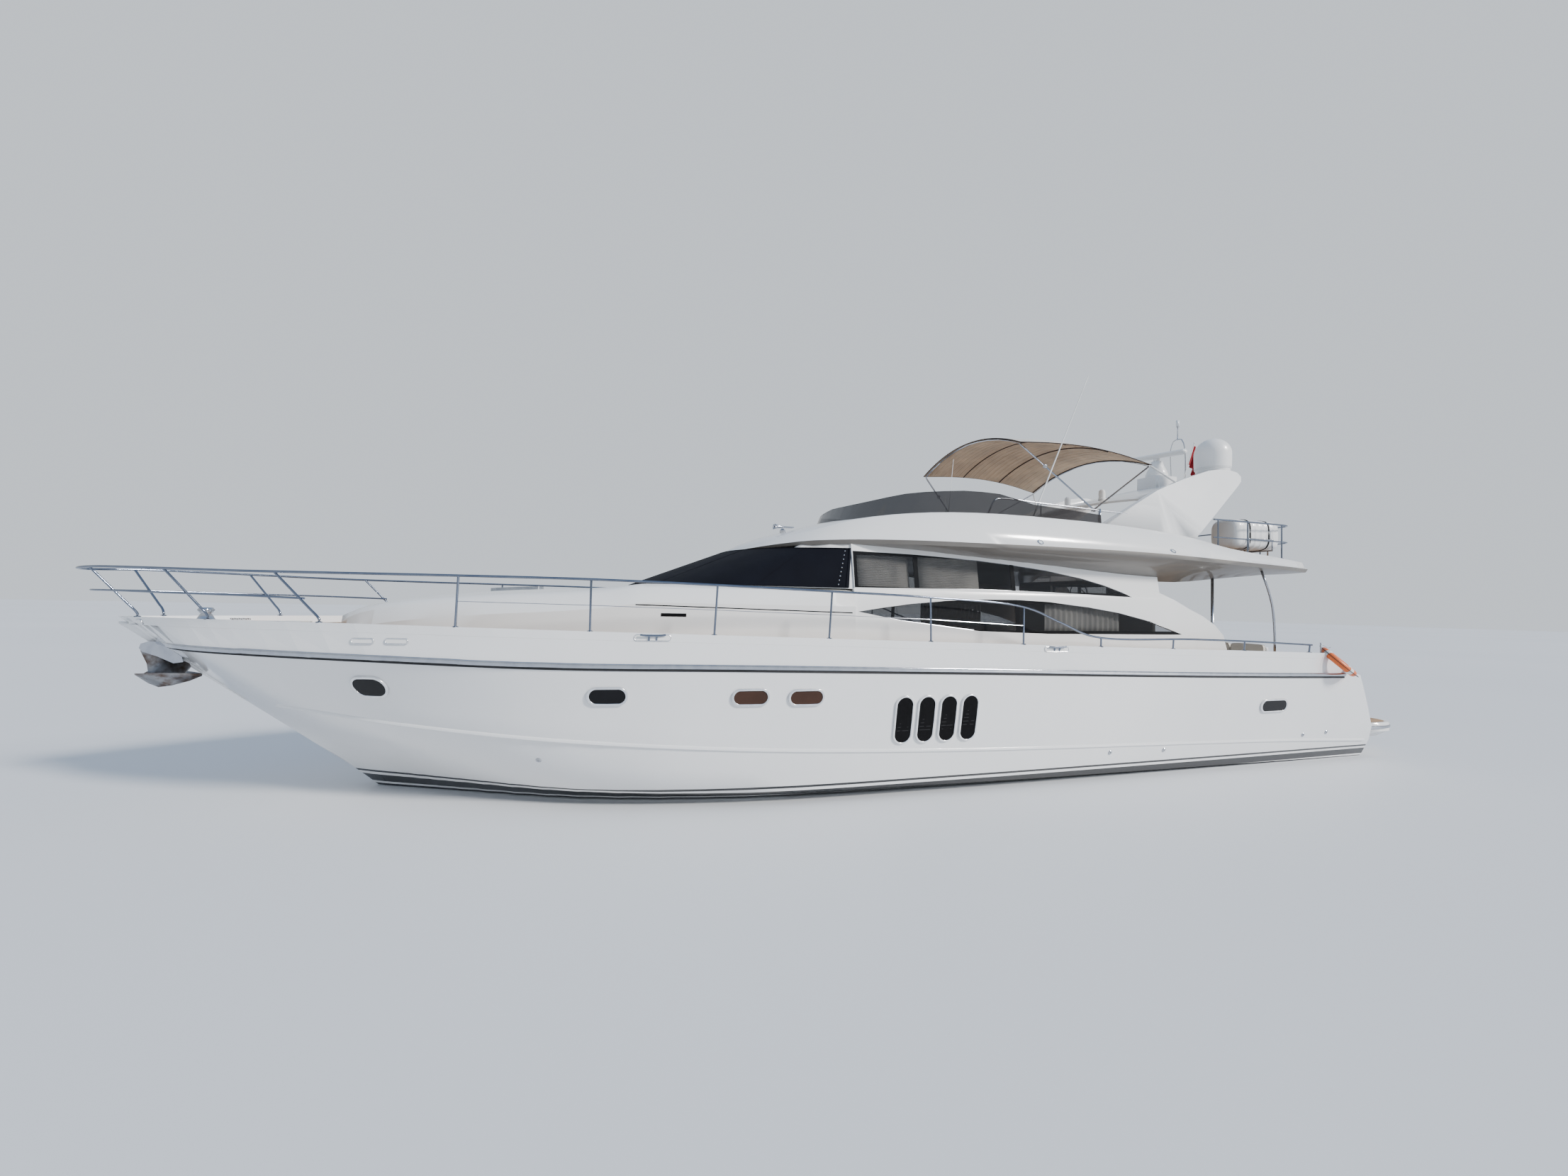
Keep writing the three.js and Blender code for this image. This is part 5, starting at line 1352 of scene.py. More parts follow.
@dataclass
class Rails:
    """The guard rail round the bow and along the side decks."""

    # The radius of the rail and of its posts, and the lines of its top and middle runs, from the bow aft.
    radius: float = 0.0155
    post_radius: float = 0.0135
    top: tuple[Point, ...] = (
        (10.44, 0, 2.88), (10.40, 0.20, 2.885), (10.15, 0.42, 2.90), (9.30, 0.93, 2.89), (8.30, 1.42, 2.87),
        (6.90, 1.90, 2.865), (5.90, 2.13, 2.865), (4.45, 2.36, 2.86), (2.96, 2.48, 2.83), (1.45, 2.50, 2.79),
        (0, 2.51, 2.745), (-1.54, 2.50, 2.64), (-2.20, 2.495, 2.42), (-2.80, 2.49, 2.22),
        (-4.78, 2.475, 2.18), (-6.0, 2.455, 2.15), (-7.65, 2.415, 2.085))
    middle: tuple[Point, ...] = (
        (10.33, 0, 2.62), (10.28, 0.17, 2.622), (9.95, 0.43, 2.62), (9.10, 0.96, 2.605), (8.20, 1.40, 2.59),
        (7.56, 1.61, 2.57))
    # Each post's foot and head along the boat.
    posts: tuple[Pair, ...] = (
        (5.92, 5.90), (4.45, 4.45), (2.985, 2.96), (1.48, 1.45), (-0.02, 0.0), (-1.54, -1.54), (-2.95, -2.95),
        (-4.40, -4.40), (-5.98, -5.98), (-7.60, -7.60))
    # The same for the raked legs at the bow.
    legs: tuple[Pair, ...] = ((9.77, 10.17), (8.75, 9.16), (7.40, 7.87))
    # Where the wire crosses the posts.
    wire: tuple[float, ...] = (5.91, 4.45, 2.97, 1.465, -0.01, -1.54)

    def build(self, hull: Hull) -> None:
        """Builds the rail.

        Args:
            hull: The hull that it stands on.
        """
        top = catmull(self.top, 10)
        middle = catmull(self.middle, 8)
        parts = [tube(self.whole(top), self.radius), tube(self.whole(middle), self.radius - 0.003)]
        one_side = []
        for foot_x, head_x in self.posts:
            foot, head = hull.rail_foot(foot_x), at_x(top, head_x)
            one_side.append(rod(foot, head, self.post_radius))
            one_side.append(self.base(foot))
        for foot_x, head_x in self.legs:
            foot, head = hull.rail_foot(foot_x), at_x(top, head_x)
            low = foot.lerp(head, 0.16) + Vector((-0.035, 0, 0.0))
            bend = [foot, foot + Vector((0.0, 0, 0.035)), low, foot.lerp(head, 0.24) + Vector((-0.03, 0, 0))]
            one_side.append(tube([*catmull(bend, 6), head], self.post_radius))
            one_side.append(self.base(foot))
        parts.append(both_sides(joined(one_side)))
        piece("guard_rail", joined(parts), Look.RAIL_PAINTED_REFLECTION, Slot.STAINLESS, instead_of=["bow_rail"], angle=50)
        run = []
        for x in self.wire:
            foot, head = hull.rail_foot(x), at_x(top, x)
            run.append(foot.lerp(head, 0.5))
        piece("guard_wire", both_sides(tube(run, 0.004, resolution=2)), Look.STEEL, Slot.STAINLESS)

    @staticmethod
    def whole(half: Sequence[Vector]) -> list[Vector]:
        """A line and its mirror image, from the starboard end round the bow."""
        return [Vector((q.x, -q.y, q.z)) for q in half[:0:-1]] + list(half)

    @staticmethod
    def base(foot: Vector) -> Mesh:
        """The flange under a post."""
        return stood(foot, [(0, 0.012), (0.02, 0.012), (0.034, 0.006), (0.036, -0.003), (0, -0.003)], 20)


@dataclass
class BowGear:
    """The anchor, its fitting on the stem, and the windlass with its chain."""

    # One link's length, how many show, and where the first one lies.
    link: float = 0.03
    links: int = 13
    lead: float = 9.02
    # The locker lid's reach along the boat, and its height, which the chain lies over.
    lid: Pair = (8.13, 8.93)
    lid_top: float = 2.262
    foot_switch: Pair = (9.3, 0.17)

    def build(self) -> None:
        """Dresses the ground tackle."""
        dressed("stem_fitting", Look.STEEL)
        dressed("anchor", Look.CAST)
        dressed("windlass", Look.STEEL, angle=50)
        deck = Skin("hull")
        around = np.linspace(0, math.tau, 13)[:-1]
        oval = [(0.5 * self.link * math.cos(a), 0, 0.4 * self.link * math.sin(a)) for a in around]
        chain = []
        for k in range(self.links):
            x = self.lead - k * self.link * 0.8
            on_lid = self.lid[0] < x < self.lid[1]
            hit = Vector((x, 0, self.lid_top)) if on_lid else deck.top(x, 0.0, 2.5)[0]
            centre = Matrix.Translation(hit + Vector((0, 0, 0.014)))
            spin = Matrix.Rotation(math.radians(45 if k % 2 else -45), 4, "X")
            chain.append(place(tube(oval, 0.004, closed=True, resolution=1), centre @ spin))
        piece("chain_on_deck", joined(chain), Look.CAST, Slot.STAINLESS)
        hit, _ = deck.top(*self.foot_switch, 2.5)
        pad = block(hit + Vector((-0.05, -0.03, -0.004)), hit + Vector((0.05, 0.03, 0.02)), 0.012)
        piece("foot_switch", pad, Look.BLACK, Slot.BLACK)


@dataclass
class House:
    """The coachroof, the deckhouse sides with their windows, and the covered windscreen."""

    # The groove round the coachroof and the vent in it, drawn as dark strips of painted shade: their reach
    # along the boat, and their heights.
    groove: Pair = (3.89, 0.95)
    groove_height: float = 2.57
    vent: Pair = (3.57, 3.25)
    vent_height: float = 2.445
    # Where the strip between windscreen and windows stands, and the bars in the upper and lower windows.
    strip_x: float = 0.9
    upper_bars: tuple[float, ...] = (-0.10, -1.77)
    lower_bars: tuple[float, ...] = (-1.80,)
    # Each blind's reach along the boat, and the height of its foot, its drop and its folds.
    blinds: tuple[Pair, ...] = ((-0.02, 0.85), (-1.20, -0.15))
    blind_foot: float = 2.84
    blind_drop: float = 0.58
    pleats: int = 46
    # The house's plan at the belt and at the eave, from the side to the middle of its front, as (x, y).
    base: tuple[Pair, ...] = (
        (-2.5, 1.98), (-0.5, 1.98), (0.9, 1.95), (1.7, 1.88), (2.6, 1.74), (3.25, 1.42), (3.65, 0.95),
        (3.83, 0.45), (3.88, 0))
    head: tuple[Pair, ...] = (
        (-2.5, 1.87), (-0.5, 1.865), (0.86, 1.82), (1.15, 1.70), (1.5, 1.48), (1.83, 1.12), (2.03, 0.72),
        (2.13, 0.35), (2.16, 0))
    # How far round the windscreen the cover reaches, of 1, and where its seams run.
    cover_reach: float = 0.985
    cover_seams: tuple[float, ...] = (-0.72, -0.36, 0.0, 0.36, 0.72)
    belt: float = 2.85
    eave: float = 3.52

    def build(self) -> None:
        """Dresses the house."""
        self.coachroof()
        for side, sign in (("port", 1.0), ("starboard", -1.0)):
            lining = [Look.WHITE, Look.LINING]
            dressed(f"deckhouse_side_{side}", lining, lambda f, s=sign: int(f.normal.y * s < -0.5))
            self.pane(f"upper_window_{side}", sign, self.upper_bars)
            self.pane(f"lower_window_{side}", sign, self.lower_bars)
        self.shades()
        dressed("windscreen_surround", Look.WHITE)
        dressed("windscreen_glass", Look.GLASS)
        self.cover()
        self.chrome_strip()

    def coachroof(self) -> None:
        """Copies the coachroof, lays non-slip panels on it, paints the shade of its groove and vent as dark
        strips, and adds its hatch.
        """
        bm = cad_mesh("coachroof")
        inlay(bm, [f for f in bm.faces if f.normal.z > 0.93 and 2.4 < f.calc_center_median().z], 0.07)
        piece("coachroof_finished", bm, [Look.WHITE, Look.GRIP], Slot.GELCOAT, instead_of=["coachroof"],
              angle=30, tidy=False)
        skin = Skin("coachroof")
        groove = []
        for x in np.linspace(*self.groove, 25):
            z = self.groove_height - 0.02 * (self.groove[0] - float(x))
            groove.append(skin.off(float(x), z, 0.0005))
        slot = [skin.off(float(x), self.vent_height, 0.001) for x in np.linspace(*self.vent, 6)]
        # The groove and the vent are dark strips of painted shade.
        piece("coachroof_groove_shade", both_sides(tube(groove, 0.003, flat=0.004)), Look.PAINTED_RECESS_SHADE, Slot.BLACK)
        piece("coachroof_vent_shade", both_sides(tube(slot, 0.006, flat=0.016)), Look.PAINTED_RECESS_SHADE, Slot.BLACK)
        dressed("foredeck_hatch", [Look.STEEL, Look.ACRYLIC], self.hatch_face)
        dressed("anchor_locker_lid", Look.GRIP)

    @staticmethod
    def hatch_face(face: Face) -> int:
        """Gives the hatch's middle its pane and leaves the frame round it."""
        return int(face.normal.z > 0.9)

    def pane(
        self, node: str, sign: float, bars: Sequence[float], band: float = 0.05, half_bar: float = 0.035
    ) -> None:
        """A window: glass with a black border, black bars and a thin bright outline.

        Args:
            node: The CAD node of the pane.
            sign: 1 for port, -1 for starboard.
            bars: Where the bars stand along the boat.
            band: The border's width.
            half_bar: Half a bar's width.
        """
        bm = cad_mesh(node)
        bm.normal_update()
        bmesh.ops.delete(bm, geom=[f for f in bm.faces if f.normal.y * sign < 0.5], context="FACES")
        for x in bars:
            self.cut(bm, (x - half_bar, 0, 0), (1, 0, 0))
            self.cut(bm, (x + half_bar, 0, 0), (1, 0, 0))
        outline = self.loop(bm)
        ends = (min(q.x for q in outline) + band, max(q.x for q in outline) - band)
        levels = (min(q.z for q in outline) + band, max(q.z for q in outline) - band)
        for x in ends:
            self.cut(bm, (x, 0, 0), (1, 0, 0))
        for z in levels:
            self.cut(bm, (0, 0, z), (0, 0, 1))
        for face in bm.faces:
            c = face.calc_center_median()
            border = not (ends[0] < c.x < ends[1] and levels[0] < c.z < levels[1])
            face.material_index = int(border or any(abs(c.x - b) < half_bar for b in bars))
        bmesh.ops.solidify(bm, geom=bm.faces[:], thickness=-0.010)
        piece(f"{node}_glazed", bm, [Look.GLASS, Look.FRIT], Slot.GLASS, instead_of=[node], tidy=False)
        rim = tube(outline, 0.007, closed=True, resolution=2)
        piece(f"{node}_outline", rim, Look.STEEL, Slot.STAINLESS)

    @staticmethod
    def cut(bm: Mesh, spot: Point, across: Point) -> None:
        """Cuts every face that crosses a plane."""
        everything = bm.verts[:] + bm.edges[:] + bm.faces[:]
        bmesh.ops.bisect_plane(bm, geom=everything, plane_co=spot, plane_no=across)

    @staticmethod
    def loop(bm: Mesh) -> list[Vector]:
        """The outer edge of an open mesh, in order.

        Args:
            bm: The mesh.

        Returns:
            The edge's points.
        """
        edges = [e for e in bm.edges if e.is_boundary]
        links: dict[bmesh.types.BMVert, list[bmesh.types.BMVert]] = {}
        for edge in edges:
            a, b = edge.verts
            links.setdefault(a, []).append(b)
            links.setdefault(b, []).append(a)
        first = edges[0].verts[0]
        path, last, here = [first.co.copy()], None, first
        while True:
            after = [v for v in links[here] if v is not last]
            last, here = here, after[0]
            if here is first or len(path) > len(edges):
                return path
            path.append(here.co.copy())

    def wall(self, x: float, z: float) -> float:
        """Half the breadth of the deckhouse at x and z, over the belt.

        Args:
            x: The place along the boat.
            z: The height.

        Returns:
            The half breadth.
        """
        low = at_x([Vector((a, b, 0)) for a, b in self.base], x).y
        high = at_x([Vector((a, b, 0)) for a, b in self.head], x).y
        return low + (high - low) * (z - self.belt) / (self.eave - self.belt)

    def shades(self) -> None:
        """Hangs pleated blinds inside the upper windows, and a curtain inside the lower ones."""
        parts = []
        for x0, x1 in self.blinds:
            bm = bmesh.new()
            bmesh.ops.create_grid(bm, x_segments=4, y_segments=self.pleats, size=0.5)
            for v in bm.verts:
                z = self.blind_foot + (v.co.y + 0.5) * self.blind_drop
                fold = 0.006 * (1 if round((v.co.y + 0.5) * self.pleats) % 2 else -1)
                x = x0 + (v.co.x + 0.5) * (x1 - x0)
                v.co = (x, self.wall(x, z) - 0.075 + fold, z)
            parts.append(bm)
        low = bmesh.new()
        bmesh.ops.create_grid(low, x_segments=60, y_segments=4, size=0.5)
        for v in low.verts:
            x, z = -3.9 + (v.co.x + 0.5) * 1.5, 2.24 + (v.co.y + 0.5) * 0.46
            v.co = (x, 1.905 + 0.012 * math.sin(x * 60), z)
        parts.append(low)
        blinds = both_sides(joined(parts))
        thicken(piece("window_blinds", blinds, Look.BLIND, Slot.CANVAS, angle=80), 0.002)

    def cover_point(self, u: float, v: float, out: float) -> Vector:
        """A point on the windscreen's cover.

        Args:
            u: From -1 on the starboard side through 0 at the front to 1 to port.
            v: From 0 at the foot to 1 at the head.
            out: How far it stands off the glass.

        Returns:
            The point.
        """
        t = 0.015 + v * 0.86
        low, high = self.front(self.base, abs(u)), self.front(self.head, abs(u))
        q = low.lerp(high, t)
        after, before = min(abs(u) + 0.01, 1), max(abs(u) - 0.01, 0)
        near = self.front(self.base, after).lerp(self.front(self.head, after), t)
        back = self.front(self.base, before).lerp(self.front(self.head, before), t)
        along = (near - back).normalized()
        outward = Vector((-along.y, along.x, 0))
        if outward.dot(Vector((1, 1, 0))) < 0:
            outward = -outward
        q = q + outward * out
        return Vector((q.x, q.y * (1 if u >= 0 else -1), self.belt + (self.eave - self.belt) * t))

    @staticmethod
    def front(line: Sequence[Pair], u: float) -> Vector:
        """A point of a plan curve forward of the chrome strip, u from 0 at the centre to 1.

        Args:
            line: The curve's points.
            u: The place on it.

        Returns:
            The point.
        """
        points = catmull([(x, y, 0) for x, y in line[2:]], 8)[::-1]
        k = min(u, 0.9999) * (len(points) - 1)
        i = int(k)
        return points[i].lerp(points[min(i + 1, len(points) - 1)], k - i)

    def cover(self) -> None:
        """Makes the dark cover that is laced over the windscreen, with its folds and hems."""
        bm = bmesh.new()
        bmesh.ops.create_grid(bm, x_segments=150, y_segments=24, size=0.5)
        for vert in bm.verts:
            u, v = vert.co.x * 2, vert.co.y + 0.5
            edge = min(v, 1 - v, (1 - abs(u)) * 4)
            slack = 0.006 * min(1.0, edge * 5)
            folds = math.sin(u * 31 + math.sin(v * 5) * 1.4) * 0.55
            folds += math.sin(u * 67 + v * 9) * 0.3 + math.sin(v * 14 + u * 11) * 0.25
            vert.co = self.cover_point(u * self.cover_reach, v, 0.010 + slack * (1 + folds))
        bmesh.ops.recalc_face_normals(bm, faces=bm.faces)
        area = sum(f.calc_area() for f in bm.faces)
        waist = np.linspace(-self.cover_reach, self.cover_reach, 120)
        length = run_length([self.cover_point(float(u), 0.5, 0.01) for u in waist])
        obj = piece(
            "windscreen_cloth", bm, Look.COVER, Slot.COVER, instead_of=["windscreen_cover"], angle=80)
        thicken(obj, 0.003)
        hems = []
        for v in (0.012, 0.988):
            path = [self.cover_point(float(u), v, 0.016) for u in np.linspace(-0.98, 0.98, 110)]
            hems.append(tube(path, 0.006, resolution=2))
        for u in (0.975, -0.975):
            path = [self.cover_point(u, float(v), 0.014) for v in np.linspace(0.01, 0.99, 14)]
            hems.append(tube(path, 0.006, resolution=2))
        for u in self.cover_seams:
            path = [self.cover_point(u, float(v), 0.018) for v in np.linspace(0.02, 0.98, 18)]
            hems.append(tube(path, 0.003, resolution=1))
        hem = piece("cover_hems", joined(hems), Look.COVER, Slot.COVER)
        studs = []
        for sign in SIDES:
            for v in np.linspace(0.08, 0.92, 9):
                q = self.cover_point(0.95 * sign, float(v), 0.019)
                stud = turned([(0, 0.006), (0.006, 0.005), (0.011, 0.0), (0, -0.002)], 12)
                studs.append(place(stud, facing(q, Vector((0.1, sign, 0.1)))))
        eyes = piece("cover_eyelets", joined(studs), Look.STEEL, Slot.STAINLESS)

    def chrome_strip(self) -> None:
        """Runs a bright strip down the join between the windscreen's surround and the side."""
        line = [(self.strip_x, self.wall(self.strip_x, z) + 0.004, z) for z in np.linspace(2.86, 3.41, 8)]
        piece("surround_strip", both_sides(tube(line, 0.012, resolution=2)), Look.STEEL, Slot.STAINLESS)


@dataclass
class Saloon:
    """What shows inside the house: sole, sofa, dash, galley and the glazed doors."""

    joinery: tuple[Box, ...] = (
        ((-3.9, 0.92, 1.251), (-1.3, 1.7, 1.52), 0.02), ((-4.3, 1.5, 1.251), (2.2, 1.7, 1.37), 0.01),
        ((1.3, -1.7, 1.251), (2.5, 1.7, 2.14), 0.05), ((1.72, -1.68, 2.1), (2.48, 1.68, 2.76), 0.06),
        ((-3.6, -1.7, 1.251), (1.5, -1.25, 2.02), 0.03))
    worktops: tuple[Box, ...] = (
        ((-3.62, -1.7, 2.02), (1.5, -1.23, 2.05), 0.01), ((1.3, -1.7, 2.14), (1.72, 1.7, 2.15), 0.004))
    # The glass of each leaf: its reach across the boat and its reach up.
    fixed_glass: tuple[Pair, Pair] = ((0.06, 0.69), (1.35, 3.06))
    door_glass: tuple[Pair, Pair] = ((-0.71, -0.05), (1.31, 3.08))
    handle: tuple[Point, ...] = (
        (-4.888, -0.66, 2.1), (-4.922, -0.66, 2.13), (-4.922, -0.66, 2.3), (-4.922, -0.66, 2.47),
        (-4.888, -0.66, 2.5))

    def build(self) -> None:
        """Builds the inside."""
        joinery = joined(block(*box) for box in self.joinery)
        piece("saloon_joinery", joinery, Look.JOINERY, Slot.UPHOLSTERY, instead_of=["saloon_furniture"])
        piece("saloon_worktops", joined(block(*box) for box in self.worktops), Look.BLACK, Slot.BLACK)
        cushions(("sofa_seat", "sofa_back"), (
            ((-3.88, 0.93, 1.52), (-3.04, 1.50, 1.68), 0.02),
            ((-3.88, 1.47, 1.66), (-3.04, 1.66, 2.06), 0.02)), (0.86, 0, 0), 3)
        leaf = [Look.STEEL, Look.GLASS]
        dressed("saloon_fixed_pane", leaf, self.glazed(*self.fixed_glass))
        dressed("saloon_door", leaf, self.glazed(*self.door_glass))
        dressed("saloon_bulkhead", [Look.WHITE, Look.LINING], lambda f: int(f.normal.x > 0.5))
        piece("door_handle", tube(catmull(self.handle, 5), 0.009), Look.STEEL, Slot.STAINLESS, "door_leaf")

    @staticmethod
    def glazed(y: Pair, z: Pair) -> Callable[[Face], int]:
        """Picks the faces of a leaf that are glass.

        Args:
            y: The glass's reach across the boat.
            z: Its reach up.

        Returns:
            What gives each face its material index.
        """

        def choose(face: Face) -> int:
            """1 for a face of the glass, and 0 for the frame round it."""
            c = face.calc_center_median()
            return int(abs(face.normal.x) > 0.9 and y[0] < c.y < y[1] and z[0] < c.z < z[1])

        return choose


def cushion(
    name: str, low: Point, high: Point, crown: float, upright: bool = False, channels: int = 0
) -> None:
    """A padded cushion with crowned faces, sides that pull in between its corners, and piped seams.

    Args:
        name: The piece's name.
        low: The lowest corner of the space that it fills.
        high: The highest corner.
        crown: How far its face swells.
        upright: Whether it is a back cushion, whose face is upright.
        channels: How many sewn channels cross its face.
    """
    a, b = Vector(low), Vector(high)
    centre, half = (a + b) / 2, (b - a) / 2
    thin = 2 if not upright else (0 if half.x < half.y else 1)
    flat = [k for k in range(3) if k != thin]

    def shaped(p: Vector) -> Vector:
        """Shapes a point of a cube, whose sides reach from -1 to 1, to the cushion.

        Args:
            p: The point.

        Returns:
            Its place on the cushion.
        """
        u, v, w = p[flat[0]], p[flat[1]], p[thin]
        round_u, round_v = math.sqrt(1 - 0.16 * v**4), math.sqrt(1 - 0.16 * u**4)
        fall = max(abs(u), abs(v)) ** 6
        swell = (1 - u * u) * (1 - v * v)
        q = Vector((0, 0, 0))
        q[flat[0]] = u * half[flat[0]] * round_u * (1 - 0.02 * (1 - v * v) * abs(u))
        q[flat[1]] = v * half[flat[1]] * round_v * (1 - 0.02 * (1 - u * u) * abs(v))
        groove = 0.006 * max(0.0, math.cos(u * math.pi * (channels + 1))) ** 12 if channels else 0.0
        lift = crown * swell if w > 0 or upright else 0.0
        side = 1 if w > 0 else -1
        q[thin] = w * (half[thin] - crown) * (1 - 0.22 * fall) + (lift - groove) * side * abs(w)
        return centre + q

    bm = bmesh.new()
    bmesh.ops.create_cube(bm, size=2)
    bmesh.ops.subdivide_edges(bm, edges=bm.edges[:], cuts=9, use_grid_fill=True)
    for vert in bm.verts:
        vert.co = shaped(vert.co.copy())
    obj = piece(name, bm, Look.VINYL, Slot.UPHOLSTERY, angle=180)
    smooth = obj.modifiers.new("smooth", "SUBSURF")
    smooth.levels = smooth.render_levels = 1
    pipes = []
    for w in (0.93, -0.93):
        ring = []
        for k in range(48):
            t = math.tau * k / 48
            c, s = math.cos(t), math.sin(t)
            m = max(abs(c), abs(s))
            p = Vector((0, 0, 0))
            p[flat[0]], p[flat[1]], p[thin] = c / m, s / m, w
            ring.append(shaped(p))
        pipes.append(tube(ring, 0.005, closed=True, resolution=1))
    piece(f"{name}_piping", joined(pipes), Look.VINYL, Slot.UPHOLSTERY)


def cushions(
    names: tuple[str, str], boxes: tuple[Box, Box], step: Point, count: int, channels: int = 0
) -> None:
    """A row of seat cushions with back cushions behind them, numbered from 1.

    Args:
        names: What the seats are called, and the backs.
        boxes: The first seat and the first back, each with its crown.
        step: From one cushion to the next.
        count: How many of each.
        channels: How many sewn channels cross a seat.
    """
    for k in range(count):
        for name, (low, high, crown), upright in zip(names, boxes, (False, True)):
            low_here, high_here = (tuple(c + k * d for c, d in zip(q, step)) for q in (low, high))
            cushion(f"{name}_{k + 1}", low_here, high_here, crown, upright=upright,
                    channels=0 if upright else channels)


@dataclass
class Cockpit:
    """The cockpit, the transom and the bathing platform."""

    seat_base: tuple[Box, ...] = (
        ((-8.54, -1.04, 1.251), (-7.97, 1.04, 1.56), 0.03),
        ((-8.58, -1.05, 1.251), (-8.50, 1.05, 1.95), 0.03))
    # The fender's line on the platform's edge, from the transom aft and in to the middle.
    fender: tuple[Point, ...] = (
        (-9.47, 2.185, 0.52), (-10.02, 2.185, 0.52), (-10.30, 2.08, 0.52), (-10.44, 1.80, 0.52),
        (-10.46, 1.4, 0.52), (-10.46, 0, 0.52))
    # The stair's hand rail, from its foot up.
    stair_line: tuple[Point, ...] = (
        (-6.70, -1.02, 1.55), (-6.72, -1.01, 2.05), (-6.55, -1.01, 2.35), (-5.75, -1.01, 3.12),
        (-5.60, -1.01, 3.13), (-5.55, -1.02, 2.98))
    # The lifebuoy: its middle, the way it faces, the radius of its ring and of the ring's section.
    buoy: Point = (-8.28, 2.44, 1.79)
    buoy_outward: Point = (-0.377, 0.597, 0.707)
    buoy_radius: float = 0.27
    buoy_tube: float = 0.055
    locker_lid: Box = ((-7.55, 1.885, 1.72), (-6.9, 1.905, 1.86), 0.008)

    def build(self) -> None:
        """Builds the after end of the boat."""
        self.platform()
        for side in ("port", "starboard"):
            dressed(f"transom_gate_{side}", Look.WHITE)
            dressed(f"overhang_post_{side}", Look.STEEL, angle=80)
            dressed(f"overhang_strut_{side}", Look.STEEL, angle=80)
        dressed("lazarette_lid", Look.TEAK)
        dressed("cockpit_table", [Look.TEAK, Look.STEEL], lambda f: int(f.calc_center_median().z < 1.93))
        base = joined(block(*box) for box in self.seat_base)
        piece("cockpit_seat_base", base, Look.WHITE, Slot.GELCOAT, instead_of=["cockpit_seat"])
        cushions(("cockpit_seat_cushion", "cockpit_back_cushion"), (
            ((-8.44, -1.04, 1.56), (-7.96, -0.36, 1.68), 0.015),
            ((-8.52, -1.04, 1.66), (-8.42, -0.36, 2.00), 0.012)), (0, 0.70, 0), 3)
        dressed("fly_stairs", [Look.WHITE, Look.TEAK], lambda f: int(f.normal.z > 0.9))
        hand_rail = tube(catmull(self.stair_line, 8), 0.014)
        piece("stair_hand_rail", hand_rail, Look.STEEL, Slot.STAINLESS)
        self.lifebuoy()
        # A white locker lid in each side of the coaming.
        piece("coaming_panel", both_sides(block(*self.locker_lid)), Look.WHITE_PLASTIC, Slot.GELCOAT)

    def platform(self) -> None:
        """Lays teak on the bathing platform, inside a white margin, and runs a fender round it."""
        bm = cad_mesh("bathing_platform")
        inlay(bm, [f for f in bm.faces if f.normal.z > 0.98], 0.05)
        piece("bathing_platform_finished", bm, [Look.WHITE, Look.TEAK], Slot.GELCOAT,
              instead_of=["bathing_platform"], tidy=False)
        line = there_and_back(catmull(self.fender, 10))
        piece("platform_fender", tube(line, 0.016, flat=0.012), Look.STEEL, Slot.STAINLESS)

    def lifebuoy(self) -> None:
        """Hangs an orange lifebuoy with white bands and a grab line on the port quarter."""
        circle = arc(self.buoy_radius, 0, math.tau, 65)[:-1]
        parts = [tube(circle, self.buoy_tube, closed=True, resolution=6)]
        for k in range(4):
            middle = math.radians(45 + 90 * k)
            bend = arc(self.buoy_radius, middle - 0.13, middle + 0.13, 9)
            band = tube(bend, self.buoy_tube + 0.003, resolution=6)
            for face in band.faces:
                face.material_index = 1
            parts.append(band)
        rope = []
        for t in np.linspace(0, math.tau, 97)[:-1]:
            bulge = 0.045 * abs(math.sin(2 * (t - math.radians(45))))
            r = self.buoy_radius + self.buoy_tube + 0.004 + bulge * 0.8
            rope.append(Vector((r * math.cos(t), r * math.sin(t), 0.01)))
        line = tube(rope, 0.005, closed=True, resolution=2)
        for face in line.faces:
            face.material_index = 2
        whole = joined([*parts, line])
        place(whole, facing(Vector(self.buoy), Vector(self.buoy_outward)))
        piece("lifebuoy", whole, [Look.ORANGE, Look.WHITE_PLASTIC, Look.BLACK], Slot.BLACK)
        x, y, z = self.buoy
        arm = [(x + 0.26, y - 0.10, z + 0.30), (x + 0.16, y - 0.06, z + 0.24), (x + 0.08, y - 0.07, z + 0.25)]
        post = rod((x + 0.27, y - 0.11, z - 0.02), (x + 0.27, y - 0.11, z + 0.33), 0.012)
        hooks = [tube(catmull(arm, 6), 0.005, resolution=2), post]
        piece("lifebuoy_hooks", joined(hooks), Look.STEEL, Slot.STAINLESS)


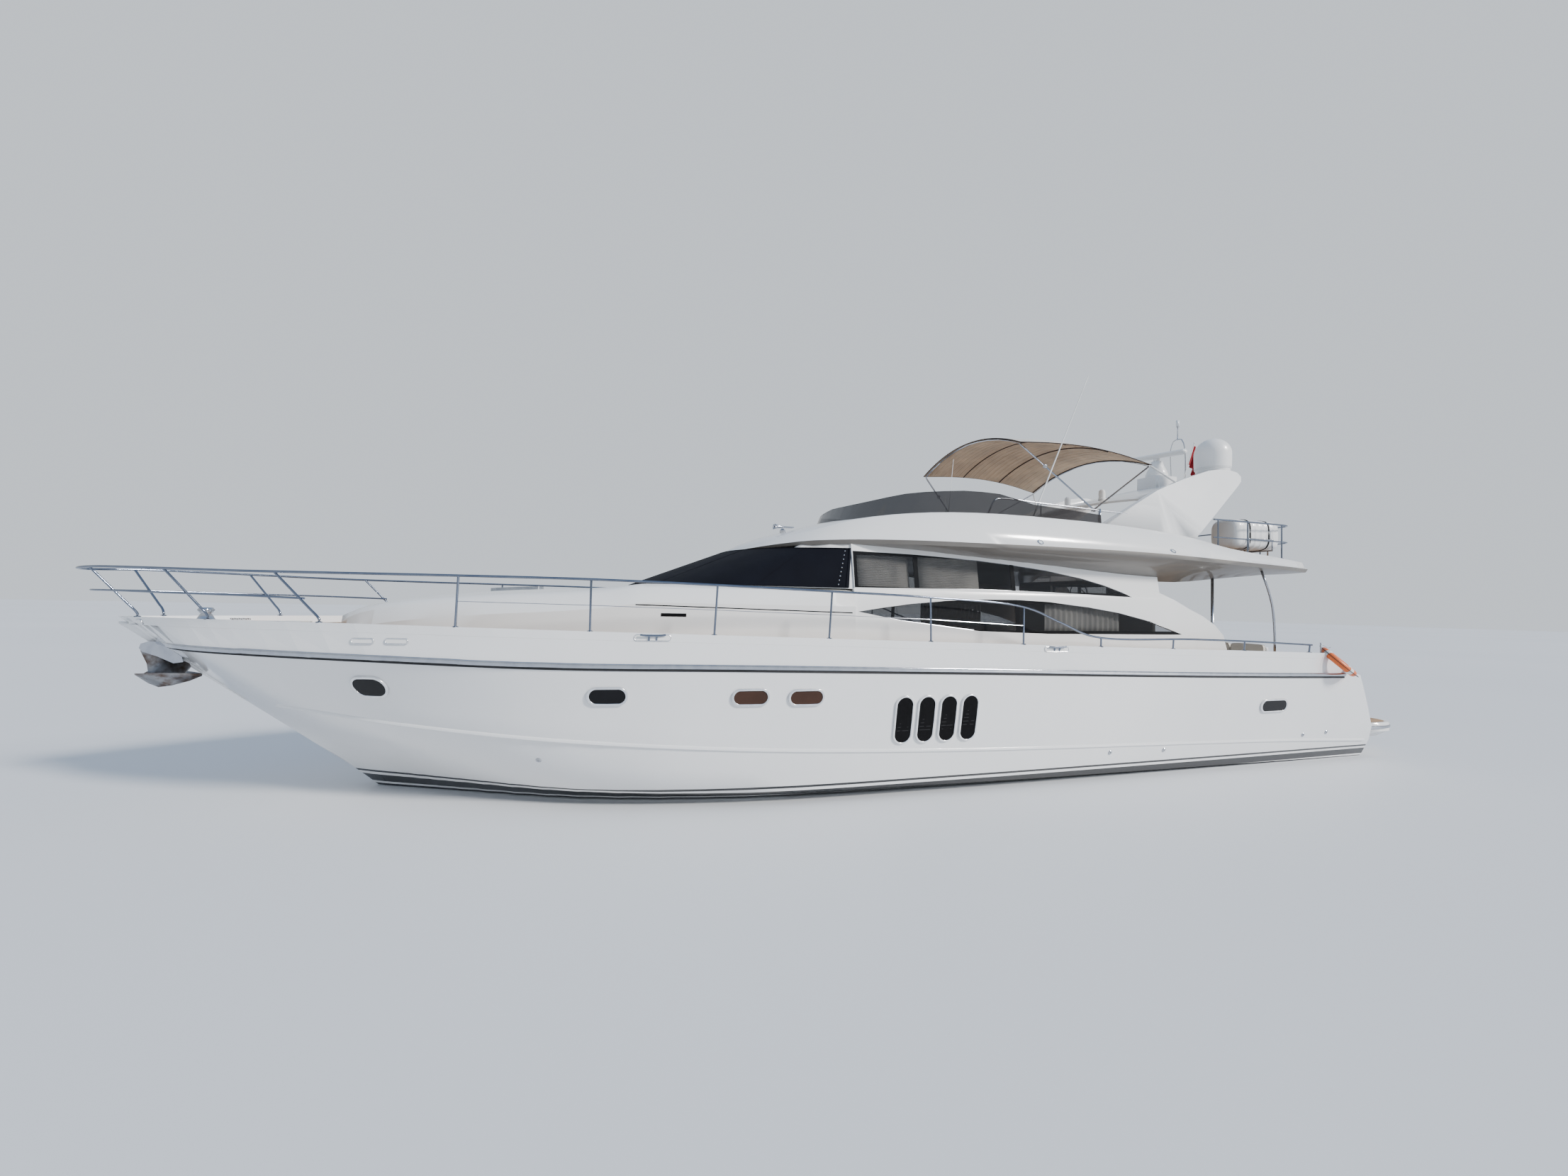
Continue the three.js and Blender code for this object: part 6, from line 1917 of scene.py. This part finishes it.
@dataclass
class Flybridge:
    """The upper deck with its screen, helm, seats, rails and raft."""

    sole: float = 3.56
    # The hand rail on the coaming.
    rail: tuple[Point, ...] = (
        (-1.30, 1.96, 4.06), (-1.42, 1.96, 4.27), (-1.55, 1.96, 4.30), (-2.26, 1.97, 4.275),
        (-3.38, 1.98, 4.235), (-4.05, 1.98, 4.20), (-4.22, 1.98, 4.14))
    # The after rail: its plan as far as the middle of the stern, its posts and the heights of its runs.
    aft_plan: tuple[Pair, ...] = (
        (-5.88, 1.99), (-6.80, 1.98), (-7.50, 1.955), (-7.79, 1.91), (-7.88, 1.78), (-7.90, 1.50), (-7.90, 0))
    aft_posts: tuple[Pair, ...] = (
        (-5.98, 1.989), (-6.70, 1.981), (-7.60, 1.947), (-7.90, 1.35), (-7.90, 0.45))
    aft_heights: Pair = (4.24, 3.93)
    # Side lamps, as (x, z), and where the whip aerial, the short one and the horn stand, as (x, y).
    lamps: tuple[Pair, ...] = ((-1.99, 3.62), (-4.59, 3.60))
    whip: Pair = (-1.97, 1.93)
    whip_tip: Point = (-3.20, 1.93, 6.42)
    short_aerial: Pair = (-0.73, 1.70)
    horn: Pair = (1.55, 0.62)
    # The seats' bases, the first cushion of each row, a seat and its back, and the step to the next one.
    helm_base: tuple[Box, ...] = (
        ((-1.64, -1.29, 3.561), (-1.26, -0.29, 3.89), 0.04),
        ((-1.70, -1.31, 3.86), (-1.20, -0.27, 3.89), 0.02))
    settee_base: tuple[Box, ...] = (
        ((-3.24, 1.16, 3.561), (-1.16, 1.75, 3.76), 0.04), ((-3.24, 0.26, 3.561), (-2.71, 1.3, 3.76), 0.04),
        ((-1.59, 0.41, 3.561), (-1.16, 1.3, 3.76), 0.04), ((-3.28, 0.26, 3.561), (-3.20, 1.70, 3.98), 0.03),
        ((-3.24, 1.72, 3.561), (-1.16, 1.79, 3.98), 0.03))
    helm_cushions: tuple[Box, Box] = (
        ((-1.62, -1.31, 3.885), (-1.19, -0.80, 4.00), 0.018),
        ((-1.74, -1.31, 3.95), (-1.62, -0.80, 4.32), 0.014))
    helm_pitch: Point = (0, 0.53, 0)
    settee_cushions: tuple[Box, Box] = (
        ((-3.19, 1.17, 3.76), (-2.53, 1.60, 3.87), 0.014),
        ((-3.19, 1.60, 3.85), (-2.53, 1.73, 4.09), 0.012))
    settee_pitch: Point = (0.68, 0, 0)
    aft_seat: Box = ((-3.19, 0.27, 3.76), (-2.72, 1.15, 3.87), 0.014)
    aft_back: Box = ((-3.22, 0.27, 3.85), (-3.10, 1.15, 4.09), 0.012)
    fore_seat: Box = ((-1.58, 0.42, 3.76), (-1.17, 1.15, 3.87), 0.014)
    # The console's leaning face: its foot, its way up and its way out, and where its displays stand.
    dash_foot: Point = (-0.65, 0, 3.82)
    dash_up: Point = (0.643, 0, 0.766)
    dash_outward: Point = (-0.766, 0, 0.643)
    displays: Pair = (-0.42, -1.08)
    wheel_hub: Point = (-0.64, -0.76, 3.99)
    # The raft's canister: its corners, and its ribs.
    raft_low: Point = (-7.76, 1.28, 3.79)
    raft_high: Point = (-6.65, 1.83, 4.34)
    raft_ribs: int = 6
    raft_straps: Pair = (-7.44, -6.97)
    # Downlights under the overhang, as (x, y).
    downlights: tuple[Pair, ...] = (
        (-5.6, 1.35), (-6.6, 1.55), (-7.4, 1.5), (-5.6, 0.5), (-6.6, 0.5), (-7.4, 0.5))

    def build(self) -> None:
        """Builds the upper deck."""
        self.skin = Skin("flybridge")
        self.moulding()
        dressed(
            "fly_screen", [Look.ACRYLIC, Look.BLACK],
            lambda f: int(f.normal.z > 0.6 and f.calc_area() < 0.02))
        self.helm()
        self.seats()
        self.rails()
        self.raft()
        self.lights()
        self.aerials()
        self.horns()
        dressed("stair_hatch", Look.GRIP)
        dressed("fly_table", [Look.TEAK, Look.STEEL], lambda f: int(f.calc_center_median().z < 4.08))

    def moulding(self) -> None:
        """Copies the moulding, paints shade on its underside and lays teak on its sole."""
        bm = cad_mesh("flybridge")
        flat = [f for f in bm.faces if f.normal.z > 0.99]
        sole = [f for f in flat if abs(f.calc_center_median().z - self.sole) < 0.01]
        inlay(bm, sole, 0.05)
        # Faces that look down are painted with shade.
        for face in bm.faces:
            if face.normal.z < -0.45:
                face.material_index = 2
        piece(
            "flybridge_finished", bm, [Look.WHITE, Look.TEAK, Look.PAINTED_SHADE_UNDERSIDE], Slot.GELCOAT,
            instead_of=["flybridge"], angle=30, tidy=False)

    def helm(self) -> None:
        """Dresses the console, its displays and the wheel."""
        dressed("fly_console", Look.WHITE)
        dressed("fly_wheel", [Look.BLACK, Look.STEEL], self.wheel_face, angle=60)
        up, outward = Vector(self.dash_up), Vector(self.dash_outward)
        middle = Vector(self.dash_foot) + up * 0.26 + outward * 0.004
        frames, screens = [], []
        for y in self.displays:
            there = facing(Vector((middle.x, y, middle.z)), outward, up)
            frames.append(place(block((-0.15, -0.11, -0.004), (0.15, 0.11, 0.012), 0.008), there))
            screens.append(place(block((-0.135, -0.095, 0.010), (0.135, 0.095, 0.0145), 0.003), there))
        piece("helm_display_frames", joined(frames), Look.BLACK, Slot.BLACK)
        piece("helm_displays", joined(screens), Look.SCREEN, Slot.BLACK)
        knob = [(0, -0.014), (0.012, -0.01), (0.014, 0), (0.012, 0.01), (0, 0.014)]
        levers = []
        for y in (-1.17, -1.21):
            root = Vector((-0.42, y, 4.10))
            bend = [root, root + Vector((-0.02, 0, 0.06)), root + Vector((-0.05, 0, 0.12))]
            levers.append(tube(bend, 0.006))
            levers.append(stood(root + Vector((-0.05, 0, 0.125)), knob, 12))
        piece("engine_levers", joined(levers), Look.STEEL, Slot.STAINLESS)

    def wheel_face(self, face: Face) -> int:
        """Gives the wheel's rim its black grip and the rest its metal.

        Args:
            face: A face of the wheel.

        Returns:
            Its material index.
        """
        axis = Vector(self.dash_outward)
        away = face.calc_center_median() - (Vector(self.wheel_hub) + axis * 0.08)
        return int((away - axis * away.dot(axis)).length < 0.17)

    def seats(self) -> None:
        """Builds the helm seat and the settee with their cushions."""
        helm = joined(block(*box) for box in self.helm_base)
        piece("helm_seat_base", helm, Look.WHITE, Slot.GELCOAT, instead_of=["fly_helm_seat"])
        names = ("helm_seat_cushion", "helm_back_cushion")
        cushions(names, self.helm_cushions, self.helm_pitch, 2, channels=3)
        settee = joined(block(*box) for box in self.settee_base)
        piece("settee_base", settee, Look.WHITE, Slot.GELCOAT, instead_of=["fly_settee"])
        cushions(("settee_seat", "settee_back"), self.settee_cushions, self.settee_pitch, 3)
        cushion("settee_aft_seat", *self.aft_seat)
        cushion("settee_aft_back", *self.aft_back, upright=True)
        cushion("settee_fore_seat", *self.fore_seat)

    def rails(self) -> None:
        """Builds the hand rails on the coaming and round the after deck."""
        hand = catmull(self.rail, 8)
        parts = [tube(hand, 0.013)]
        for x in (-2.26, -3.38):
            head = at_x(hand, x)
            foot, _ = self.skin.top(head.x, head.y)
            parts.append(rod(foot, head, 0.011))
        piece("coaming_hand_rail", both_sides(joined(parts)), Look.STEEL, Slot.STAINLESS)
        plan = catmull([(x, y, 0) for x, y in self.aft_plan], 8)
        runs = []
        for height, radius in zip(self.aft_heights, (0.0145, 0.0115)):
            runs.append(tube(there_and_back([Vector((q.x, q.y, height)) for q in plan]), radius))
        posts = []
        for x, y in self.aft_posts:
            foot, _ = self.skin.top(x, y)
            posts.append(rod(foot - Vector((0, 0, 0.004)), (x, y, self.aft_heights[0]), 0.0125))
            posts.append(Rails.base(foot))
        runs.append(both_sides(joined(posts)))
        piece("after_rail", joined(runs), Look.RAIL_PAINTED_REFLECTION, Slot.STAINLESS, instead_of=["fly_aft_rail"], angle=50)

    def raft(self) -> None:
        """Builds the ribbed canister of the liferaft and its straps."""
        low, high = Vector(self.raft_low), Vector(self.raft_high)
        centre, half = (low + high) / 2, (high - low) / 2
        # Places along the canister from its after end, each with the share of the full section there.
        stations = [(0.0, 0.70), (0.015, 0.84), (0.06, 0.96), (0.13, 0.99)]
        for k in range(self.raft_ribs):
            x = 0.17 + k * (1.11 - 0.34 - 0.05) / (self.raft_ribs - 1)
            stations += [(x, 0.985), (x + 0.008, 1.0), (x + 0.045, 1.0), (x + 0.053, 0.985)]
        stations += [(0.98, 0.99), (1.05, 0.96), (1.095, 0.84), (1.11, 0.70)]
        bm = bmesh.new()
        bmesh.ops.create_circle(bm, cap_ends=True, segments=48, radius=1)
        for v in bm.verts:
            v.co = (0, self.squared(v.co.x) * half.y, self.squared(v.co.y) * half.z)
        ring = bm.faces[:]
        at, share = stations[0]
        start = Matrix.Translation((low.x, centre.y, centre.z)) @ Matrix.Diagonal((1, share, share, 1))
        bmesh.ops.transform(bm, matrix=start, verts=bm.verts)
        pivot = Matrix.Translation((0, centre.y, centre.z))
        for k, (x, here) in enumerate(stations[1:]):
            made = bmesh.ops.extrude_face_region(bm, geom=ring)["geom"]
            grow = pivot @ Matrix.Diagonal((1, here / share, here / share, 1)) @ pivot.inverted()
            verts = [g for g in made if isinstance(g, bmesh.types.BMVert)]
            bmesh.ops.transform(bm, matrix=Matrix.Translation((x - at, 0, 0)) @ grow, verts=verts)
            if k:
                bmesh.ops.delete(bm, geom=[f for f in ring if f.is_valid], context="FACES_ONLY")
            ring = [g for g in made if isinstance(g, Face)]
            at, share = x, here
        piece("liferaft_canister", bm, Look.DOME, Slot.GELCOAT, instead_of=["liferaft"], angle=50)
        straps = []
        for x in self.raft_straps:
            for shift in (0.0, 0.012, -0.012):
                path = []
                for t in np.linspace(0, math.tau, 49)[:-1]:
                    y = centre.y + self.squared(math.cos(t)) * (half.y + 0.004)
                    z = centre.z + self.squared(math.sin(t)) * (half.z + 0.004)
                    path.append((x + shift, y, z))
                straps.append(tube(path, 0.004, closed=True, resolution=1))
        piece("raft_straps", joined(straps), Look.BLACK, Slot.BLACK)
        dressed("liferaft_cradle", Look.STEEL, angle=80)

    @staticmethod
    def squared(value: float) -> float:
        """A coordinate of the unit circle, pushed out towards a square with round corners."""
        return math.copysign(abs(value) ** 0.55, value)

    def lights(self) -> None:
        """Lets the side lamps into the coaming and the downlights into the overhang."""
        shells, lenses = [], []
        # Turned profiles, as (radius, height), of the side lamps and of the smaller downlights.
        bezel = [(0.05, -0.01), (0.05, 0.006), (0.044, 0.012), (0.036, 0.012), (0.034, 0.006)]
        lens = [(0, 0.010), (0.02, 0.009), (0.035, 0.005), (0.035, -0.005)]
        small_bezel = [(0.045, -0.01), (0.045, 0.004), (0.038, 0.008), (0.03, 0.006)]
        small_lens = [(0, 0.004), (0.03, 0.003), (0.03, -0.006)]
        for sign in SIDES:
            for x, z in self.lamps:
                there = facing(*self.skin.side(x, z, sign))
                shells.append(place(turned(bezel, 28), there))
                lenses.append(place(turned(lens, 28), there))
        for x, y in self.downlights:
            for sign in SIDES:
                hit, _, _, _ = self.skin.tree.ray_cast(Vector((x, y * sign, 2.5)), Vector((0, 0, 1)))
                if hit is None or hit.z > 3.6:
                    continue
                there = facing(hit, Vector((0, 0, -1)), Vector((1, 0, 0)))
                shells.append(place(turned(small_bezel, 24), there))
                lenses.append(place(turned(small_lens, 24), there))
        piece("lamp_bezels", joined(shells), Look.STEEL, Slot.STAINLESS)
        piece("lamp_lenses", joined(lenses), Look.LENS, Slot.GLASS)

    def aerials(self) -> None:
        """Stands the whip aerial in its socket, and the short aerial beside it."""
        foot, _ = self.skin.top(*self.whip)
        socket = [(0, 0.14), (0.012, 0.14), (0.018, 0.05), (0.03, 0.02), (0.034, -0.004), (0, -0.004)]
        whip = rod(foot + Vector((0, 0, 0.10)), self.whip_tip, 0.013, 0.006)
        aerial = joined([stood(foot, socket, 20), whip])
        piece("whip_aerial", aerial, Look.WHITE_PLASTIC, Slot.GELCOAT)
        foot, _ = self.skin.top(*self.short_aerial)
        bend = ((0, -0.004), (-0.05, 0.60), (-0.05, 0.58), (-0.12, 1.34))
        lean = [foot + Vector((x, 0, z)) for x, z in bend]
        short = [rod(lean[0], lean[1], 0.009, 0.005), rod(lean[2], lean[3], 0.004, 0.003)]
        piece("short_aerial", joined(short), Look.WHITE_PLASTIC, Slot.GELCOAT)

    def horns(self) -> None:
        """Builds the twin horn on the brow."""
        foot, _ = self.skin.top(*self.horn)
        body = [(0, -0.02), (0.045, -0.02), (0.045, 0.02), (0.02, 0.05), (0, 0.05)]
        bell = [(0.008, -0.20), (0.012, -0.05), (0.02, 0.06), (0.042, 0.12), (0.038, 0.12), (0.016, 0.05)]
        horn = [stood(foot + Vector((0, 0, 0.01)), body, 20)]
        for dy in (-0.035, 0.035):
            there = facing(foot + Vector((0.02, dy, 0.085)), Vector((1, 0, 0)))
            horn.append(place(turned([*bell, (0.008, -0.04)], 20), there))
        piece("horn", joined(horn), Look.STEEL, Slot.STAINLESS)


@dataclass
class Masthead:
    """The radar arch and all that stands on it."""

    # The satellite dome, the small aerial domes, as (x, y), and the flag.
    dome: Point = (-6.60, 1.40, 5.22)
    dome_radius: float = 0.30
    dome_height: float = 0.64
    domes: tuple[Pair, ...] = ((-5.0, 0.4), (-5.35, -0.9))
    flag_staff: tuple[Point, Point] = ((-6.66, 0.72, 5.14), (-6.98, 0.72, 5.98))
    flag_drop: float = 0.44

    def build(self) -> None:
        """Builds the masthead."""
        # The arch's faces that look down, across its middle, are painted with shade.
        dressed(
            "radar_arch", [Look.WHITE, Look.PAINTED_SHADE_UNDERSIDE],
            lambda f: int(f.normal.z < -0.75 and abs(f.calc_center_median().y) < 1.7))
        self.skin = Skin("radar_arch")
        self.radome()
        dressed("scanner_pedestal", Look.DOME, angle=40)
        dressed("radar_scanner", Look.DOME, angle=40)
        dressed(
            "light_mast", [Look.STEEL, Look.LENS], lambda f: int(f.calc_center_median().z > 6.395), angle=70)
        self.aerials()
        self.flag()

    def radome(self) -> None:
        """Turns the satellite dome and its base."""
        r, h = self.dome_radius, self.dome_height
        # The skirt's profile: the share of the radius, and the height.
        skirt = (
            (0, 0), (0.88, 0), (0.9, 0.004), (0.93, 0.05), (0.97, 0.058), (0.975, 0.066), (0.955, 0.070),
            (0.955, 0.076), (0.985, 0.08), (0.995, 0.2), (1, h - r))
        profile = [(share * r, z) for share, z in skirt]
        for k in range(1, 15):
            t = math.pi / 2 * k / 14
            profile.append((r * math.cos(t), h - r + r * math.sin(t)))
        top = Vector(self.dome)
        cap = stood(top, profile, 64)
        foot = stood(top, [(0, -0.24), (r * 0.75, -0.24), (r * 0.75, 0.002), (0, 0.002)], 48)
        piece(
            "radome_finished", joined([cap, foot]), Look.DOME, Slot.GELCOAT, instead_of=["radome"], angle=30)

    def aerials(self) -> None:
        """Adds the two small aerial domes on the arch."""
        shape = [
            (0, 0.20), (0.03, 0.195), (0.055, 0.17), (0.062, 0.12), (0.06, 0.03), (0.07, 0.02), (0.07, -0.01),
            (0, -0.01)]
        parts = [stood(self.skin.top(x, y)[0], shape, 32) for x, y in self.domes]
        piece("aerial_domes", joined(parts), Look.DOME, Slot.GELCOAT)

    def flag(self) -> None:
        """Hangs a plain dark red flag from its staff."""
        low, high = (Vector(q) for q in self.flag_staff)
        truck = stood(high, [(0, 0.02), (0.013, 0.014), (0.016, 0), (0.013, -0.012), (0, -0.016)], 14)
        staff = joined([rod(low, high, 0.009), truck])
        pole = piece("flag_staff", staff, Look.WHITE_PLASTIC, Slot.GELCOAT)
        bm = bmesh.new()
        bmesh.ops.create_grid(bm, x_segments=56, y_segments=28, size=0.5)
        for v in bm.verts:
            u, w = v.co.x + 0.5, v.co.y + 0.5
            hoist = high.lerp(low, 0.06 + (1 - w) * 0.46)
            swing = 0.17 * (1 - math.exp(-2.4 * u))
            fold = 0.045 * math.sin(u * 17 + (1 - w) * 1.2) * min(1, u * 3)
            sag = 0.30 * u * u + 0.16 * u
            v.co = hoist + Vector((-swing * 0.8, fold + swing * 0.1, -sag))
        area = sum(f.calc_area() for f in bm.faces)
        obj = piece("flag", bm, Look.FLAG, Slot.CANVAS, angle=80)
        thicken(obj, 0.002)


@dataclass
class Bimini:
    """The canopy over the flybridge seats, on its two bows."""

    # The ridge line's height at each place along the boat, over the bows' ends.
    line: tuple[Pair, ...] = ((-2.21, 5.32), (-2.9, 5.37), (-3.6, 5.375), (-4.3, 5.31), (-4.99, 5.18))
    # Half its width, how high its middle stands over the ridge line, and how far the cloth over the bows.
    half_width: float = 1.53
    crown: float = 0.33
    lift: float = 0.0155
    # Where the rib pockets run, and how many panels the seams part.
    ribs: tuple[float, ...] = (-2.26, -3.15, -4.05, -4.95)
    panels: int = 24

    def build(self) -> None:
        """Builds the canopy and its frame."""
        dressed("bimini_fore_bow", Look.STEEL, angle=80)
        dressed("bimini_after_bow", Look.STEEL, angle=80)
        self.canopy()
        self.props()

    def point(self, u: float, v: float, lift: float = 0.0) -> Vector:
        """A point of the canopy.

        Args:
            u: From 0 at the fore edge to 1 at the after edge.
            v: From -1 at starboard to 1 at port.
            lift: How far over the cloth.

        Returns:
            The point.
        """
        x = self.line[0][0] + (self.line[-1][0] - self.line[0][0]) * u
        ridge = catmull([(a, 0, b) for a, b in self.line], 8)
        z = at_x(ridge, x).z
        bay = math.sin(u * math.pi * 3) ** 2
        sag = 0.012 * bay * (1 - v * v)
        pull = 0.018 * math.sin(u * math.pi) * abs(v) ** 6
        arch = self.crown * (1 - v * v) * 0.985
        return Vector((x, v * (self.half_width - pull), z + self.lift + arch - sag + lift))

    def canopy(self) -> None:
        """Cuts the canopy from one sheet, with painted light on top and painted tan shade below, and adds
        piping and rib pockets.
        """
        bm = bmesh.new()
        bmesh.ops.create_grid(bm, x_segments=64, y_segments=60, size=0.5)
        for v in bm.verts:
            v.co = self.point(v.co.x + 0.5, v.co.y * 2, 0.009)
        bmesh.ops.recalc_face_normals(bm, faces=bm.faces)
        if sum(f.normal.z for f in bm.faces) < 0:
            bmesh.ops.reverse_faces(bm, faces=bm.faces)
        area = sum(f.calc_area() for f in bm.faces)
        bmesh.ops.solidify(bm, geom=bm.faces[:], thickness=0.006)
        bm.normal_update()
        # Faces that look up take the painted light, and faces that look down take the painted shade.
        for face in bm.faces:
            face.material_index = int(face.normal.z < 0)
        obj = piece("canopy_cloth", bm, [Look.CANOPY_TOP_PAINTED_LIT, Look.CANOPY_UNDER_PAINTED_SHADED], Slot.CANVAS,
                    instead_of=["bimini_canopy"], angle=60)
        pipes = []
        for edge in (-1.0, 1.0):
            path = [self.point(float(u), edge, 0.009) for u in np.linspace(0, 1, 40)]
            pipes.append(tube(path, 0.008, resolution=2))
        pipes += [self.across(end, 1.0, 50, 0.009, 0.008, 2) for end in (0.0, 1.0)]
        piping = piece("canopy_piping", joined(pipes), Look.PIPING, Slot.CANVAS)
        seams = [self.across(k / self.panels, 0.99, 30, 0.002, 0.004, 1) for k in range(1, self.panels)]
        under = piece("canopy_seams", joined(seams), Look.CANOPY_UNDER_PAINTED_SHADED, Slot.CANVAS)
        fore, after = self.line[0][0], self.line[-1][0]
        pockets = [self.across((fore - x) / (fore - after), 0.985, 40, -0.004, 0.011, 2) for x in self.ribs]
        pocket = piece("canopy_pockets", joined(pockets), Look.PIPING, Slot.CANVAS)
        for soft in (obj, piping, under, pocket):
            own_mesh(soft)
        length = 2 * run_length([self.point(0.5, float(v)) for v in np.linspace(0, 1, 40)])

    def across(self, u: float, reach: float, count: int, lift: float, radius: float, resolution: int) -> Mesh:
        """A cord or a pocket that runs across the canopy.

        Args:
            u: Where, from 0 at the fore edge to 1 at the after edge.
            reach: How far out it runs, of 1.
            count: How many points it has.
            lift: How far over the cloth.
            radius: Its radius.
            resolution: Smoothness of its round.

        Returns:
            The mesh.
        """
        path = [self.point(u, float(v), lift) for v in np.linspace(-reach, reach, count)]
        return tube(path, radius, resolution=resolution)

    def props(self) -> None:
        """Adds the props and struts that hold the canopy up, with their brackets."""
        fore = []
        for sign in SIDES:
            fore.append(rod((-2.62, sign * 1.62, 4.96), (-2.26, sign * 1.50, 5.29), 0.010))
            fore.append(block((-2.66, sign * 1.62 - 0.02, 4.93), (-2.60, sign * 1.62 + 0.02, 4.99), 0.008))
        piece("fore_bow_props", joined(fore), Look.STEEL, Slot.STAINLESS, "fore_bow")
        aft = []
        for sign in SIDES:
            aft.append(rod((-4.97, sign * 1.52, 5.19), (-5.28, sign * 1.78, 4.86), 0.016))
            aft.append(block((-5.32, sign * 1.76 - 0.03, 4.80), (-5.24, sign * 1.76 + 0.03, 4.88), 0.01))
        piece("after_bow_struts", joined(aft), Look.WHITE_PLASTIC, Slot.GELCOAT)


@dataclass
class RunningGear:
    """The screws, shafts and rudders under the water."""

    def build(self) -> None:
        """Dresses the running gear."""
        for side in ("port", "starboard"):
            dressed(f"propeller_{side}", Look.BRONZE, angle=45)
            dressed(f"rudder_{side}", Look.BRONZE)
            dressed(f"shaft_{side}", Look.STEEL, angle=60)


def main() -> None:
    """Builds the yacht, one part after another."""
    logging.basicConfig(level=logging.INFO, format="%(name)s: %(message)s")
    Studio().build()
    hull = Hull()
    steps: list[tuple[str, Callable[[], None]]] = [
        ("hull", hull.build), ("guard rail", lambda: Rails().build(hull)), ("bow gear", BowGear().build),
        ("house", House().build), ("saloon", Saloon().build), ("cockpit", Cockpit().build),
        ("flybridge", Flybridge().build), ("masthead", Masthead().build), ("bimini", Bimini().build),
        ("running gear", RunningGear().build)]
    for name, step in steps:
        step()
    plain = [n for n, o in frame["nodes"].items() if not o.hide_render]
    LOG.info("CAD nodes still shown: %s", ", ".join(plain) or "none")


if __name__ == "__main__":
    main()
